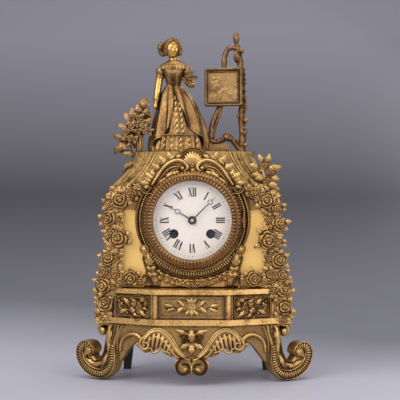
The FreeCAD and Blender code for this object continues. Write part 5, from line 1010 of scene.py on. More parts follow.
@dataclass(frozen=True)
class Gilding:
    """Fire-gilt bronze: bright on the high points, brown in the hollows, the brown partly patina and partly
    painted shade.
    """

    name: str
    grain: Grain = Grain.CAST
    # bright and warm are the gilt's own colours; deep is the brown of the hollows, patina together with
    # painted shade
    bright: Colour = (0.60, 0.38, 0.14, 1.0)
    warm: Colour = (0.30, 0.162, 0.055, 1.0)
    deep: Colour = (0.052, 0.025, 0.011, 1.0)
    polish: float = 0.33
    dull: float = 0.60
    # reach: how far the occlusion test looks for that patina and painted shade
    reach: float = 0.0042
    wear: float = 0.5
    metal: float = 0.68
    gleam: float = 1.0

    def pattern(self, board: Board, where: Wire) -> Wire | None:
        """Gives the height of the small pattern, between 0 and 1.

        Args:
            board: The material's board.
            where: The place on the object.

        Returns:
            The height, or None for a plain casting.
        """
        x, y, z = board.split(where)
        if self.grain is Grain.STIPPLE:
            cell = board.add("ShaderNodeTexVoronoi", {"feature": "F1"}, {"Vector": where, "Scale": 900.0})
            return (1.0 - cell * 1.4).within()
        if self.grain is Grain.HATCH:
            run = x.top(x * -1.0) + y * 0.5
            one = ((run + z) * 3300.0).sine()
            two = ((run - z) * 3300.0).sine()
            return (one.top(two) * 0.5 + 0.5).within()
        if self.grain is Grain.SATIN:
            return board.cloud(700.0, 2.0, 0.5)
        if self.grain is Grain.CLOTH:
            fine = board.cloud(1500.0, 2.0, 0.6)
            return fine * 0.6 + board.cloud(160.0, 3.0) * 0.4
        if self.grain is Grain.LACE:
            cell = board.add("ShaderNodeTexVoronoi", {"feature": "SMOOTH_F1"},
                             {"Vector": where, "Scale": 330.0})
            return (1.0 - cell * 1.25).within()
        if self.grain is Grain.BARK:
            long_way = board.add("ShaderNodeMapping", {}, {"Vector": where, "Scale": (1.0, 1.0, 0.25)})
            return board.cloud(420.0, 4.0, 0.65, long_way)
        return None

    def build(self) -> bpy.types.Material:
        """Makes the material.

        Returns:
            The material.
        """
        board = Board(self.name)
        where = board.place()
        # Ambient occlusion darkens the colour in hollows and between parts: partly the patina held there,
        # partly painted shade
        hollow_shade_ao = board.add("ShaderNodeAmbientOcclusion", {"samples": 6}, {"Distance": self.reach},
                           output="AO")
        patches = board.cloud(75.0, 4.0)
        specks = board.cloud(430.0, 4.0, 0.7)
        grit = board.cloud(1150.0, 2.0, 0.6)
        unshaded_and_worn = (hollow_shade_ao * 1.35 - 0.52 + (patches - 0.5) * self.wear * 1.8
                 + (specks - 0.5) * self.wear * 1.9).within()
        pattern = self.pattern(board, where)
        # The small pattern's low points are darkened too: painted shade in its grooves
        if pattern is not None and self.grain is not Grain.SATIN:
            unshaded_and_worn = (unshaded_and_worn * (0.58 + pattern * 0.6)).within()
        # Colour runs from the deep brown of the hollows to bright gilt on exposed places: real wear and patina
        # mixed with painted shade
        tint = board.blend((unshaded_and_worn * 1.9 - 0.75).within(), self.warm, self.bright)
        colour = board.blend((unshaded_and_worn * 2.1).within(), self.deep, tint)
        rough = (self.dull + (grit - 0.5) * 0.25 - unshaded_and_worn * (self.dull - self.polish)).within()
        metal = (self.metal + unshaded_and_worn * ((1.0 - self.metal) * self.gleam)).within()
        normal = board.bump(specks * 0.6 + patches * 0.4, 0.0008, 0.5 * min(1.0, self.wear * 2.0))
        normal = board.bump(grit, 0.00035, 0.5 * min(1.0, self.wear * 2.0), normal)
        if pattern is not None:
            strength = 0.25 if self.grain is Grain.SATIN else 0.95
            normal = board.bump(pattern, 0.0005, strength, normal)
        return board.finish({"Base Color": colour, "Metallic": metal, "Roughness": rough, "Normal": normal})


@dataclass(frozen=True)
class Turned:
    """A plain turned or sawn metal of the movement, with fine turning marks."""

    name: str
    colour: Colour
    dark: Colour
    rough: float = 0.35
    marks: float = 2600.0

    def build(self) -> bpy.types.Material:
        """Makes the material.

        Returns:
            The material.
        """
        board = Board(self.name)
        where = board.place()
        x, _, z = board.split(where)
        rise = z - DIAL_HEIGHT * MM
        reach = (x * x + rise * rise) ** 0.5
        rings = (reach * self.marks).sine() * 0.5 + 0.5
        stain = board.cloud(60.0, 4.0)
        colour = board.blend((stain * 1.6 - 0.35).within(), self.dark, self.colour)
        rough = (self.rough + (stain - 0.5) * 0.25 + rings * 0.05).within()
        normal = board.bump(rings * 0.5 + board.cloud(900.0) * 0.5, 0.00008, 0.35)
        return board.finish({"Base Color": colour, "Metallic": 1.0, "Roughness": rough, "Normal": normal})


@dataclass(frozen=True)
class Enamel:
    """White fired enamel, a little warm, with faint clouds and fine specks."""

    name: str = "enamel_white"
    colour: Colour = (0.76, 0.68, 0.59, 1.0)
    cloudy: Colour = (0.92, 0.82, 0.72, 1.0)

    def build(self) -> bpy.types.Material:
        """Makes the material.

        Returns:
            The material.
        """
        board = Board(self.name)
        specks = board.add("ShaderNodeTexNoise", {},
                           {"Vector": board.place(), "Scale": 1400.0, "Detail": 2.0})
        clouds = board.cloud(45.0, 3.0)
        colour = board.blend((clouds * 0.8 + specks * 0.4 - 0.2).within(), self.cloudy, self.colour)
        rough = (0.16 + (clouds - 0.5) * 0.1).within()
        normal = board.bump(clouds, 0.0002, 0.2)
        return board.finish({"Base Color": colour, "Roughness": rough, "Normal": normal})


@dataclass(frozen=True)
class Ink:
    """Black fired paint of the numerals, or blued and blackened steel."""

    name: str
    colour: Colour = (0.012, 0.012, 0.014, 1.0)
    metallic: float = 0.0
    rough: float = 0.4

    def build(self) -> bpy.types.Material:
        """Makes the material.

        Returns:
            The material.
        """
        board = Board(self.name)
        clouds = board.cloud(380.0, 3.0)
        lighter = tuple(min(1.0, c * 2.2 + 0.008) for c in self.colour[:3]) + (1.0,)
        colour = board.blend((clouds * 1.4 - 0.4).within(), self.colour, lighter)
        rough = (self.rough + (clouds - 0.5) * 0.3).within()
        return board.finish({"Base Color": colour, "Metallic": self.metallic, "Roughness": rough,
                             "Normal": board.bump(clouds, 0.00006, 0.4)})


@dataclass(frozen=True)
class Glass:
    """The thin bowed glass over the dial."""

    name: str = "dial_glass_clear"

    def build(self) -> bpy.types.Material:
        """Makes the material.

        Returns:
            The material.
        """
        board = Board(self.name)
        clear = board.add("ShaderNodeBsdfTransparent", {}, {"Color": (1.0, 1.0, 1.0, 1.0)})
        gloss = board.add("ShaderNodeBsdfGlossy", {}, {"Color": (1.0, 1.0, 1.0, 1.0), "Roughness": 0.03})
        edge = board.add("ShaderNodeFresnel", {}, {"IOR": 1.35})
        smear = board.cloud(30.0, 2.0)
        share = (edge * (0.25 + smear * 0.4)).within()
        mixed = board.add("ShaderNodeMixShader", {}, {0: share, 1: clear, 2: gloss})
        board.add("ShaderNodeOutputMaterial", {}, {"Surface": mixed})
        return board.material


@dataclass
class Finishes:
    """All the finishes of the clock, made once."""

    made: dict[str, bpy.types.Material] = field(default_factory=dict)

    def build(self) -> None:
        """Makes every material."""
        dark_bronze = {"bright": (0.31, 0.158, 0.055, 1.0), "warm": (0.15, 0.078, 0.032, 1.0),
                       "deep": (0.022, 0.011, 0.006, 1.0)}
        kinds = [
            Gilding("gilt_cast"),
            Gilding("gilt_stipple", Grain.STIPPLE, bright=(0.60, 0.38, 0.135, 1.0)),
            Gilding("gilt_hatch", Grain.HATCH, bright=(0.60, 0.39, 0.145, 1.0), wear=0.62),
            Gilding("gilt_ground", Grain.HATCH, bright=(0.42, 0.255, 0.095, 1.0),
                    warm=(0.22, 0.118, 0.042, 1.0), wear=0.7),
            # The panels' own satin gold, lifted to full brightness and made mostly diffuse as painted sheen
            Gilding("gilt_satin_painted_sheen", Grain.SATIN, bright=(1.0, 0.66, 0.215, 1.0), warm=(0.93, 0.56, 0.16, 1.0),
                    polish=0.40, wear=0.1, reach=0.002, metal=0.35, gleam=0.5),
            Gilding("gilt_ledge", Grain.SATIN, bright=(0.76, 0.46, 0.165, 1.0), warm=(0.38, 0.20, 0.065, 1.0),
                    polish=0.36, wear=0.85, reach=0.003),
            Gilding("gilt_rose", Grain.CAST, bright=(0.50, 0.305, 0.112, 1.0), warm=(0.27, 0.148, 0.05, 1.0),
                    deep=(0.05, 0.024, 0.01, 1.0), reach=0.0034, wear=0.5, metal=0.6),
            Gilding("gilt_cloth", Grain.CLOTH, bright=(0.36, 0.208, 0.079, 1.0),
                    warm=(0.17, 0.088, 0.032, 1.0), polish=0.22, dull=0.48, wear=0.6, reach=0.006,
                    metal=0.88),
            Gilding("gilt_lace", Grain.LACE, bright=(0.42, 0.252, 0.097, 1.0), warm=(0.22, 0.118, 0.04, 1.0)),
            Gilding("gilt_skin", Grain.SATIN, bright=(0.66, 0.385, 0.112, 1.0),
                    warm=(0.36, 0.185, 0.048, 1.0), polish=0.22, dull=0.42, wear=0.34, reach=0.005,
                    metal=0.92),
            Gilding("gilt_hair", Grain.BARK, bright=(0.32, 0.175, 0.06, 1.0), warm=(0.16, 0.08, 0.028, 1.0),
                    reach=0.003, wear=0.35),
            Gilding("gilt_shrub", bright=(0.33, 0.195, 0.076, 1.0), warm=(0.16, 0.085, 0.034, 1.0),
                    wear=0.65),
            Gilding("gilt_picture", bright=(0.28, 0.168, 0.069, 1.0), warm=(0.13, 0.068, 0.027, 1.0),
                    reach=0.003, wear=0.75),
            Gilding("gilt_bark", Grain.BARK, bright=(0.29, 0.155, 0.065, 1.0), warm=(0.13, 0.066, 0.028, 1.0),
                    wear=0.8),
            Gilding("bezel_dark", Grain.CAST, polish=0.32, reach=0.0024, wear=0.5, **dark_bronze),
            Turned("steel_plain", (0.56, 0.56, 0.57, 1.0), (0.30, 0.29, 0.28, 1.0), 0.3),
            Turned("movement_brass", (0.74, 0.55, 0.24, 1.0), (0.50, 0.33, 0.12, 1.0), 0.32),
            Turned("bell_metal", (0.66, 0.56, 0.40, 1.0), (0.42, 0.33, 0.2, 1.0), 0.28, 1800.0),
            Ink("dark_iron", (0.02, 0.018, 0.016, 1.0), 0.7, 0.5),
            Ink("dark_steel", (0.010, 0.010, 0.012, 1.0), 0.3, 0.42),
            Ink("numeral_black"),
            Enamel(),
            Glass(),
        ]
        for kind in kinds:
            self.made[kind.name] = kind.build()
            log.info("finish %s", kind.name)

    def __getitem__(self, name: str) -> bpy.types.Material:
        """Gives a finish by its name."""
        return self.made[name]


SLOT_FINISH = {"gilt_bronze": "gilt_cast", "gilt_panel": "gilt_satin_painted_sheen", "bezel_bronze": "bezel_dark",
               "enamel": "enamel_white", "glass": "dial_glass_clear", "steel": "steel_plain",
               "dark_steel": "dark_steel", "movement_brass": "movement_brass", "bell_metal": "bell_metal",
               "dark_iron": "dark_iron"}
# The winding arbors take dark steel as painted shade down the winding holes
NODE_FINISH = {"terrace": "gilt_hatch", "facade": "gilt_stipple", "apron": "gilt_ground",
               "rear_feet": "dark_iron", "plinth": "gilt_ledge", "plinth_plaques": "gilt_ground",
               "paint_box": "gilt_bark", "going_winding_arbor": "dark_steel",
               "strike_winding_arbor": "dark_steel"}


def dress_packed_parts(frame: dict[str, Any], finishes: Finishes) -> None:
    """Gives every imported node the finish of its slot, or one of its own.

    Args:
        frame: The loaded frame.
        finishes: The finishes to choose from.
    """
    for row in frame["record"]["subparts"]:
        node = row["node"]
        finish = NODE_FINISH.get(node) or SLOT_FINISH[row["material_slot"]]
        piece = frame["nodes"][node]
        piece.data.materials.clear()
        piece.data.materials.append(finishes[finish])


# Studio


@dataclass
class Studio:
    """The pale floor, the grey backdrop, the soft lamps and the camera."""

    distance: float = 1100.0
    turn: float = 2.6
    target: tuple[float, float, float] = (8.0, -45.0, 192.0)
    frame_width: float = 419.0
    floor_half: float = 2600.0
    wall_from: float = 520.0
    bend: float = 1000.0
    lamp_aim: float = 190.0
    picture_share: float = 2.74
    # The backdrop's colour bands stand in for the studio light's falloff: painted light and painted shade
    near: Colour = (0.47, 0.466, 0.525, 1.0)
    far: Colour = (0.205, 0.203, 0.23, 1.0)
    band: Colour = (0.074, 0.0725, 0.083, 1.0)
    above: Colour = (0.272, 0.267, 0.312, 1.0)
    lamps: tuple[tuple[str, tuple[float, float, float], float, float], ...] = (
        ("key_lamp", (-0.95, -1.15, 1.0), 1.0, 15.0), ("fill_lamp", (1.15, -1.0, 0.55), 0.9, 8.2),
        ("top_lamp", (0.1, -0.3, 1.5), 1.0, 9.0), ("front_lamp", (0.15, -1.7, 0.5), 1.4, 6.0),
        ("rear_lamp", (0.7, 1.0, 0.9), 0.6, 3.0))

    def camera(self) -> None:
        """Sets the camera at the photograph's angle."""
        data = bpy.data.cameras.new("camera")
        data.sensor_width = 36.0
        data.lens = 36.0 * self.distance / self.frame_width
        data.clip_start = 0.05
        data.clip_end = 20.0
        spot = bpy.data.objects.new("camera", data)
        lean = math.radians(self.turn)
        spot.location = (Vector(self.target) + Vector((math.sin(lean), -math.cos(lean), 0.0))
                         * self.distance) * MM
        spot.rotation_euler = (math.radians(90.0), 0.0, lean)
        bpy.context.scene.collection.objects.link(spot)
        bpy.context.scene.camera = spot

    def floor_finish(self) -> bpy.types.Material:
        """Makes the floor and backdrop with their light falloff painted into the colour: a pale floor in
        front, a painted band of shade behind the clock and a painted lighter wall above it.

        Returns:
            The material.
        """
        board = Board("studio_floor")
        x, y, z = board.split(board.place())
        eye_height = self.target[2] * MM
        eye_away = (self.distance - self.target[1]) * MM
        uneven = (board.cloud(1.4, 1.0) - 0.5) * 0.06
        run = (z - eye_height) / (y + eye_away).top(0.2) * self.picture_share + 0.5 + uneven
        # Painted light falloff: pale near the front, darker farther back, a painted shade band, then a lighter
        # wall
        low = board.blend(((run - 0.064) * 8.5 + x * 1.5).within(), self.near, self.far)
        band = board.blend(((run - 0.17) * 3.0).within(), low, self.band)
        tint = board.blend(((run - 0.52) * 2.4).within(), band, self.above)
        rough = (0.30 + board.cloud(6.0) * 0.1).within()
        return board.finish({"Base Color": tint, "Roughness": rough})

    def floor(self) -> None:
        """Lays the floor and its rising backdrop as one sheet."""
        half, rows = self.floor_half, []
        depths = [(-half, 0.0), (0.0, 0.0), (self.wall_from, 0.0)]
        for k in range(1, 13):
            turn = math.radians(90.0 * k / 12)
            depths.append((self.wall_from + self.bend * math.sin(turn), self.bend * (1 - math.cos(turn))))
        depths.append((self.wall_from + self.bend, half))
        for y, z in depths:
            rows.append([Vector((x, y, z)) * MM for x in (-half, 0.0, half)])
        faces = [(r * 3 + c, r * 3 + c + 1, r * 3 + c + 4, r * 3 + c + 3) for r in range(len(rows) - 1)
                 for c in range(2)]
        mesh = bpy.data.meshes.new("floor")
        mesh.from_pydata([p for row in rows for p in row], [], faces)
        mesh.shade_smooth()
        mesh.materials.append(self.floor_finish())
        sheet = bpy.data.objects.new("floor", mesh)
        bpy.context.scene.collection.objects.link(sheet)

    def lamp(self, name: str, place: Sequence[float], size: float, power: float) -> None:
        """Hangs a soft lamp that looks at the clock's middle.

        Args:
            name: The lamp's name.
            place: Where it hangs, in metres.
            size: Its width, in metres.
            power: Its power, in watts.
        """
        data = bpy.data.lights.new(name, "AREA")
        data.shape = "SQUARE"
        data.size = size
        data.energy = power
        lamp = bpy.data.objects.new(name, data)
        lamp.location = place
        lamp.visible_camera = False
        lamp.rotation_euler = (Vector(place) - UP * self.lamp_aim * MM).to_track_quat("Z", "Y").to_euler()
        bpy.context.scene.collection.objects.link(lamp)

    def world(self) -> None:
        """Gives the room a soft grey light, brighter from above."""
        world = bpy.data.worlds.new("room")
        world.use_nodes = True
        bpy.context.scene.world = world
        tree = world.node_tree
        tree.nodes.clear()
        coord = tree.nodes.new("ShaderNodeTexCoord")
        parts = tree.nodes.new("ShaderNodeSeparateXYZ")
        ramp = tree.nodes.new("ShaderNodeValToRGB")
        ramp.color_ramp.elements[0].position = 0.42
        ramp.color_ramp.elements[0].color = (0.16, 0.155, 0.17, 1.0)
        ramp.color_ramp.elements[1].position = 0.95
        ramp.color_ramp.elements[1].color = (0.62, 0.62, 0.66, 1.0)
        half = tree.nodes.new("ShaderNodeMath")
        half.operation = "MULTIPLY_ADD"
        half.inputs[1].default_value = 0.5
        half.inputs[2].default_value = 0.5
        light = tree.nodes.new("ShaderNodeBackground")
        end = tree.nodes.new("ShaderNodeOutputWorld")
        tree.links.new(coord.outputs["Generated"], parts.inputs[0])
        tree.links.new(parts.outputs[2], half.inputs[0])
        tree.links.new(half.outputs[0], ramp.inputs[0])
        tree.links.new(ramp.outputs[0], light.inputs[0])
        tree.links.new(light.outputs[0], end.inputs[0])

    def build(self) -> None:
        """Sets up the whole studio."""
        self.camera()
        self.floor()
        self.world()
        for name, place, size, power in self.lamps:
            self.lamp(name, place, size, power)
        bpy.context.scene.view_settings.view_transform = "Standard"
        log.info("studio ready")


# Dial side


@dataclass
class DialSide:
    """Numerals, minute ring, the bezel's cut leaf rings and the pearl rows beside it."""

    face: float = -46.4
    low: float = 24.9
    high: float = 33.9
    thick_bar: float = 1.5
    thin_bar: float = 0.5
    dots: float = 37.9
    # Each ring of the bezel has its radius and its depth, and a winding hole its place from the middle.
    outer_leaves: Flat = (49.0, -56.2)
    inner_leaves: Flat = (43.9, -57.1)
    berries: Flat = (45.6, -57.6)
    lip_beads: Flat = (42.0, -55.8)
    crown_cord: Flat = (46.8, -57.7)
    winding_hole: Flat = (19.3, -14.3)
    pearls: float = 55.2

    def bar(self, shape: Shape, hour: int, foot: float, head: float, width: float) -> None:
        """Lays one bar of a numeral from its foot to its head, both measured across the numeral.

        Args:
            shape: The piece that gets it.
            hour: The numeral's hour.
            foot: The place of its foot.
            head: The place of its head.
            width: Its width.
        """
        turn = math.radians(30.0 * hour)
        out = Vector((math.sin(turn), math.cos(turn)))
        side = Vector((math.cos(turn), -math.sin(turn)))
        ring = []
        for across, reach in ((foot - width / 2, self.low), (foot + width / 2, self.low),
                              (head + width / 2, self.high), (head - width / 2, self.high)):
            ring.append(side * across + out * reach)
        shape.plate(self.wall(), ring, 0.12, 0.1)

    def wall(self) -> Wall:
        """Gives the dial's face, measured from its middle."""
        return Wall(Vector((0.0, self.face, DIAL_HEIGHT)), Vector((1.0, 0.0, 0.0)), FRONT)

    def serifs(self, shape: Shape, hour: int, middle: float, half: float, ends: tuple[float, float]) -> None:
        """Lays the thin cross strokes at both ends of a bar.

        Args:
            shape: The piece that gets it.
            hour: The numeral's hour.
            middle: The bar's middle.
            half: Half the length of a stroke.
            ends: How far the inner and the outer stroke are shifted.
        """
        turn = math.radians(30.0 * hour)
        out = Vector((math.sin(turn), math.cos(turn)))
        side = Vector((math.cos(turn), -math.sin(turn)))
        for reach, shift in zip((self.low, self.high), ends):
            ring = [side * (middle + shift + a) + out * (reach + b)
                    for a, b in ((-half, -0.16), (half, -0.16), (half, 0.16), (-half, 0.16))]
            shape.plate(self.wall(), ring, 0.12, 0.1)

    def numerals(self, finish: bpy.types.Material) -> None:
        """Lays the twelve Roman numerals, with four strokes for the four.

        Args:
            finish: Its finish.
        """
        shape = Shape("dial_numerals")
        words = ("I", "II", "III", "IIII", "V", "VI", "VII", "VIII", "IX", "X", "XI", "XII")
        widths = {"I": 2.15, "V": 4.3, "X": 4.4}
        for hour, word in enumerate(words, 1):
            across = -sum(widths[c] for c in word) / 2
            for letter in word:
                middle = across + widths[letter] / 2
                if letter == "I":
                    self.bar(shape, hour, middle, middle, self.thick_bar)
                    self.serifs(shape, hour, middle, 0.95, (0.0, 0.0))
                elif letter == "V":
                    self.bar(shape, hour, middle, middle - 1.45, self.thick_bar)
                    self.bar(shape, hour, middle, middle + 1.45, self.thin_bar)
                    self.serifs(shape, hour, middle, 0.9, (0.0, -1.45))
                    self.serifs(shape, hour, middle, 0.7, (0.0, 1.45))
                else:
                    self.bar(shape, hour, middle + 1.45, middle - 1.45, self.thick_bar)
                    self.bar(shape, hour, middle - 1.45, middle + 1.45, self.thin_bar)
                    self.serifs(shape, hour, middle, 0.85, (1.45, -1.45))
                    self.serifs(shape, hour, middle, 0.65, (-1.45, 1.45))
                across += widths[letter]
        shape.place(finish, slot="enamel")

    def circle(self, radius: float, depth: float, first: float = 0.0, last: float = 360.0,
               steps: int = 96) -> list[Vector]:
        """Gives points on a ring about the dial's middle, by clock angles in degrees.

        Args:
            radius: The ring's radius.
            depth: The ring's place along Y.
            first: The angle of the first point.
            last: The angle of the last point.
            steps: Stretches between them.

        Returns:
            The points.
        """
        line = []
        whole = abs(last - first) >= 360.0
        for k in range(steps if whole else steps + 1):
            turn = math.radians(first + (last - first) * k / steps)
            line.append(Vector((radius * math.sin(turn), depth, DIAL_HEIGHT + radius * math.cos(turn))))
        return line

    def minute_ring(self, row: Row, finish: bpy.types.Material) -> None:
        """Lays the sixty minute dots and the twelve larger ones.

        Args:
            row: The tool that sets small shapes along lines.
            finish: Its finish.
        """
        dot = Shape("dot")
        dot.lathe(Vector(), UP, ((0.42, -0.02), (0.42, 0.07), (0.01, 0.09)), 10)
        row.run("dial_minute_dots", [self.circle(self.dots, self.face)], dot, 60, finish, size=0.8,
                slot="enamel", closed=True)
        row.run("dial_hour_dots", [self.circle(self.dots, self.face)], dot, 12, finish, size=1.35,
                slot="enamel", closed=True)

    def bezel(self, row: Row, finish: bpy.types.Material) -> None:
        """Covers the glass bezel with two rings of cut leaves, their berries, a beaded lip and a cord.

        Args:
            row: The tool that sets small shapes along lines.
            finish: Its finish.
        """
        outer, inner, berry, bead, cord = (
            Shape(name) for name in ("outer_leaf", "inner_leaf", "berry", "bead", "cord_turn"))
        outer.leaf(Vector((0, -2.4, 0.3)), Vector((0, 2.7, -3.4)), Vector((0, 0.6, 1)), 1.45, 0.12, 2, 0.1,
                   0.5, 9, 7)
        inner.leaf(Vector((0, -1.9, 0.3)), Vector((0, 2.2, 0.7)), Vector((0, -0.2, 1)), 1.3, 0.13, 2, 0.1,
                   0.5, 9, 7)
        berry.blob(Vector((0, 0, 0.1)), (0.5, 0.5, 0.5), 5, 8)
        bead.blob(Vector((0, 0, 0.1)), (0.6, 0.6, 0.6), 5, 8)
        cord.blob(Vector((0, 0, 0.1)), (0.55, 0.85, 0.6), 5, 8)
        for name, line, piece, count in (
                ("bezel_outer_leaves", self.circle(*self.outer_leaves), outer, 88),
                ("bezel_inner_leaves", self.circle(*self.inner_leaves), inner, 80),
                ("bezel_berries", self.circle(*self.berries, 2.25, 362.25), berry, 80),
                ("bezel_lip_beads", self.circle(*self.lip_beads), bead, 120),
                ("bezel_crown_cord", self.circle(*self.crown_cord), cord, 180)):
            row.run(name, [line], piece, count, finish, body="glass_door", slot="bezel_bronze", closed=True)

    def line_winding_holes_with_shade(self, finish: bpy.types.Material) -> None:
        """Lines both winding holes with dark collars at the dial, and dark sleeves behind them that are
        painted shade inside the holes.

        Args:
            finish: Its finish.
        """
        shape = Shape("winding_collars")
        for side in (-1, 1):
            rings = []
            # The sleeve from the dial back to -38 is dark to stand for the shade inside the hole
            for radius, depth in ((3.9, -46.55), (4.75, -46.75), (4.95, -46.3), (4.95, -38.0), (3.95, -38.0)):
                rings.append([Vector((side * self.winding_hole[0] + radius * math.cos(a), depth,
                                      DIAL_HEIGHT + self.winding_hole[1] + radius * math.sin(a)))
                              for a in (math.tau * c / 32 for c in range(32))])
            shape.loops(rings)
        shape.place(finish, slot="dark_steel")

    def side_frames(self, row: Row, finish: bpy.types.Material) -> None:
        """Lays the pearl rows and the smooth bows that frame the bezel on both sides.

        Args:
            row: The tool that sets small shapes along lines.
            finish: Its finish.
        """
        pearl = Shape("pearl")
        pearl.blob(Vector((0, 0, 0.5)), (1.15, 1.15, 1.15), 7, 12)
        arcs = [self.circle(self.pearls, -44.6, 52.0, 122.0, 40),
                self.circle(self.pearls, -44.6, -52.0, -122.0, 40)]
        row.run("pearl_rows", arcs, pearl, 29, finish)
        shape = Shape("side_bows")
        wall = front_wall(FACADE_FRONT)
        for side in (-1, 1):
            bow = [Vector((side * p.x, p.y)) for p in arc((0.0, DIAL_HEIGHT), 58.6, 42.0, -34.0, 40)]
            shape.stroke(wall, bow, 2.6, 8.6, ROUNDED, 0.55)
            ledge = [Vector((side * p.x, p.y)) for p in arc((0.0, DIAL_HEIGHT), 55.0, 42.0, -36.0, 40)]
            shape.stroke(wall, ledge, 1.9, 7.8, STEPPED, 0.8)
            shape.lathe(wall.at(side * 50.2, 140.2), FRONT, ((5.6, -1.0), (5.6, 7.4), (4.9, 8.8), (3.9, 8.0),
                                                             (3.1, 8.2), (2.1, 9.8), (0.1, 10.3)), 26)
        shape.place(finish)

    def build(self, row: Row, finishes: Finishes) -> None:
        """Makes the whole dial side.

        Args:
            row: The tool that sets small shapes along lines.
            finishes: The finishes to choose from.
        """
        self.numerals(finishes["numeral_black"])
        self.minute_ring(row, finishes["numeral_black"])
        self.bezel(row, finishes["bezel_dark"])
        self.line_winding_holes_with_shade(finishes["dark_steel"])
        self.side_frames(row, finishes["gilt_cast"])


# Base


@dataclass
class FrontFeet:
    """The two big scroll feet with ribbed backs, lying along the plinth's slanted faces."""

    depth: float = 20.0
    ribs: int = 38

    def spine(self) -> list[Vector]:
        """Gives the big scroll's middle line: across along the facet from its inner edge, and the height.

        Returns:
            The points.
        """
        shares = ((46.0, 60.5), (47.5, 52.0), (50.5, 43.0), (53.5, 33.0), (54.0, 22.0), (58.0, 12.5),
                  (66.5, 7.0), (76.8, 7.6), (86.4, 12.0), (93.2, 20.0), (95.2, 29.5), (91.2, 36.0),
                  (84.5, 36.2), (80.5, 31.0), (83.6, 27.0))
        return through(shares, 7)

    def half_width(self, share: float) -> float:
        """Gives half the band's width along the scroll."""
        return 3.1 + 2.6 * hump(share, 0.5, 0.25) + 0.6 * hump(share, 0.8, 0.12)

    def foot(self, side: int, row: Row, finish: bpy.types.Material) -> None:
        """Makes one foot.

        Args:
            side: Minus one for the left, one for the right.
            row: The tool that sets small shapes along lines.
            finish: Its finish.
        """
        name = "right" if side > 0 else "left"
        wall = facet_wall(side)
        shape = Shape(name + "_foot_scroll")
        middle = -self.depth / 2 + 0.6
        line = [wall.at(p.x, p.y, middle) for p in self.spine()]
        box = [(math.copysign(abs(math.cos(a)) ** 0.62, math.cos(a)),
                math.copysign(abs(math.sin(a)) ** 0.5, math.sin(a)))
               for a in (2 * math.pi * k / 20 for k in range(20))]
        half_deep = self.depth / 2 - 0.8
        shape.sweep(line, wall.out, lambda s: self.half_width(s) * (1 + 0.045 * math.sin(s * 300)),
                    lambda s: half_deep * (1.0 - 0.1 * smooth(0.8, 1.0, s)), box)
        channel = through(((50.5, 60.0), (56.0, 51.0), (60.5, 41.0), (63.0, 30.0), (68.5, 20.5), (77.0, 18.5),
                           (82.0, 24.0)), 7)
        shape.sweep([wall.at(p.x, p.y, middle) for p in channel], wall.out,
                    lambda s: 5.2 - 2.2 * s, lambda s: half_deep * 0.8, box)
        top = through(((54.0, 58.5), (61.0, 61.0), (68.0, 60.0), (71.5, 54.5), (68.5, 49.8), (64.5, 52.0)), 6)
        shape.sweep([wall.at(p.x, p.y, middle) for p in top], wall.out, lambda s: 3.4 - 1.0 * s,
                    lambda s: half_deep * 0.9, box)
        for place, radius in (((84.4, 30.6), 4.6), ((66.4, 53.2), 3.4)):
            shape.lathe(wall.at(place[0], place[1], middle), wall.out,
                        ((radius, -half_deep), (radius, half_deep + 0.2), (radius * 0.7, half_deep + 1.2),
                         (radius * 0.1, half_deep + 1.5)), 18)
            shape.stroke(wall, arc(place, radius * 0.62, 0.0, 360.0, 20), 0.5, 0.9, ROUNDED, 0.9)
        rim = self.spine()
        for shift in (-1.0, 1.0):
            edge = []
            for k in range(len(rim)):
                way = (rim[min(k + 1, len(rim) - 1)] - rim[max(k - 1, 0)]).normalized()
                share = k / (len(rim) - 1)
                edge.append(rim[k] + Vector((-way.y, way.x)) * shift * self.half_width(share) * 0.82)
            shape.stroke(wall, edge, 0.85, 1.1, ROUNDED, 0.5, 1.4)
        web = through(((52.5, 56.0), (57.0, 50.0), (61.5, 42.0), (64.0, 31.0), (69.0, 22.5), (77.0, 20.0),
                       (82.5, 24.5), (80.5, 31.0), (84.0, 36.0), (92.0, 35.0), (95.0, 27.0), (90.0, 16.0),
                       (79.0, 9.5), (67.0, 8.5), (58.0, 14.0), (55.0, 24.0), (53.5, 36.0), (51.0, 46.0)), 3,
                      True)
        shape.plate(wall, web, 9.0, -3.4, 0.8)
        for foot, tip in (((58.0, 46.0), (57.5, 24.0)), ((60.5, 30.0), (66.5, 13.5)),
                          ((67.0, 20.0), (82.0, 12.5)), ((74.0, 14.0), (90.5, 22.0)),
                          ((92.0, 21.0), (86.0, 33.0))):
            shape.leaf(wall.at(foot[0], foot[1], -3.2), wall.at(tip[0], tip[1], -2.2), wall.out, 2.8, 0.12, 3,
                       0.05, 0.7)
        inside = through(((53.0, 58.0), (57.5, 49.0), (61.0, 40.0), (63.5, 30.0), (69.0, 21.5), (76.5, 19.5)),
                         7)
        shape.stroke(wall, inside, 1.5, 1.0, RIDGED, 0.4, 2.6)
        shape.leaf(wall.at(56.0, 60.0, -2.0), wall.at(60.0, 33.0, -1.0), wall.out, 4.0, 0.06, 4, 0.05, 0.8)
        shape.place(finish, stands_for=(name + "_front_foot",))
        rib = Shape("rib")
        rib.blob(Vector(), (1.15, 3.7, 1.8), 6, 8)
        lower = [wall.at(p.x, p.y, 0.0) for p in self.spine()[18:88]]
        row.run(name + "_foot_ribs", [lower], rib, self.ribs, finish, out=wall.out)

    def build(self, row: Row, finishes: Finishes) -> None:
        """Makes both feet."""
        for side in (-1, 1):
            self.foot(side, row, finishes["gilt_cast"])


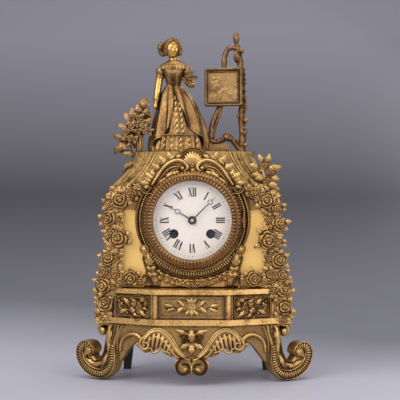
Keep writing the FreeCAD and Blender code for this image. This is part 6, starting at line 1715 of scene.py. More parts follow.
@dataclass
class ApronCarving:
    """The carved work over the pierced apron: arches, curls, rosettes and the hanging shield."""

    front: float = -59.8
    press: float = 0.5

    def centre(self, shape: Shape) -> None:
        """Carves the middle of the apron.

        Args:
            shape: The piece that gets it.
        """
        wall = front_wall(self.front, self.press)
        for side in (-1, 1):
            bow = through(flip(side, ((51.0, 44.0), (47.5, 49.5), (41.0, 55.5), (33.0, 56.5), (26.0, 52.0),
                                      (20.5, 45.0), (15.5, 37.0), (9.0, 30.0), (2.0, 26.5))), 6)
            shape.stroke(wall, bow, 3.1, 3.0, STEPPED, 0.55)
            lower = through(flip(side, ((47.0, 43.5), (40.0, 49.5), (33.0, 49.5), (27.0, 44.0), (22.0, 37.0),
                                        (17.0, 31.5), (12.5, 28.5))), 6)
            shape.stroke(wall, lower, 1.6, 2.0, ROUNDED, 0.5)
            curl = flourish((side * 50.0, 40.0), (side * 44.0, 51.0), [side * k for k in (16, 11, 6, 3)])
            shape.stroke(wall, curl, 1.9, 2.6, ROUNDED, 0.5)
            shape.boss(wall, (side * 50.6, 41.0), 2.7, 3.4)
            shell = through(flip(side, ((46.5, 38.0), (42.0, 38.5), (40.5, 34.0), (35.5, 35.0), (32.5, 38.5),
                                        (28.5, 35.5), (24.0, 34.5), (22.0, 31.0))), 4)
            shape.stroke(wall, shell, 1.5, 1.6, ROUNDED, 0.5)
            for k in range(7):
                top = bow[10 + k * 4]
                share = k / 6
                low = (side * (45.0 - 23.0 * share), 39.5 - 6.0 * share)
                shape.leaf(wall.at(top.x, top.y, 0.2), wall.at(low[0], low[1], 0.6), FRONT, 1.7, 0.1, 2, 0.0,
                           0.5, 7, 5)
            button = ((7.4, -11.2), (7.4, 0.8), (6.4, 2.2), (5.2, 1.2), (4.4, 1.4), (3.0, 3.2), (0.2, 3.8))
            shape.lathe(wall.at(side * 10.6, 21.0), FRONT, [(r, d * self.press) for r, d in button], 26)
            shape.scroll(wall, (10.6, 21.0), (2.0, 29.0), (12, 7, 4), 1.2, 4.2, side)
            shape.leaf(wall.at(side * 4.0, 20.0, 0.2), wall.at(side * 8.5, 12.6, 1.0), FRONT, 2.4, 0.15, 2)
            shape.scroll(wall, (11.0, 52.5), (3.0, 55.0), (-14, -7, 4, 10), 1.2, 2.6, side)
            shape.scroll(wall, (8.0, 46.0), (2.0, 50.0), (13, 8, 3), 1.1, 2.4, side)
            shape.leaf(wall.at(side * 2.0, 44.0, 0.2), wall.at(side * 13.0, 37.5, 0.8), FRONT, 2.6, 0.14, 3)
            shape.leaf(wall.at(side * 3.0, 53.0, 0.2), wall.at(side * 17.0, 58.0, 0.5), FRONT, 2.2, 0.1, 3)
        shape.leaf(wall.at(0, 46.0, 0.4), wall.at(0, 58.5, 0.8), FRONT, 3.6, 0.2, 3)
        shape.leaf(wall.at(0, 43.0, 0.4), wall.at(0, 31.0, 0.8), FRONT, 3.4, 0.2, 3)
        shape.leaf(wall.at(0, 22.0, 0.2), wall.at(0, 11.9, 1.2), FRONT, 3.6, 0.2, 3)
        shape.rose(wall.at(0, 50.0, 1.2), FRONT, 4.2, 1.6, 3)
        shape.boss(wall, (-2.1, 28.0), 1.9, 3.4)
        shape.boss(wall, (2.1, 28.0), 1.9, 3.4)

    def sides(self, shape: Shape, side: int) -> None:
        """Carves the slanted part of the apron on one side.

        Args:
            shape: The piece that gets it.
            side: Minus one for the left, one for the right.
        """
        wall = facet_wall(side)
        bow = through(((42.5, 33.0), (42.0, 40.0), (38.5, 46.5), (31.5, 51.0), (23.5, 51.5), (17.5, 48.0),
                       (15.5, 42.5), (18.5, 39.0), (21.5, 41.5)), 6)
        shape.stroke(wall, bow, 2.2, 2.6, ROUNDED, 0.6)
        shape.boss(wall, (20.2, 41.6), 2.4, 3.2)
        outer = through(((45.5, 33.0), (45.5, 44.0), (42.0, 56.0), (38.5, 60.5)), 6)
        shape.stroke(wall, outer, 1.6, 2.2, STEPPED, 0.6)
        shape.stroke(wall, [Vector((9.0, 43.0)), Vector((8.0, 48.0)), Vector((3.0, 52.0))], 1.5, 1.8, ROUNDED)
        shape.leaf(wall.at(12.0, 52.0, 0.1), wall.at(4.0, 45.0, 0.4), wall.out, 2.2, 0.1, 3)

    def build(self, finishes: Finishes) -> None:
        """Makes the carving.

        Args:
            finishes: The finishes to choose from.
        """
        shape = Shape("apron_carving")
        self.centre(shape)
        for side in (-1, 1):
            self.sides(shape, side)
        shape.place(finishes["gilt_cast"])


@dataclass
class PlinthCarving:
    """Ledge mouldings and the three relief panels of the plinth."""

    low: float = 70.0
    high: float = 92.0

    def frame(self, shape: Shape, wall: Wall, left: float, right: float) -> None:
        """Lays a double fillet round a panel.

        Args:
            shape: The piece that gets it.
            wall: The face that carries it.
            left: Where the panel begins.
            right: Where it ends.
        """
        for grow, width, height in ((0.0, 0.75, 1.5), (2.2, 0.9, 1.9)):
            shape.frame(wall, (left - grow, self.low - grow), (right + grow, self.high + grow), width,
                        height + 0.4, 0.4)

    def middle(self, shape: Shape) -> None:
        """Carves the long low foliage of the middle panel.

        Args:
            shape: The piece that gets it.
        """
        wall = front_wall(PLINTH_CORNER[1] + 0.2)
        mid = (self.low + self.high) / 2
        for side in (-1, 1):
            for a, b, bends, width, height in (
                    ((6.0, -2.5), (15.0, 3.5), (12, 6, -2, -12), 0.8, 1.3),
                    ((16.0, -3.5), (25.5, 0.5), (-11, -5, 5, 12), 0.75, 1.2),
                    ((3.0, 6.0), (10.0, 5.5), (9, -2, -9), 0.7, 1.1)):
                shape.scroll(wall, (a[0], mid + a[1]), (b[0], mid + b[1]), bends, width, height, side)
            shape.leaves(wall, (((9.0, 0.0), (16.5, -6.5), 1.9), ((8.0, 1.0), (14.0, 7.5), 1.6),
                                ((20.0, 1.0), (28.5, 3.0), 1.5), ((18.0, -1.0), (27.0, -4.5), 1.4),
                                ((2.0, -3.0), (7.5, -8.8), 1.7), ((1.0, 3.0), (5.0, 9.5), 1.5)),
                         (0.1, 0.3), 0.1, 3, side, mid)
        shape.rose(wall.at(0, mid, 0.2), FRONT, 4.3, 1.7, 5)
        shape.leaves(wall, (((0, -3), (0, -9.5), 2.0), ((0, 3), (0, 9.8), 2.0)), (0.2, 0.4), 0.12, above=mid)

    def side(self, shape: Shape, side: int) -> None:
        """Carves the bold scrolls of a slanted panel.

        Args:
            shape: The piece that gets it.
            side: Minus one for the left, one for the right.
        """
        wall = facet_wall(side)
        mid = (self.low + self.high) / 2
        for a, b, bends, width, height in (
                ((28.0, -3.2), (39.5, 2.8), (-13.0, -6.5, 1.0, 8.0, 14.0), 1.7, 3.3),
                ((27.0, -2.0), (11.5, -1.5), (11.0, 5.0, 2.5, 4.0, 12.0), 2.0, 3.6),
                ((24.0, 2.5), (9.5, -2.5), (13.0, 5.0, 3.0, -3.0, -14.0), 1.4, 3.0),
                ((33.0, -7.0), (19.0, -6.5), (9.0, -3.0, -5.0, -9.0), 1.3, 2.8),
                ((30.0, 5.0), (42.5, 5.0), (12.0, 2.0, -4.0, -12.0), 1.2, 2.6)):
            shape.scroll(wall, (a[0], mid + a[1]), (b[0], mid + b[1]), bends, width, height)
        shape.boss(wall, (25.8, mid - 4.5), 2.7, 3.6)
        shape.rose(wall.at(25.8, mid + 2.4, 0.6), wall.out, 3.4, 2.6, 11 + side)
        shape.leaves(wall, (((30.0, 1.0), (38.5, 9.0), 2.5), ((19.0, -4.0), (11.0, -9.6), 2.5),
                            ((22.0, 4.0), (30.0, 9.6), 2.3), ((34.0, -3.0), (44.4, -8.4), 2.4),
                            ((19.0, 5.0), (10.5, 9.6), 2.3), ((38.0, 0.5), (44.8, 1.6), 2.0),
                            ((13.5, 1.0), (7.6, 4.6), 2.0), ((27.0, -7.0), (21.5, -10.2), 1.8)),
                     (0.4, 1.0), 0.14, above=mid)
        self.frame(shape, wall, 6.0, 46.0)

    def build(self, finishes: Finishes) -> None:
        """Makes the mouldings and panels.

        Args:
            finishes: The finishes to choose from.
        """
        shape = Shape("plinth_carving")
        self.middle(shape)
        self.frame(shape, front_wall(-59.8, 0.9), -33.0, 33.0)
        for side in (-1, 1):
            self.side(shape, side)
        shape.place(finishes["gilt_cast"])
        ledges = Shape("plinth_ledges")
        half = (PLINTH_TIP, PLINTH_END, PLINTH_CORNER)
        plan = [Vector((-x, y)) for x, y in half] + [Vector(place) for place in reversed(half)]
        for height, drop in ((97.0, 1.6), (94.6, 0.9), (64.6, 1.3), (67.2, 0.8)):
            for a, b in zip(plan, plan[1:]):
                way = (b - a).normalized()
                out = Vector((way.y, -way.x, 0.0))
                run = [Vector((a.x, a.y, height)).lerp(Vector((b.x, b.y, height)), k / 3) for k in range(4)]
                run = [p - out * 0.3 for p in run]
                ledges.sweep(run, out, lambda s, d=drop: d, lambda s, d=drop: d + 0.8, ROUNDED)
        ledges.place(finishes["gilt_ledge"])


# Garlands


@dataclass
class Garlands:
    """The two dense garlands of roses and leaves, their side runs and the loose spray at the right."""

    left: tuple[tuple[float, float, float], ...] = (
        (77.2, 191.6, 9.8), (88.6, 172.3, 8.6), (78.5, 151.0, 10.6), (89.0, 130.4, 8.6), (94.6, 101.8, 9.2),
        (92.6, 82.4, 9.6), (66.0, 109.8, 8.8), (66.0, 199.0, 7.2), (97.0, 67.6, 7.2), (82.0, 113.5, 6.8),
        (80.6, 171.5, 5.8), (81.0, 132.5, 5.6), (88.0, 187.5, 6.2), (88.0, 156.4, 6.6), (93.0, 117.0, 7.0),
        (55.0, 203.5, 5.8), (54.6, 105.2, 5.6), (76.6, 104.8, 6.0), (84.6, 99.8, 5.4))
    right: tuple[tuple[float, float, float], ...] = (
        (78.4, 191.6, 9.6), (90.4, 167.0, 8.4), (79.4, 150.0, 10.6), (90.4, 128.0, 8.8), (95.4, 98.6, 9.2),
        (95.6, 79.4, 9.4), (64.4, 109.0, 8.8), (65.7, 199.4, 7.2), (96.6, 65.6, 6.8), (82.6, 111.4, 7.0),
        (81.8, 170.4, 5.8), (81.6, 131.5, 5.8), (88.8, 183.6, 6.6), (88.8, 146.6, 6.6), (93.8, 113.0, 7.2),
        (54.4, 203.8, 5.8), (53.8, 105.4, 5.6), (75.0, 104.8, 6.2), (85.4, 97.4, 5.6))
    ground_line: tuple[tuple[float, float, float], ...] = (
        (78.0, 206.0, 6.0), (79.6, 198.0, 8.6), (81.6, 188.0, 8.4), (84.4, 173.0, 9.2), (83.6, 158.0, 8.8),
        (83.2, 148.0, 9.2), (84.8, 131.0, 9.6), (86.6, 113.0, 10.6), (90.6, 100.0, 11.0), (94.6, 87.0, 9.2),
        (94.4, 76.0, 8.4), (95.0, 65.0, 9.4))
    upper_line: tuple[tuple[float, float, float], ...] = (
        (44.0, 206.0, 3.6), (54.0, 203.6, 5.2), (64.0, 200.6, 6.6), (76.0, 197.0, 8.0))
    lower_line: tuple[tuple[float, float, float], ...] = (
        (50.0, 104.6, 4.4), (60.0, 106.2, 6.2), (72.0, 105.8, 6.0), (86.0, 105.2, 5.8))

    def face(self, across: float, height: float) -> float:
        """Gives the depth of what carries the garland: the facade, or the plinth's slanted end.

        Args:
            across: The distance from the middle.
            height: The height above the floor, in millimetres.

        Returns:
            The place along Y.
        """
        reach = min(max(across, PLINTH_CORNER[0]), PLINTH_TIP[0])
        plinth = PLINTH_END[1] + (reach - PLINTH_END[0]) * 0.5
        return FACADE_FRONT + (plinth - FACADE_FRONT) * smooth(103.0, 97.0, height)

    def spot(self, side: int, across: float, height: float, proud: float) -> Vector:
        """Gives a place on one garland, by its distance from the middle and its height."""
        return Vector((side * across, self.face(across, height) - proud, height))

    def ground(self, shape: Shape, side: int, line: Sequence[Sequence[float]], rise: float) -> None:
        """Lays the uneven leafy ground that the flowers grow from.

        Args:
            shape: The piece that gets it.
            side: Which garland, minus one for the left.
            line: Places with half their width.
            rise: How far its middle stands proud.
        """
        path = through(line, 9)
        rows = []
        for k, place in enumerate(path):
            ahead = path[min(k + 1, len(path) - 1)] - path[max(k - 1, 0)]
            way = Vector((ahead.x, ahead.y)).normalized()
            row = []
            for c in range(17):
                share = c / 8 - 1
                across, height = place.x - way.y * share * place.z, place.y + way.x * share * place.z
                rough = noise.noise(Vector((across * 0.34, height * 0.34, 4.0 + side)))
                rough += 0.6 * noise.noise(Vector((across * 0.8, height * 0.8, 9.0 + side)))
                proud = rise * (1 - abs(share) ** 2.4) + 2.1 * rough * (1 - share ** 6)
                row.append(self.spot(side, across, height, 0.5 + max(0.0, proud)))
            rows.append(row)
        shape.skin(rows, 1.6)

    def sprig(self, shape: Shape, foot: Vector, lean: float, length: float, side: int, half: float) -> None:
        """Adds one leaf that springs from the garland.

        Args:
            shape: The piece that gets it.
            foot: Where it springs from.
            lean: Its turn in degrees, 0 away from the clock's middle and 90 upwards.
            length: Its length.
            side: Which garland.
            half: Half its width.
        """
        turn = math.radians(lean)
        tip = foot + Vector((side * math.cos(turn) * length, -1.6, math.sin(turn) * length))
        tip.x = max(-109.0, min(109.0, tip.x))
        tip.z = max(62.5, tip.z)
        shape.leaf(foot, tip, Vector((side * 0.2, -1, 0.1)), half, 0.2, 3, 0.08, 0.7, 9, 5)

    def garland(self, side: int, finishes: Finishes) -> None:
        """Makes one garland: its ground, the large roses, buds along both edges and leaves between.

        Args:
            side: Minus one for the left, one for the right.
            finishes: The finishes to choose from.
        """
        name = "right" if side > 0 else "left"
        dice = random.Random(20 + side)
        shape = Shape(name + "_rose_garland_carved")
        self.ground(shape, side, self.ground_line, 3.4)
        self.ground(shape, side, self.upper_line, 2.8)
        self.ground(shape, side, self.lower_line, 2.6)
        for across, height, radius in self.right if side > 0 else self.left:
            lean = Vector((side * (0.22 if across > 86 else 0.0) + dice.uniform(-0.2, 0.2), -1.0,
                           dice.uniform(-0.16, 0.26)))
            shape.rose(self.spot(side, across, height, 3.4), lean, radius, radius * 0.8, dice.randint(1, 999))
            for k in range(6):
                turn = 30 + 60 * k + dice.uniform(-20, 20)
                foot = self.spot(side, across, height, 2.6)
                foot += Vector((side * math.cos(math.radians(turn)), 0,
                                math.sin(math.radians(turn)))) * radius * 0.75
                self.sprig(shape, foot, turn, radius * dice.uniform(0.6, 0.85), side, radius * 0.34)
        path = through(self.ground_line, 9)
        for k in range(48):
            place = path[int((k + 0.5) / 48 * len(path))]
            edge = (-0.85, 0.85, -0.2, 0.45)[k % 4]
            across = place.x + edge * place.z
            height = max(66.0, place.y + dice.uniform(-2.0, 2.0))
            away = (180 if edge < 0 else 0) + dice.uniform(-60, 60)
            foot = self.spot(side, across - math.copysign(3.0, edge), height, 2.4 if abs(edge) > 0.6 else 3.4)
            self.sprig(shape, foot, away, dice.uniform(6.0, 8.0), side, dice.uniform(2.4, 3.2))
            if k % 3 == 0:
                grow = dice.uniform(2.8, 3.8)
                shape.rose(self.spot(side, across - edge * 2.0, height + 2.0, 2.0),
                           Vector((side * 0.15, -1, 0)), grow, grow * 1.2, dice.randint(1, 999))
        for line in (self.upper_line, self.lower_line):
            run = through(line, 6)
            for k in range(12):
                place = run[int((k + 0.5) / 12 * len(run))]
                foot = self.spot(side, place.x, place.y, 3.0)
                self.sprig(shape, foot, (60, 250, 150, 320)[k % 4] + dice.uniform(-25, 25), place.z * 1.25,
                           side, 2.2)
        if side > 0:
            self.spray(shape, dice)
        shape.place(finishes["gilt_rose"], stands_for=(name + "_rose_garland",))

    def spray(self, shape: Shape, dice: random.Random) -> None:
        """Adds the loose spray of flowers and leaves that stands up at the right shoulder.

        Args:
            shape: The piece that gets it.
            dice: What its small differences are drawn from.
        """
        stem = through(((77.0, -38.0, 205.0), (75.0, -39.0, 216.0), (72.0, -39.0, 230.0)), 6)
        shape.sweep(stem, FRONT, lambda s: 3.0 - s, lambda s: 3.0 - s, ROUND)
        for across, height, radius in ((76.4, 228.5, 5.6), (83.0, 221.0, 5.6), (78.5, 213.0, 5.4),
                                       (70.5, 222.0, 4.4)):
            shape.rose(Vector((across, -38.5, height)), Vector((0.25, -1.0, 0.2)), radius, radius * 0.95,
                       dice.randint(1, 999))
        for across, height, lean in ((78, 231, 70), (84, 224, 20), (82, 216, -15), (73, 231, 110),
                                     (69, 226, 160), (80, 222, 45), (75, 216, 190), (81, 211, -35),
                                     (72, 218, 175), (79, 208, 0)):
            self.sprig(shape, Vector((across, -40.0, height)), lean, 9.5, 1, 3.3)

    def build(self, finishes: Finishes) -> None:
        """Makes both garlands."""
        for side in (-1, 1):
            self.garland(side, finishes)


# Dial surround


@dataclass
class Surround:
    """The shell crest over the bezel, and the ribbed bowl, flowers and brackets under it."""

    back: float = -37.0
    crest_back: float = -43.4

    def crest(self, finishes: Finishes) -> None:
        """Makes the pair of scrolls over the bezel, the leaves round them and the palmette between them.

        Args:
            finishes: The finishes to choose from.
        """
        shape = Shape("crest_carving")
        wall = front_wall(self.crest_back)
        upper = ((43.6, 207.0), (46.0, 213.0), (37.5, 223.0), (28.5, 232.0), (19.0, 236.5), (13.0, 238.5),
                 (10.5, 243.0), (4.5, 246.6))
        outline = [(p.x, p.y) for p in arc((0.0, DIAL_HEIGHT), 54.8, 140.0, 40.0, 30)]
        outline += list(upper) + flip(-1, reversed(upper))
        shape.plate(wall, outline, 8.6, 0.9, 0.7)
        for side in (-1, 1):
            bow = through(flip(side, ((42.5, 207.5), (37.6, 215.0), (31.6, 224.0), (24.5, 230.8),
                                      (15.5, 233.8), (8.6, 231.4), (5.2, 226.4), (7.6, 222.4),
                                      (11.4, 224.0))), 7)
            shape.stroke(wall, bow, 3.7, 4.8, STEPPED, 0.6)
            inner = through(flip(side, ((36.5, 210.5), (30.5, 218.5), (24.5, 224.8), (17.0, 227.0),
                                        (13.5, 225.0))), 6)
            shape.stroke(wall, inner, 1.9, 3.4, ROUNDED, 0.5)
            shape.boss(wall, (side * 10.2, 225.2), 2.7, 5.6)
            shape.scroll(wall, (46.5, 206.5), (33.0, 207.6), (-14, -7, -3, 2), 2.0, 3.4, side)
            shape.rose(wall.at(side * 26.6, 219.0, 1.0), FRONT, 3.2, 3.2, 61)
            shape.rose(wall.at(side * 34.4, 209.4, 1.0), FRONT, 2.8, 2.8, 62)
            shape.leaves(wall, (((13, 221.5), (23, 217.5), 2.5), ((19, 221.5), (30, 213.0), 2.3),
                                ((26, 215.5), (38.0, 206.5), 2.3), ((33, 228.0), (27.5, 236.0), 2.2),
                                ((37, 222.0), (35.5, 230.0), 2.3), ((40, 216.0), (43.5, 224.0), 2.4),
                                ((43.5, 210.5), (50.5, 216.0), 2.4), ((25, 233.5), (18.5, 239.0), 2.0),
                                ((7, 219.5), (15.5, 219.8), 1.9), ((44.5, 206.5), (52.0, 205.0), 2.2),
                                ((18, 235.0), (11.0, 240.0), 1.9), ((2.5, 222.0), (4.5, 214.8), 1.7),
                                ((41.0, 213.5), (50.5, 221.0), 2.9), ((35.0, 224.0), (43.5, 230.5), 2.7),
                                ((29.0, 230.0), (35.5, 239.0), 2.5), ((22.0, 234.5), (26.5, 242.5), 2.3),
                                ((45.0, 209.0), (56.0, 211.0), 2.6)), (1.2, 1.8), 0.22, 3, side)
            rim = through([(side * x + 0.5, z) for x, z in ((13.0, 233.0), (11.2, 239.6), (6.4, 244.2),
                                                            (0.0, 246.0))], 6)
            shape.stroke(wall, rim, 2.0, 3.8, RIDGED, 0.75)
        for k in range(9):
            turn = math.radians(15 + 150 * k / 8)
            tip = (0.5 + 10.0 * math.cos(turn), 232.6 + 10.4 * math.sin(turn))
            shape.leaf(wall.at(0.5, 228.5, 1.4), wall.at(tip[0], tip[1], 2.4), FRONT, 1.7, 0.16, 0, 0.05, 0.7,
                       9, 5)
        shape.rose(wall.at(0.5, 229.6, 1.2), FRONT, 3.9, 3.6, 8)
        shape.leaf(wall.at(0.5, 226.0, 1.2), wall.at(0.5, 215.6, 2.0), FRONT, 2.8, 0.2, 3)
        shape.place(finishes["gilt_cast"], stands_for=("rocaille_crest",))

    def bracket(self, shape: Shape, wall: Wall, side: int) -> None:
        """Makes the leafy bracket between the bezel and the plinth on one side.

        Args:
            shape: The piece that gets it.
            wall: The face that carries it.
            side: Minus one for the left, one for the right.
        """
        outline = ((42.6, 141.0), (50.6, 137.6), (53.6, 131.0), (51.6, 124.0), (49.4, 117.0), (49.6, 109.0),
                   (52.0, 101.6), (34.6, 101.6), (34.4, 110.0), (36.8, 118.0), (39.4, 128.0), (41.2, 135.0))
        shape.plate(wall, flip(side, outline), 3.0, 4.4, 0.9)
        outer = through(flip(side, ((50.0, 136.4), (52.2, 130.6), (50.0, 124.0), (47.8, 117.0), (48.0, 109.0),
                                    (49.8, 103.6))), 6)
        shape.stroke(wall, outer, 1.3, 6.4, ROUNDED, 0.6)
        inner = through(flip(side, ((42.6, 136.4), (40.8, 128.0), (38.2, 118.0), (36.0, 110.0),
                                    (36.6, 104.0))), 6)
        shape.stroke(wall, inner, 1.2, 6.0, ROUNDED, 0.6)
        for k, (x, z) in enumerate(((46.6, 131.0), (45.4, 124.6), (43.6, 118.2), (42.4, 111.8))):
            for lean in (-1, 1):
                shape.leaf(wall.at(side * x, z, 4.6),
                           wall.at(side * (x + lean * 4.4), z + 4.6 - k * 0.4, 5.8),
                           FRONT, 2.0, 0.18, 2, 0.05, 0.7, 9, 5)
        shape.leaf(wall.at(side * 44.6, 122.0, 4.8), wall.at(side * 46.4, 137.6, 6.8), FRONT, 3.0, 0.14, 3)
        shape.scroll(wall, (38.0, 104.6), (47.6, 105.0), (15, 8, -8, -15), 1.6, 6.6, side)

    def under(self, row: Row, finishes: Finishes) -> None:
        """Makes the ribbed bowl, the flower swag and the two leaf brackets.

        Args:
            row: The tool that sets small shapes along lines.
            finishes: The finishes to choose from.
        """
        dial = DialSide()
        shape = Shape("swag_carving")
        wall = front_wall(self.back)
        ring = (arc((0.0, DIAL_HEIGHT), 51.6, -34.0, -146.0, 40)
                + arc((0.0, DIAL_HEIGHT), 61.0, -140.0, -40.0, 40))
        shape.plate(wall, ring, 2.0, 4.6, 0.6)
        field_line = [(p.x, p.y) for p in arc((0.0, DIAL_HEIGHT), 60.0, -136.0, -44.0, 24)]
        shape.plate(wall, field_line + [(38.0, 100.2), (-38.0, 100.2)], 2.0, 1.6, 0.6)
        shape.stroke(wall, arc((0.0, DIAL_HEIGHT), 60.6, -142.0, -38.0, 44), 1.5, 6.8, ROUNDED, 0.7)
        dice = random.Random(7)
        for k in range(15):
            share = 2 * k / 14 - 1
            spot = wall.at(share * 37.0, 104.4 + 10.0 * share * share, 3.0)
            shape.rose(spot, FRONT, 5.2 - 1.4 * abs(share) if k != 7 else 6.8, 4.4 if k != 7 else 5.4, 40 + k)
            for turn in (dice.uniform(20, 160), dice.uniform(200, 340)):
                lean = math.radians(turn)
                tip = spot + Vector((math.cos(lean) * 6.6, -1.2, math.sin(lean) * 5.4))
                tip.z = max(tip.z, 100.2)
                shape.leaf(spot + Vector((0, -1.0, 0)), tip, FRONT, 2.0, 0.2, 3, 0.1, 0.5, 7, 5)
        for side in (-1, 1):
            self.bracket(shape, wall, side)
        shape.place(finishes["gilt_rose"], stands_for=("dial_swag",))
        rib = Shape("bowl_rib")
        rib.blob(Vector((0, 0, 0.2)), (1.0, 3.9, 1.7), 6, 8)
        row.run("bowl_ribs", [dial.circle(56.2, self.back - 4.6, 128.0, 232.0, 60)], rib, 40,
                finishes["gilt_cast"])


# Mound


@dataclass
class Mound:
    """The cloth that covers the mound: its folds, its fringe and the ground's small growth."""

    low: float = 204.0
    rise: float = 39.0
    half: float = 87.0
    deep: float = 45.0
    middle: float = 2.0
    folds: tuple[tuple[float, float, float, float], ...] = (
        (14, 8, 4.0, 2.6), (27, 17, 3.0, 4.6), (34, 25, 2.2, 3.4), (41, 33, 2.6, 5.2), (48, 40, 1.9, 3.6),
        (55, 47, 2.6, 5.4), (64, 54, 2.4, 4.2), (74, 63, 3.4, 5.4), (86, 74, 3.2, 4.2), (98, 88, 4.6, 4.6),
        (112, 104, 4.2, 3.8), (124, 119, 3.2, 4.0), (134, 131, 2.4, 3.4), (143, 141, 2.8, 4.2),
        (156, 154, 3.6, 3.4), (170, 169, 4.0, 2.8))
    shares: tuple[tuple[float, float, float], ...] = (
        (0, 1, 1), (0.18, 0.93, 0.99), (0.38, 0.835, 0.975), (0.58, 0.765, 0.96), (0.86, 0.71, 0.94),
        (1, 0.72, 0.94))

    def reach(self, height: float) -> Flat:
        """Gives the mound's half width and half depth at a height.

        Args:
            height: The height above the floor, in millimetres.

        Returns:
            Half the width and half the depth.
        """
        share = min(1.0, max(0.0, (height - self.low) / self.rise))
        for a, b in zip(self.shares, self.shares[1:]):
            if share <= b[0]:
                t = (share - a[0]) / (b[0] - a[0])
                return self.half * (a[1] + (b[1] - a[1]) * t), self.deep * (a[2] + (b[2] - a[2]) * t)
        return self.half * self.shares[-1][1], self.deep * self.shares[-1][2]

    def skin_point(self, turn: float, height: float, proud: float) -> Vector:
        """Gives a point of the mound's side, by its turn in degrees from the front towards the right.

        Args:
            turn: The turn, in degrees.
            height: The height above the floor, in millimetres.
            proud: How far the point stands off the side.

        Returns:
            The point.
        """
        wide, deep = self.reach(height)
        a = math.radians(turn)
        c, s = math.cos(a), math.sin(a)
        x = math.copysign(abs(s) ** (2 / 3.2), s) * (wide + proud)
        y = -math.copysign(abs(c) ** (2 / 3.2), c) * (deep + proud)
        return Vector((x, self.middle + y, height))

    def cloth(self, finishes: Finishes) -> None:
        """Lays the draped cloth round the mound as one closed sheet with broad hanging folds.

        Args:
            finishes: The finishes to choose from.
        """
        shape = Shape("mound_cloth")
        rings = []
        for k in range(25):
            share = k / 24
            height = self.low - 1.2 + (self.rise + 1.4) * share
            ring = []
            for c in range(240):
                turn = c * 1.5 if c < 120 else c * 1.5 - 360.0
                fold = 0.0
                for foot, top, wide, high in self.folds:
                    middle = foot + (top - foot) * share ** 1.3
                    fold += high * hump(abs(turn), middle, wide) * (1.0 - 0.55 * share)
                rough = noise.noise(Vector((math.sin(math.radians(turn)) * 6.0,
                                            math.cos(math.radians(turn)) * 6.0, share * 1.6)))
                ring.append(self.skin_point(turn, height, 1.0 + fold + 0.9 * rough))
            rings.append(ring)
        inner = [[Vector((p.x * 0.86, (p.y - 2) * 0.86 + 2, p.z)) for p in ring]
                 for ring in (rings[-1], rings[0])]
        shape.loops(rings + inner)
        shape.place(finishes["gilt_hatch"], sharp=70.0)

    def hem(self, row: Row, finishes: Finishes) -> None:
        """Lays the hem cord and the fringe that hangs round the mound's foot.

        Args:
            row: The tool that sets small shapes along lines.
            finishes: The finishes to choose from.
        """
        shape = Shape("mound_hem")
        lines = []
        for side in (-1, 1):
            path = []
            for k in range(41):
                share = k / 40
                turn = side * (34.0 + 56.0 * share)
                height = 216.5 - 9.0 * smooth(0.0, 0.55, share)
                path.append(self.skin_point(turn, height, 1.6))
            lines.append(path)
            shape.sweep(path, lambda s, w=side: Vector((w * (0.25 + s), -1.0 + s * 0.9, 0.1)).normalized(),
                        lambda s: 1.3, lambda s: 1.7, RIDGED)
            fold = [self.skin_point(side * t, h, 1.2) for t, h in ((26, 243), (30, 236), (33, 228), (35, 220),
                                                                   (36, 213))]
            shape.sweep(through(fold, 5), Vector((side * 0.4, -1, 0)).normalized(), lambda s: 1.6,
                        lambda s: 2.2, ROUNDED)
            curl = [self.skin_point(side * t, h, 1.0) for t, h in ((58, 240), (66, 230), (74, 220), (84, 212),
                                                                   (90, 209))]
            shape.sweep(through(curl, 5), Vector((side * 1.0, -0.8, 0.2)).normalized(), lambda s: 1.9,
                        lambda s: 2.4, ROUNDED)
        shape.place(finishes["gilt_cast"])
        thread = Shape("fringe_thread")
        thread.blob(Vector((0, -2.2, 0.1)), (0.62, 2.7, 0.75), 6, 6)
        for name, side, path in zip(("left", "right"), (-1, 1), lines):
            row.run(name + "_fringe", [list(reversed(path)) if side < 0 else path], thread, 46,
                    finishes["gilt_cast"], out=Vector((side * 0.55, -0.8, 0.1)))

    def growth(self, scatter: Scatter, finishes: Finishes) -> None:
        """Strews small leaves over the mound's top.

        Args:
            scatter: The tool that strews small shapes.
            finishes: The finishes to choose from.
        """
        ground = Shape("ground")
        ring = [self.skin_point(3.6 * k, 243.3, -7.0) for k in range(100)]
        ground.add(ring, [tuple(range(100))])
        tuft = Shape("tuft")
        for turn in (0.4, 2.5, 4.6):
            tip = Vector((math.cos(turn) * 3.2, math.sin(turn) * 3.2, 0.5))
            tuft.leaf(Vector(), tip, UP, 1.1, 0.25, 0, 0.1, 0.35, 5, 3)
        scatter.run("ground_leaves", ground, tuft, 6.0, finishes["gilt_cast"])

    def build(self, row: Row, scatter: Scatter, finishes: Finishes) -> None:
        """Makes the cloth, hem, fringe and growth.

        Args:
            row: The tool that sets small shapes along lines.
            scatter: The tool that strews small shapes.
            finishes: The finishes to choose from.
        """
        self.cloth(finishes)
        self.hem(row, finishes)
        self.growth(scatter, finishes)


# Figure


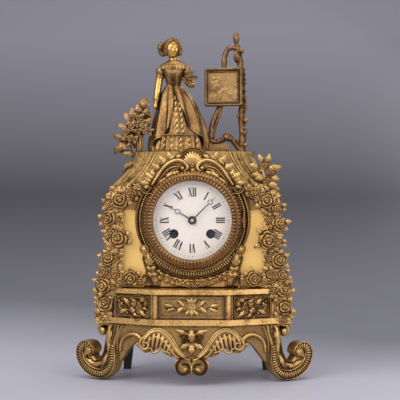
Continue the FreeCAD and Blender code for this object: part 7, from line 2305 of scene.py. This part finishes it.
@dataclass
class Figure:
    """The standing painter: folded skirts, laced bodice, arms, palette and a calm, general head."""

    centre_y: float = -8.0
    head_at: tuple[float, float, float] = (-23.6, -9.0, 355.4)
    skull: tuple[float, float, float] = (8.4, 8.8, 10.8)
    turn: float = 17.0

    def skirt_line(self, height: float) -> tuple[float, float]:
        """Gives the skirt's middle and half width at a height.

        Args:
            height: The height above the floor, in millimetres.

        Returns:
            The middle across the clock, and half the width.
        """
        table = ((243, -16.5, 32.4), (257, -16.4, 30.4), (271, -16.6, 27.6), (282, -17.2, 24.6),
                 (293, -18.2, 21.0), (302, -19.4, 17.8), (308, -20.8, 14.4), (314, -22.2, 8.8),
                 (320, -22.4, 7.6))
        for a, b in zip(table, table[1:]):
            if height <= b[0]:
                t = (height - a[0]) / (b[0] - a[0])
                return a[1] + (b[1] - a[1]) * t, a[2] + (b[2] - a[2]) * t
        return table[-1][1], table[-1][2]

    def cloth_point(self, turn: float, height: float, proud: float, folds: float, depth: float) -> Vector:
        """Gives a point of a folded skirt, by its turn in radians from the front towards the right.

        Args:
            turn: The turn, in radians.
            height: The height above the floor, in millimetres.
            proud: How far the point stands off the skirt.
            folds: How many folds go round.
            depth: The share of the width that they take.

        Returns:
            The point.
        """
        middle, wide = self.skirt_line(height)
        drop = (314.0 - height) / 71.0
        wave = math.cos(folds * turn + 1.7 * math.sin(3 * turn) + 1.1 * drop * math.sin(2 * turn + 0.6))
        ridge = (0.5 + 0.5 * wave) ** 1.4 - 0.62
        swell = 1.0 + depth * ridge * (0.25 + 0.75 * min(1.0, drop * 1.3))
        wide = min(wide * swell + proud, 34.0)
        return Vector((middle + math.sin(turn) * wide, self.centre_y - math.cos(turn) * wide * 0.775, height))

    def skirts(self, row: Row, finishes: Finishes) -> None:
        """Makes the underskirt with its flounce and the open overskirt.

        Args:
            row: The tool that sets small shapes along lines.
            finishes: The finishes to choose from.
        """
        shape = Shape("figure_underskirt")
        rings = []
        for k in range(41):
            height = 243.4 + (316.0 - 243.4) * k / 40
            flare = 1.0 * hump(height, 262.0, 1.2) + 0.9 * smooth(262.0, 245.0, height)
            rings.append([self.cloth_point(2 * math.pi * c / 144, height, flare - 2.4,
                                           26.0 if height < 262 else 15.0, 0.075) for c in range(144)])
        shape.rings(rings)
        shape.place(finishes["gilt_lace"], stands_for=("figure_skirt",), sharp=70.0)
        over = Shape("figure_overskirt")
        rows = []
        for k in range(37):
            share = k / 36
            line = []
            for c in range(161):
                across = 2 * c / 160 - 1
                open_half = 0.04 + 0.36 * smooth(0.0, 0.75, share) + 0.62 * smooth(0.68, 1.0, share)
                turn = math.pi + across * (math.pi - open_half)
                turn += 0.10 * smooth(0.1, 0.9, share)
                hem = 245.2 + 5.0 * smooth(0.75, 1.0, abs(across))
                height = 315.0 - (315.0 - hem) * share
                roll = 1.4 * smooth(0.93, 1.0, abs(across))
                line.append(self.cloth_point(turn, height, 0.7 + roll + 0.6 * smooth(0.9, 1.0, share), 13.0,
                                             0.205))
            rows.append(line)
        over.skin(rows, 1.0)
        over.place(finishes["gilt_cloth"], sharp=70.0)
        bead = Shape("hem_bead")
        bead.blob(Vector((0, 0, 0.2)), (0.8, 0.62, 0.7), 5, 7)
        hem_line = [self.cloth_point(-1.15 + 2.3 * k / 60, 261.5, 0.1, 20.0, 0.04) for k in range(61)]
        row.run("flounce_beads", [hem_line], bead, 48, finishes["gilt_cast"])
        vine = Shape("underskirt_embroidery")
        for k in range(9):
            height = 250.0 + k * 6.2 if k > 1 else 248.0 + k * 6.0
            spread = 0.26 if k > 1 else 0.8
            for s in ((-0.8, -0.4, 0.0, 0.4, 0.8) if k < 2 else (-0.55, 0.3)):
                foot = self.cloth_point(0.08 + s * spread, height, -1.2, 15.0, 0.05)
                tip = self.cloth_point(0.08 + s * spread + 0.07, height + 4.2, -0.4, 15.0, 0.05)
                vine.leaf(foot, tip, FRONT, 1.15, 0.1, 2, 0.05, 0.4, 7, 5)
                vine.blob(foot + Vector((0, -0.5, 0)), (0.9, 0.7, 0.9), 5, 7)
        vine.place(finishes["gilt_cast"])

    def bodice(self, finishes: Finishes) -> None:
        """Makes the laced bodice, the wide collar and the short puffed sleeves.

        Args:
            finishes: The finishes to choose from.
        """
        shape = Shape("figure_bodice_dress")
        table = ((311.5, -22.3, -8.0, 8.6, 6.6), (315, -22.3, -8.0, 7.6, 6.0), (319, -22.3, -8.2, 8.2, 6.5),
                 (324, -22.2, -8.8, 9.8, 7.7), (329, -22.2, -9.3, 11.6, 8.8), (333, -22.1, -8.9, 13.4, 8.4),
                 (336.5, -22.1, -8.3, 14.4, 7.2), (339.5, -22.1, -8.0, 12.6, 6.0),
                 (341.6, -22.1, -7.8, 8.6, 5.2), (343.2, -22.1, -7.8, 5.8, 4.7))
        rings = []
        for z, x, y, wide, deep in table:
            ring = []
            for c in range(48):
                a = 2 * math.pi * c / 48
                bust = 1.5 * hump(z, 329.5, 4.0) * (hump(math.sin(a), 0.5, 0.32)
                                                    + hump(math.sin(a), -0.5, 0.32))
                bust *= 1.0 if math.cos(a) > 0 else 0.0
                ring.append(Vector((x + math.sin(a) * wide, y - math.cos(a) * deep - bust, z)))
            rings.append(ring)
        shape.rings(rings)
        point = [(-22.3, 306.5), (-26.5, 312.0), (-28.6, 316.5), (-16.2, 316.5), (-18.2, 312.0)]
        shape.plate(Wall(Vector((0, -14.0, 0)), Vector((1, 0, 0)), FRONT), point, 3.0, 0.6, 0.5)
        for k in range(5):
            z = 313.0 + k * 3.4
            y = -14.4 - 0.9 * k
            wall = front_wall(y)
            for side in (-1, 1):
                shape.stroke(wall, [Vector((-22.3 + side * 2.6, z + 1.6)), Vector((-22.3, z + 0.7)),
                                    Vector((-22.3 - side * 2.6, z - 0.2))], 0.45, 0.8, ROUNDED, 0.8)
        shape.place(finishes["gilt_cloth"], stands_for=("figure_bodice",), sharp=60.0)
        lace = Shape("figure_collar")
        rows = []
        for r in range(7):
            v = r / 6
            line = []
            for c in range(97):
                a = 2 * math.pi * c / 96
                ruffle = 0.55 * v * math.cos(22 * a)
                wide, deep = 11.2 + 5.2 * v + ruffle, 5.9 + 4.2 * v + ruffle
                z = 340.4 - 6.2 * v * v - 1.4 * math.cos(a) * (1 - v) * 1.4 - 1.2 * max(0.0, math.cos(a)) * v
                line.append(Vector((-22.1 + math.sin(a) * wide, -8.0 - math.cos(a) * deep, z)))
            rows.append(line)
        lace.skin(rows, 0.7)
        lace.rose(Vector((-22.1, -17.6, 334.2)), FRONT, 2.4, 2.0, 12)
        for side in (-1, 1):
            x = -22.1 + side * 14.4
            lace.blob(Vector((x, -8.0, 331.0)), (5.0, 5.2, 6.6), 14, 40,
                      lambda w: Vector((w.x * 5.0, w.y * 5.2, w.z * 6.6)) *
                      (1 + 0.055 * math.cos(12 * math.atan2(w.y, w.x)) * (1 - w.z * w.z)))
            cuff = [Vector((x + 4.1 * math.cos(a), -8 + 4.1 * math.sin(a), 325.4)) for a in
                    (2 * math.pi * k / 24 for k in range(24))]
            lace.sweep(cuff, UP, lambda s: 0.9, lambda s: 1.3, ROUND, True)
        lace.place(finishes["gilt_lace"], sharp=60.0)

    def hand(self, shape: Shape, wrist: Vector, way: Vector, side: Vector) -> None:
        """Adds a small closed hand with a thumb and four bent fingers.

        Args:
            shape: The piece that gets it.
            wrist: Where the arm ends.
            way: The way that the hand points.
            side: The way that the palm looks.
        """
        way, side = way.normalized(), side.normalized()
        palm = wrist + way * 3.4
        shape.sweep([wrist - way, wrist + way * 1.4, palm, palm + way * 1.6], side,
                    lambda s: 2.1 + 1.0 * math.sin(2.6 * s), lambda s: 2.3, ROUND)
        across = way.cross(side)
        for k in range(4):
            base = palm + way * 0.6 + across * (k - 1.5) * 1.25
            knuckle = base + way * (2.4 - 0.3 * abs(k - 1.4)) + side * 0.4
            tip = knuckle + way * 0.6 + side * 2.4
            shape.sweep([base, knuckle, knuckle + way * 0.9 + side * 1.1, tip], side,
                        lambda s: 0.85 - 0.2 * s, lambda s: 0.9 - 0.2 * s, ROUND)
        thumb = palm + across * 2.8
        shape.sweep([palm - way * 1.0 + across * 1.4, thumb, thumb + way * 2.2 + side * 1.2], side,
                    lambda s: 0.95 - 0.3 * s, lambda s: 0.95 - 0.3 * s, ROUND)

    def arms(self, finishes: Finishes) -> None:
        """Makes the hanging arm, the bent arm and the palette with its brushes.

        Args:
            finishes: The finishes to choose from.
        """
        right = Shape("figure_right_arm_dress")
        line = through(((-36.6, -8.0, 329.0), (-38.2, -8.4, 320.0), (-39.6, -9.4, 310.0),
                        (-40.4, -11.5, 303.0), (-40.9, -13.6, 297.0)), 6)
        right.sweep(line, Vector((0, -1, 0)), lambda s: 4.3 - 1.6 * s + 0.4 * hump(s, 0.5, 0.2),
                    lambda s: 4.2 - 1.5 * s, ROUND)
        for drop, reach in ((301.6, 3.5), (299.8, 3.3)):
            band = [Vector((-40.6 + reach * math.cos(a), -12.4 + reach * math.sin(a), drop)) for a in
                    (2 * math.pi * k / 20 for k in range(20))]
            right.sweep(band, UP, lambda s: 0.7, lambda s: 0.9, ROUND, True)
        self.hand(right, Vector((-40.9, -13.8, 296.6)), Vector((0.05, -0.2, -1)), Vector((0.7, -0.7, 0)))
        right.place(finishes["gilt_skin"], stands_for=("figure_right_arm",), sharp=60.0)
        left = Shape("figure_left_arm_dress")
        line = through(((-7.4, -8.0, 329.0), (-4.4, -8.6, 322.0), (-2.2, -10.0, 316.5), (-3.6, -14.6, 315.6),
                        (-7.4, -19.6, 317.4)), 6)
        left.sweep(line, Vector((0, -1, 0.2)), lambda s: 4.1 - 1.6 * s, lambda s: 4.1 - 1.6 * s, ROUND)
        self.hand(left, Vector((-7.4, -19.4, 317.6)), Vector((-0.5, -0.9, 0.5)), Vector((0.2, -0.2, 1)))
        left.place(finishes["gilt_skin"], stands_for=("figure_left_arm",), sharp=60.0)
        tools = Shape("palette_and_brushes")
        rim, middle = [], Vector((-4.0, -20.6, 322.8))
        for k in range(40):
            a = 2 * math.pi * k / 40
            grow = 1.0 - 0.34 * hump(a, 4.1, 0.35)
            rim.append((8.6 * math.cos(a) * grow, 6.4 * math.sin(a) * grow))
        wall = Wall(middle, Vector((1.0, 0.0, 0.1)).normalized(), Vector((-0.1, -0.42, 0.9)).normalized(),
                    Vector((0.0, 0.9, 0.42)).normalized())
        tools.plate(wall, rim, 1.7, 0.6, 0.3)
        for k, a in enumerate((0.2, 0.9, 1.6, 2.3, 3.0)):
            tools.blob(wall.at(6.4 * math.cos(a), 4.2 * math.sin(a), 0.6), (1.0, 0.9, 0.6), 5, 8)
        for shift in (-0.9, 0.0, 0.9):
            tools.sweep([Vector((-8.6, -21.0, 318.4)), Vector((-4.0 + shift, -21.4, 325.0)),
                         Vector((0.2 + shift * 2.6, -21.8, 330.6))], FRONT, lambda s: 0.42, lambda s: 0.42,
                        ROUND)
        tools.place(finishes["gilt_bark"])

    def face_point(self, way: Vector) -> Vector:
        """Shapes the skull: general proportions, eyes half way up, calm and even.

        Args:
            way: The way from the skull's middle.

        Returns:
            The point, from that middle.
        """
        a, b, c = way.x, way.y, way.z
        side, deep, tall = self.skull
        low = smooth(0.0, 1.0, -c)
        x = a * side * (1 - 0.26 * low)
        y = b * deep * (1 - 0.10 * max(0.0, b)) + 0.4 * low
        z = c * tall
        front = smooth(0.15, 0.6, b)
        pair = abs(a)
        relief = 1.55 * hump(a, 0, 0.105) * smooth(0.10, -0.24, c) * smooth(-0.34, -0.27, c)
        relief += 0.5 * hump(a, 0, 0.12) * hump(c, 0.02, 0.14)
        relief += 0.35 * hump(pair, 0.13, 0.06) * hump(c, -0.26, 0.045)
        relief -= 0.75 * hump(pair, 0.30, 0.14) * hump(c, 0.03, 0.085)
        relief += 0.55 * hump(pair, 0.30, 0.10) * hump(c, 0.02, 0.05)
        relief += 0.30 * hump(pair, 0.30, 0.12) * hump(c, 0.075, 0.018)
        relief += 0.38 * hump(pair, 0.30, 0.17) * hump(c, 0.17, 0.045)
        relief += 0.50 * hump(a, 0, 0.15) * hump(c, -0.425, 0.03)
        relief += 0.55 * hump(a, 0, 0.125) * hump(c, -0.495, 0.034)
        relief -= 0.25 * hump(a, 0, 0.16) * hump(c, -0.46, 0.014)
        relief -= 0.30 * hump(a, 0, 0.2) * hump(c, -0.565, 0.04)
        relief += 0.85 * hump(a, 0, 0.2) * hump(c, -0.72, 0.11)
        relief += 0.35 * hump(pair, 0.46, 0.16) * hump(c, -0.14, 0.16)
        return Vector((x, y + relief * front, z))

    def hair_point(self, way: Vector) -> Vector:
        """Shapes the parted hair, drawn back to the side over the ears, and tucks it under the face.

        Args:
            way: The way from the skull's middle.

        Returns:
            The point, from that middle.
        """
        a, b, c = way.x, way.y, way.z
        face = smooth(0.10, 0.26, b - 1.15 * max(0.0, c - 0.34 + 0.5 * abs(a))
                      - 1.0 * max(0.0, abs(a) - 0.56))
        neck = smooth(-0.45, -0.85, c)
        strand = 0.024 * math.cos(38 * (b + 0.3 * c)) * (1 - face)
        part = -0.07 * hump(a, 0.0, 0.05) * smooth(0.2, 0.7, c)
        over_ears = 0.15 * hump(abs(a), 0.85, 0.25) * hump(c, -0.05, 0.5)
        grow = 1.15 + strand + 1.4 * part + over_ears - 0.36 * face - 0.34 * neck
        side, deep, tall = self.skull
        return Vector((a * side, b * deep, c * tall)) * grow

    def head(self, finishes: Finishes) -> None:
        """Makes the neck, face, parted hair and the gathered curls.

        Args:
            finishes: The finishes to choose from.
        """
        centre = Vector(self.head_at)
        spin = Matrix.Rotation(math.radians(180.0 + self.turn), 3, "Z")
        nod = Matrix.Rotation(math.radians(6.0), 3, "X")

        def fit(shape: Callable[[Vector], Vector]) -> Callable[[Vector], Vector]:
            """Turns a shape of the head the way that she looks."""
            return lambda way: spin @ (nod.inverted() @ shape(way))

        skin = Shape("figure_head_dress")
        skin.blob(centre, self.skull, 84, 110, fit(self.face_point))
        neck = through(((-22.2, -7.2, 338.0), (-22.4, -7.4, 343.0), (-22.8, -7.4, 348.5),
                        (-23.2, -7.0, 353.0)), 4)
        skin.sweep(neck, FRONT, lambda s: 8.2 - 3.4 * smooth(0.0, 0.5, s),
                   lambda s: 5.6 - 1.2 * smooth(0.0, 0.5, s), ROUND)
        skin.place(finishes["gilt_skin"], stands_for=("figure_head",), sharp=80.0)
        hair = Shape("figure_hair")
        hair.blob(centre, self.skull, 48, 96, fit(self.hair_point))
        dice = random.Random(5)
        for k in range(11):
            turn = 2 * math.pi * k / 11
            spot = centre + Vector((-9.8 + 3.4 * math.cos(turn), 2.2 + 1.6 * math.sin(2 * turn),
                                    0.4 + 5.2 * math.sin(turn)))
            size = dice.uniform(2.6, 3.4)
            hair.blob(spot, (size,) * 3, 8, 16, lambda w, r=size: w * r * (1 + 0.08 * math.cos(9 * w.z * 2)))
        for k in range(3):
            spot = centre + Vector((8.4, 0.6, 0.6 - 3.0 * k))
            hair.blob(spot, (2.5 - 0.3 * k,) * 3, 8, 14,
                      lambda w, r=2.5 - 0.3 * k: w * r * (1 + 0.08 * math.cos(12 * w.z)))
        hair.place(finishes["gilt_hair"], sharp=60.0)

    def build(self, row: Row, finishes: Finishes) -> None:
        """Makes the whole figure.

        Args:
            row: The tool that sets small shapes along lines.
            finishes: The finishes to choose from.
        """
        self.skirts(row, finishes)
        self.bodice(finishes)
        self.arms(finishes)
        self.head(finishes)


# Easel and shrub


@dataclass
class EaselSet:
    """The easel of gnarled branches with its leaves, and the framed picture with a plain landscape relief."""

    depth: float = 6.0

    def branch(self, shape: Shape, points: Sequence[Sequence[float]], thick: float, thin: float,
               seed: int) -> None:
        """Adds a knotty branch.

        Args:
            shape: The piece that gets it.
            points: Points of its middle line.
            thick: Half its width at its first end.
            thin: Half its width at its last end.
            seed: The seed that places its knots.
        """
        dice = random.Random(seed)
        line = through([(x, self.depth + y, z) for x, y, z in points], 9)
        knots = [dice.random() for _ in range(7)]

        def size(share: float) -> float:
            """Gives half the width at a share of the way, knots and all."""
            knot = sum(0.22 * hump(share, k, 0.02) for k in knots)
            return (thick + (thin - thick) * share) * (1 + knot)
        gnarl = [(a * (1 + 0.1 * math.cos(3 * k)), b * (1 + 0.1 * math.sin(4 * k)))
                 for k, (a, b) in enumerate(ROUND)]
        shape.sweep(line, FRONT, size, size, gnarl)

    def easel(self, finishes: Finishes) -> None:
        """Makes the branches, vine leaves and the knot of ribbon at the top.

        Args:
            finishes: The finishes to choose from.
        """
        shape = Shape("easel_branches")
        self.branch(shape, ((52.0, 0, 241.5), (51.2, 0, 252.0), (52.4, 0, 266.0), (50.6, 0, 281.0),
                            (52.0, 0, 297.0), (51.2, 0, 315.0), (50.4, 0, 332.0), (48.6, 0, 348.0),
                            (46.4, 0, 361.0)), 4.0, 2.9, 1)
        self.branch(shape, ((17.4, 0, 256.5), (17.6, 0, 264.0), (18.8, 0, 274.0), (22.6, 0, 284.0),
                            (26.8, 0, 294.0), (29.6, 0, 312.0), (31.4, 0, 332.0), (32.4, 0, 348.0),
                            (35.6, 0, 356.6), (41.5, 0, 358.6), (47.0, 0, 357.0)), 3.2, 2.4, 2)
        self.branch(shape, ((15.6, 0, 258.0), (22.0, 0, 255.6), (29.0, 0, 257.6), (34.8, 0, 260.8),
                            (41.0, 0, 258.0), (46.0, 0, 252.0), (50.6, 0, 245.0)), 2.8, 3.2, 3)
        self.branch(shape, ((19.5, 0, 262.0), (23.0, -1, 274.0), (27.5, -1, 286.0), (29.8, -1, 296.0)), 1.5,
                    1.3, 4)
        self.branch(shape, ((17.0, 0, 257.5), (18.0, 0, 250.0), (19.5, 0, 242.0)), 2.2, 2.8, 5)
        self.branch(shape, ((48.5, 1, 350.0), (51.5, 1, 345.0), (53.0, 1, 339.0)), 1.4, 0.8, 6)
        shape.blob(Vector((35.4, 6.0, 260.8)), (5.0, 4.2, 4.8), 12, 18,
                   lambda w: Vector((w.x * 5.0, w.y * 4.2, w.z * 4.8))
                   * (1 + 0.09 * math.cos(7 * math.atan2(w.x, w.z))))
        finial = Vector((45.4, 6.0, 369.0))
        shape.blob(finial, (3.2, 2.6, 6.8), 14, 16,
                   lambda w: Vector((w.x * 3.2, w.y * 2.6, w.z * 6.8))
                   * (1 + 0.05 * math.cos(8 * math.atan2(w.y, w.x))))
        shape.blob(Vector((46.4, 5.4, 361.6)), (3.0, 2.8, 1.5), 8, 12)
        dice = random.Random(31)
        for z, side, long in ((342, -1, 13), (352, 1, 8), (334, 1, 8), (327, 1, 7), (318, 1, 8), (309, 1, 7),
                              (300, 1, 9), (291, 1, 9), (283, -1, 8), (276, 1, 10), (268, 1, 8), (262, 1, 7),
                              (255, -1, 7), (249, 1, 9), (288, 1, 7), (323, 1, 6)):
            foot = Vector((50.8 - max(0, z - 330) * 0.13 + side * 2.0, 4.0, z))
            tip = foot + Vector((side * long * dice.uniform(0.35, 0.6), -3.0, long * dice.uniform(0.2, 0.8)))
            if z == 342:
                tip = foot + Vector((-3.0, -3.2, 12.5))
            shape.leaf(foot, tip, Vector((side * 0.2, -1, 0.2)), long * 0.3, 0.18, 3, 0.1, 0.6, 9, 5)
            shape.blob(foot + Vector((side * 0.8, -1.5, -1.2)), (1.0, 1.0, 1.0), 5, 8)
        shape.place(finishes["gilt_bark"], stands_for=("easel",), sharp=60.0)

    def picture(self, finishes: Finishes) -> None:
        """Makes the framed picture: hills, a tree and clouds in low relief.

        Args:
            finishes: The finishes to choose from.
        """
        lean = math.radians(-12.0)
        right = Vector((math.cos(lean), math.sin(lean), 0.0))
        out = Vector((math.sin(lean), -math.cos(lean), 0.0))
        wall = Wall(Vector((31.5, -4.0, 314.5)) + out * 1.5, right, out)
        frame = Shape("easel_picture_frame")
        frame.plate(wall, ((-20.6, -20.2), (20.6, -20.2), (20.6, 20.2), (-20.6, 20.2)), 4.6, -0.9, 0.3)
        for half, width, height in ((19.4, 1.5, 2.4), (16.6, 1.0, 1.5)):
            frame.frame(wall, (-half, -half), (half, half), width, height, 1.4)
        frame.place(finishes["gilt_picture"], stands_for=("easel_picture",))
        land = Shape("easel_picture_relief")
        rows = []
        for r in range(45):
            v = -15.8 + 31.6 * r / 44
            line = []
            for c in range(45):
                u = -15.8 + 31.6 * c / 44
                near = noise.fractal(Vector((u * 0.14, v * 0.14, 2.0)), 1.0, 2.0, 4)
                hill = smooth(1.5, -1.5, v + 5.0 - 3.4 * math.sin(u * 0.21 + 0.8))
                far = smooth(1.2, -1.2, v - 1.0 - 2.2 * math.sin(u * 0.33 + 2.6))
                crown = hump(math.hypot(u + 6.5, (v - 3.5) * 0.9), 0.0, 5.2) * (1 + 0.5 * near)
                trunk = hump(u + 6.3, 0.0, 0.9) * smooth(4.0, 1.0, v) * smooth(-8.0, -6.0, v)
                sky = (0.25 * smooth(0.1, 0.6, noise.noise(Vector((u * 0.12, v * 0.25, 9.0))))
                       * smooth(3.0, 7.0, v))
                high = 0.42 * hill + 0.3 * far + 0.75 * crown + 0.4 * trunk + sky + 0.28 * near
                line.append(wall.at(u, v, -1.15 + 1.25 * high))
            rows.append(line)
        land.skin(rows, -0.5)
        land.place(finishes["gilt_picture"], sharp=80.0)

    def build(self, finishes: Finishes) -> None:
        """Makes the easel and its picture."""
        self.easel(finishes)
        self.picture(finishes)


@dataclass
class Shrub:
    """The flowering shrub at the left: a bundle of stems, pointed leaves and cup blossoms."""

    foot: tuple[float, float, float] = (-60.0, -20.0, 222.0)
    leaves: tuple[tuple[float, float, float, float, float], ...] = (
        (-58, 284, -52.3, 302.4, 4.4), (-60, 280, -59.5, 296, 3.9), (-62, 276, -66.5, 290.5, 4.0),
        (-63, 270, -75.2, 285.5, 3.8), (-66, 262, -81.8, 274.5, 3.8), (-68, 256, -86.0, 262, 4.2),
        (-71, 254, -86.0, 246, 4.6), (-55, 280, -49.5, 291, 3.6), (-52, 272, -45.6, 279.5, 3.0),
        (-63, 240, -79.0, 244.5, 3.6), (-62, 234, -71.5, 227, 3.2), (-60, 276, -53.5, 284, 3.0),
        (-66, 268, -70, 277, 3.0), (-70, 262, -76, 256, 3.2), (-64, 266, -73, 268, 3.0),
        (-56, 270, -60, 279, 3.2), (-57, 262, -51, 272, 2.8), (-65, 256, -71, 249, 3.0),
        (-62, 285, -57, 291, 3.0), (-58, 290, -50.5, 297, 2.6))
    blossoms: tuple[tuple[float, float, float], ...] = (
        (-53.4, 268.7, 3.2), (-47.9, 265.6, 3.0), (-57.8, 280.0, 3.3), (-66.5, 271.5, 3.4),
        (-72.0, 265.0, 3.0), (-63.5, 257.0, 2.9), (-59.0, 266.0, 2.8), (-69.0, 258.5, 2.6),
        (-54.0, 276.0, 2.6), (-61.5, 274.0, 2.8))

    def build(self, finishes: Finishes) -> None:
        """Makes the shrub.

        Args:
            finishes: The finishes to choose from.
        """
        shape = Shape("shrub_growth")
        dice = random.Random(9)
        foot = Vector(self.foot)
        for k in range(11):
            target = self.leaves[k]
            spread = Vector((dice.uniform(-3.2, 3.2), dice.uniform(-3.0, 3.0), 0))
            top = Vector((target[0], foot.y + dice.uniform(-4, 4), target[1]))
            bend = foot.lerp(top, 0.5) + Vector((1.5, 0, 3.0)) + spread * 0.6
            shape.sweep(through((foot + spread * 0.8 - Vector((0, 0, 4)), bend, top), 6), FRONT,
                        lambda s: 1.5 - 0.8 * s, lambda s: 1.5 - 0.8 * s, ROUND)
        for x0, z0, x1, z1, half in self.leaves:
            for layer in range(3):
                y = foot.y + dice.uniform(-4.0, 4.0) + layer * 4.0
                shift = dice.uniform(-3.4, 3.4) * layer
                tip = Vector((max(-86.4, x1 + shift), y - 2.5, min(302.6, z1 - abs(shift))))
                shape.leaf(Vector((x0 + shift, y + 1.0, z0)), tip, Vector((0.15, -1, 0.25)), half, 0.16, 3,
                           0.14, 0.6)
        for x, z, size in self.blossoms:
            spot = Vector((x, foot.y - 4.0, z))
            look = Vector((dice.uniform(-0.3, 0.3), -1, dice.uniform(-0.1, 0.4)))
            shape.rose(spot, look, size * 1.25, size * 1.1, dice.randint(1, 999))
            for turn in (0.6, 2.7, 4.8):
                lean = turn + dice.uniform(-0.4, 0.4)
                tip = spot + Vector((math.cos(lean) * size * 2.1, -0.6, math.sin(lean) * size * 2.1))
                shape.leaf(spot, tip, FRONT, size * 0.6, 0.2, 2, 0.1, 0.5, 7, 5)
        for turn in range(6):
            a = turn * 1.05
            tip = foot + Vector((math.cos(a) * 9.0, math.sin(a) * 7.0 - 2.0, 3.0))
            shape.leaf(foot + Vector((0, -2, 2)), tip, Vector((0, -0.6, 0.8)), 3.0, 0.35, 3)
        shape.place(finishes["gilt_shrub"], stands_for=("shrub",), sharp=60.0)


def main() -> None:
    """Loads the frame, dresses it and builds every sub-assembly in order."""
    logging.basicConfig(level=logging.INFO, format="%(message)s")
    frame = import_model()
    finishes = Finishes()
    finishes.build()
    Studio().build()
    dress_packed_parts(frame, finishes)
    row, scatter = Row(), Scatter()
    DialSide().build(row, finishes)
    FrontFeet().build(row, finishes)
    ApronCarving().build(finishes)
    PlinthCarving().build(finishes)
    Garlands().build(finishes)
    surround = Surround()
    surround.crest(finishes)
    surround.under(row, finishes)
    Mound().build(row, scatter, finishes)
    Figure().build(row, finishes)
    EaselSet().build(finishes)
    Shrub().build(finishes)


if __name__ == "__main__":
    main()
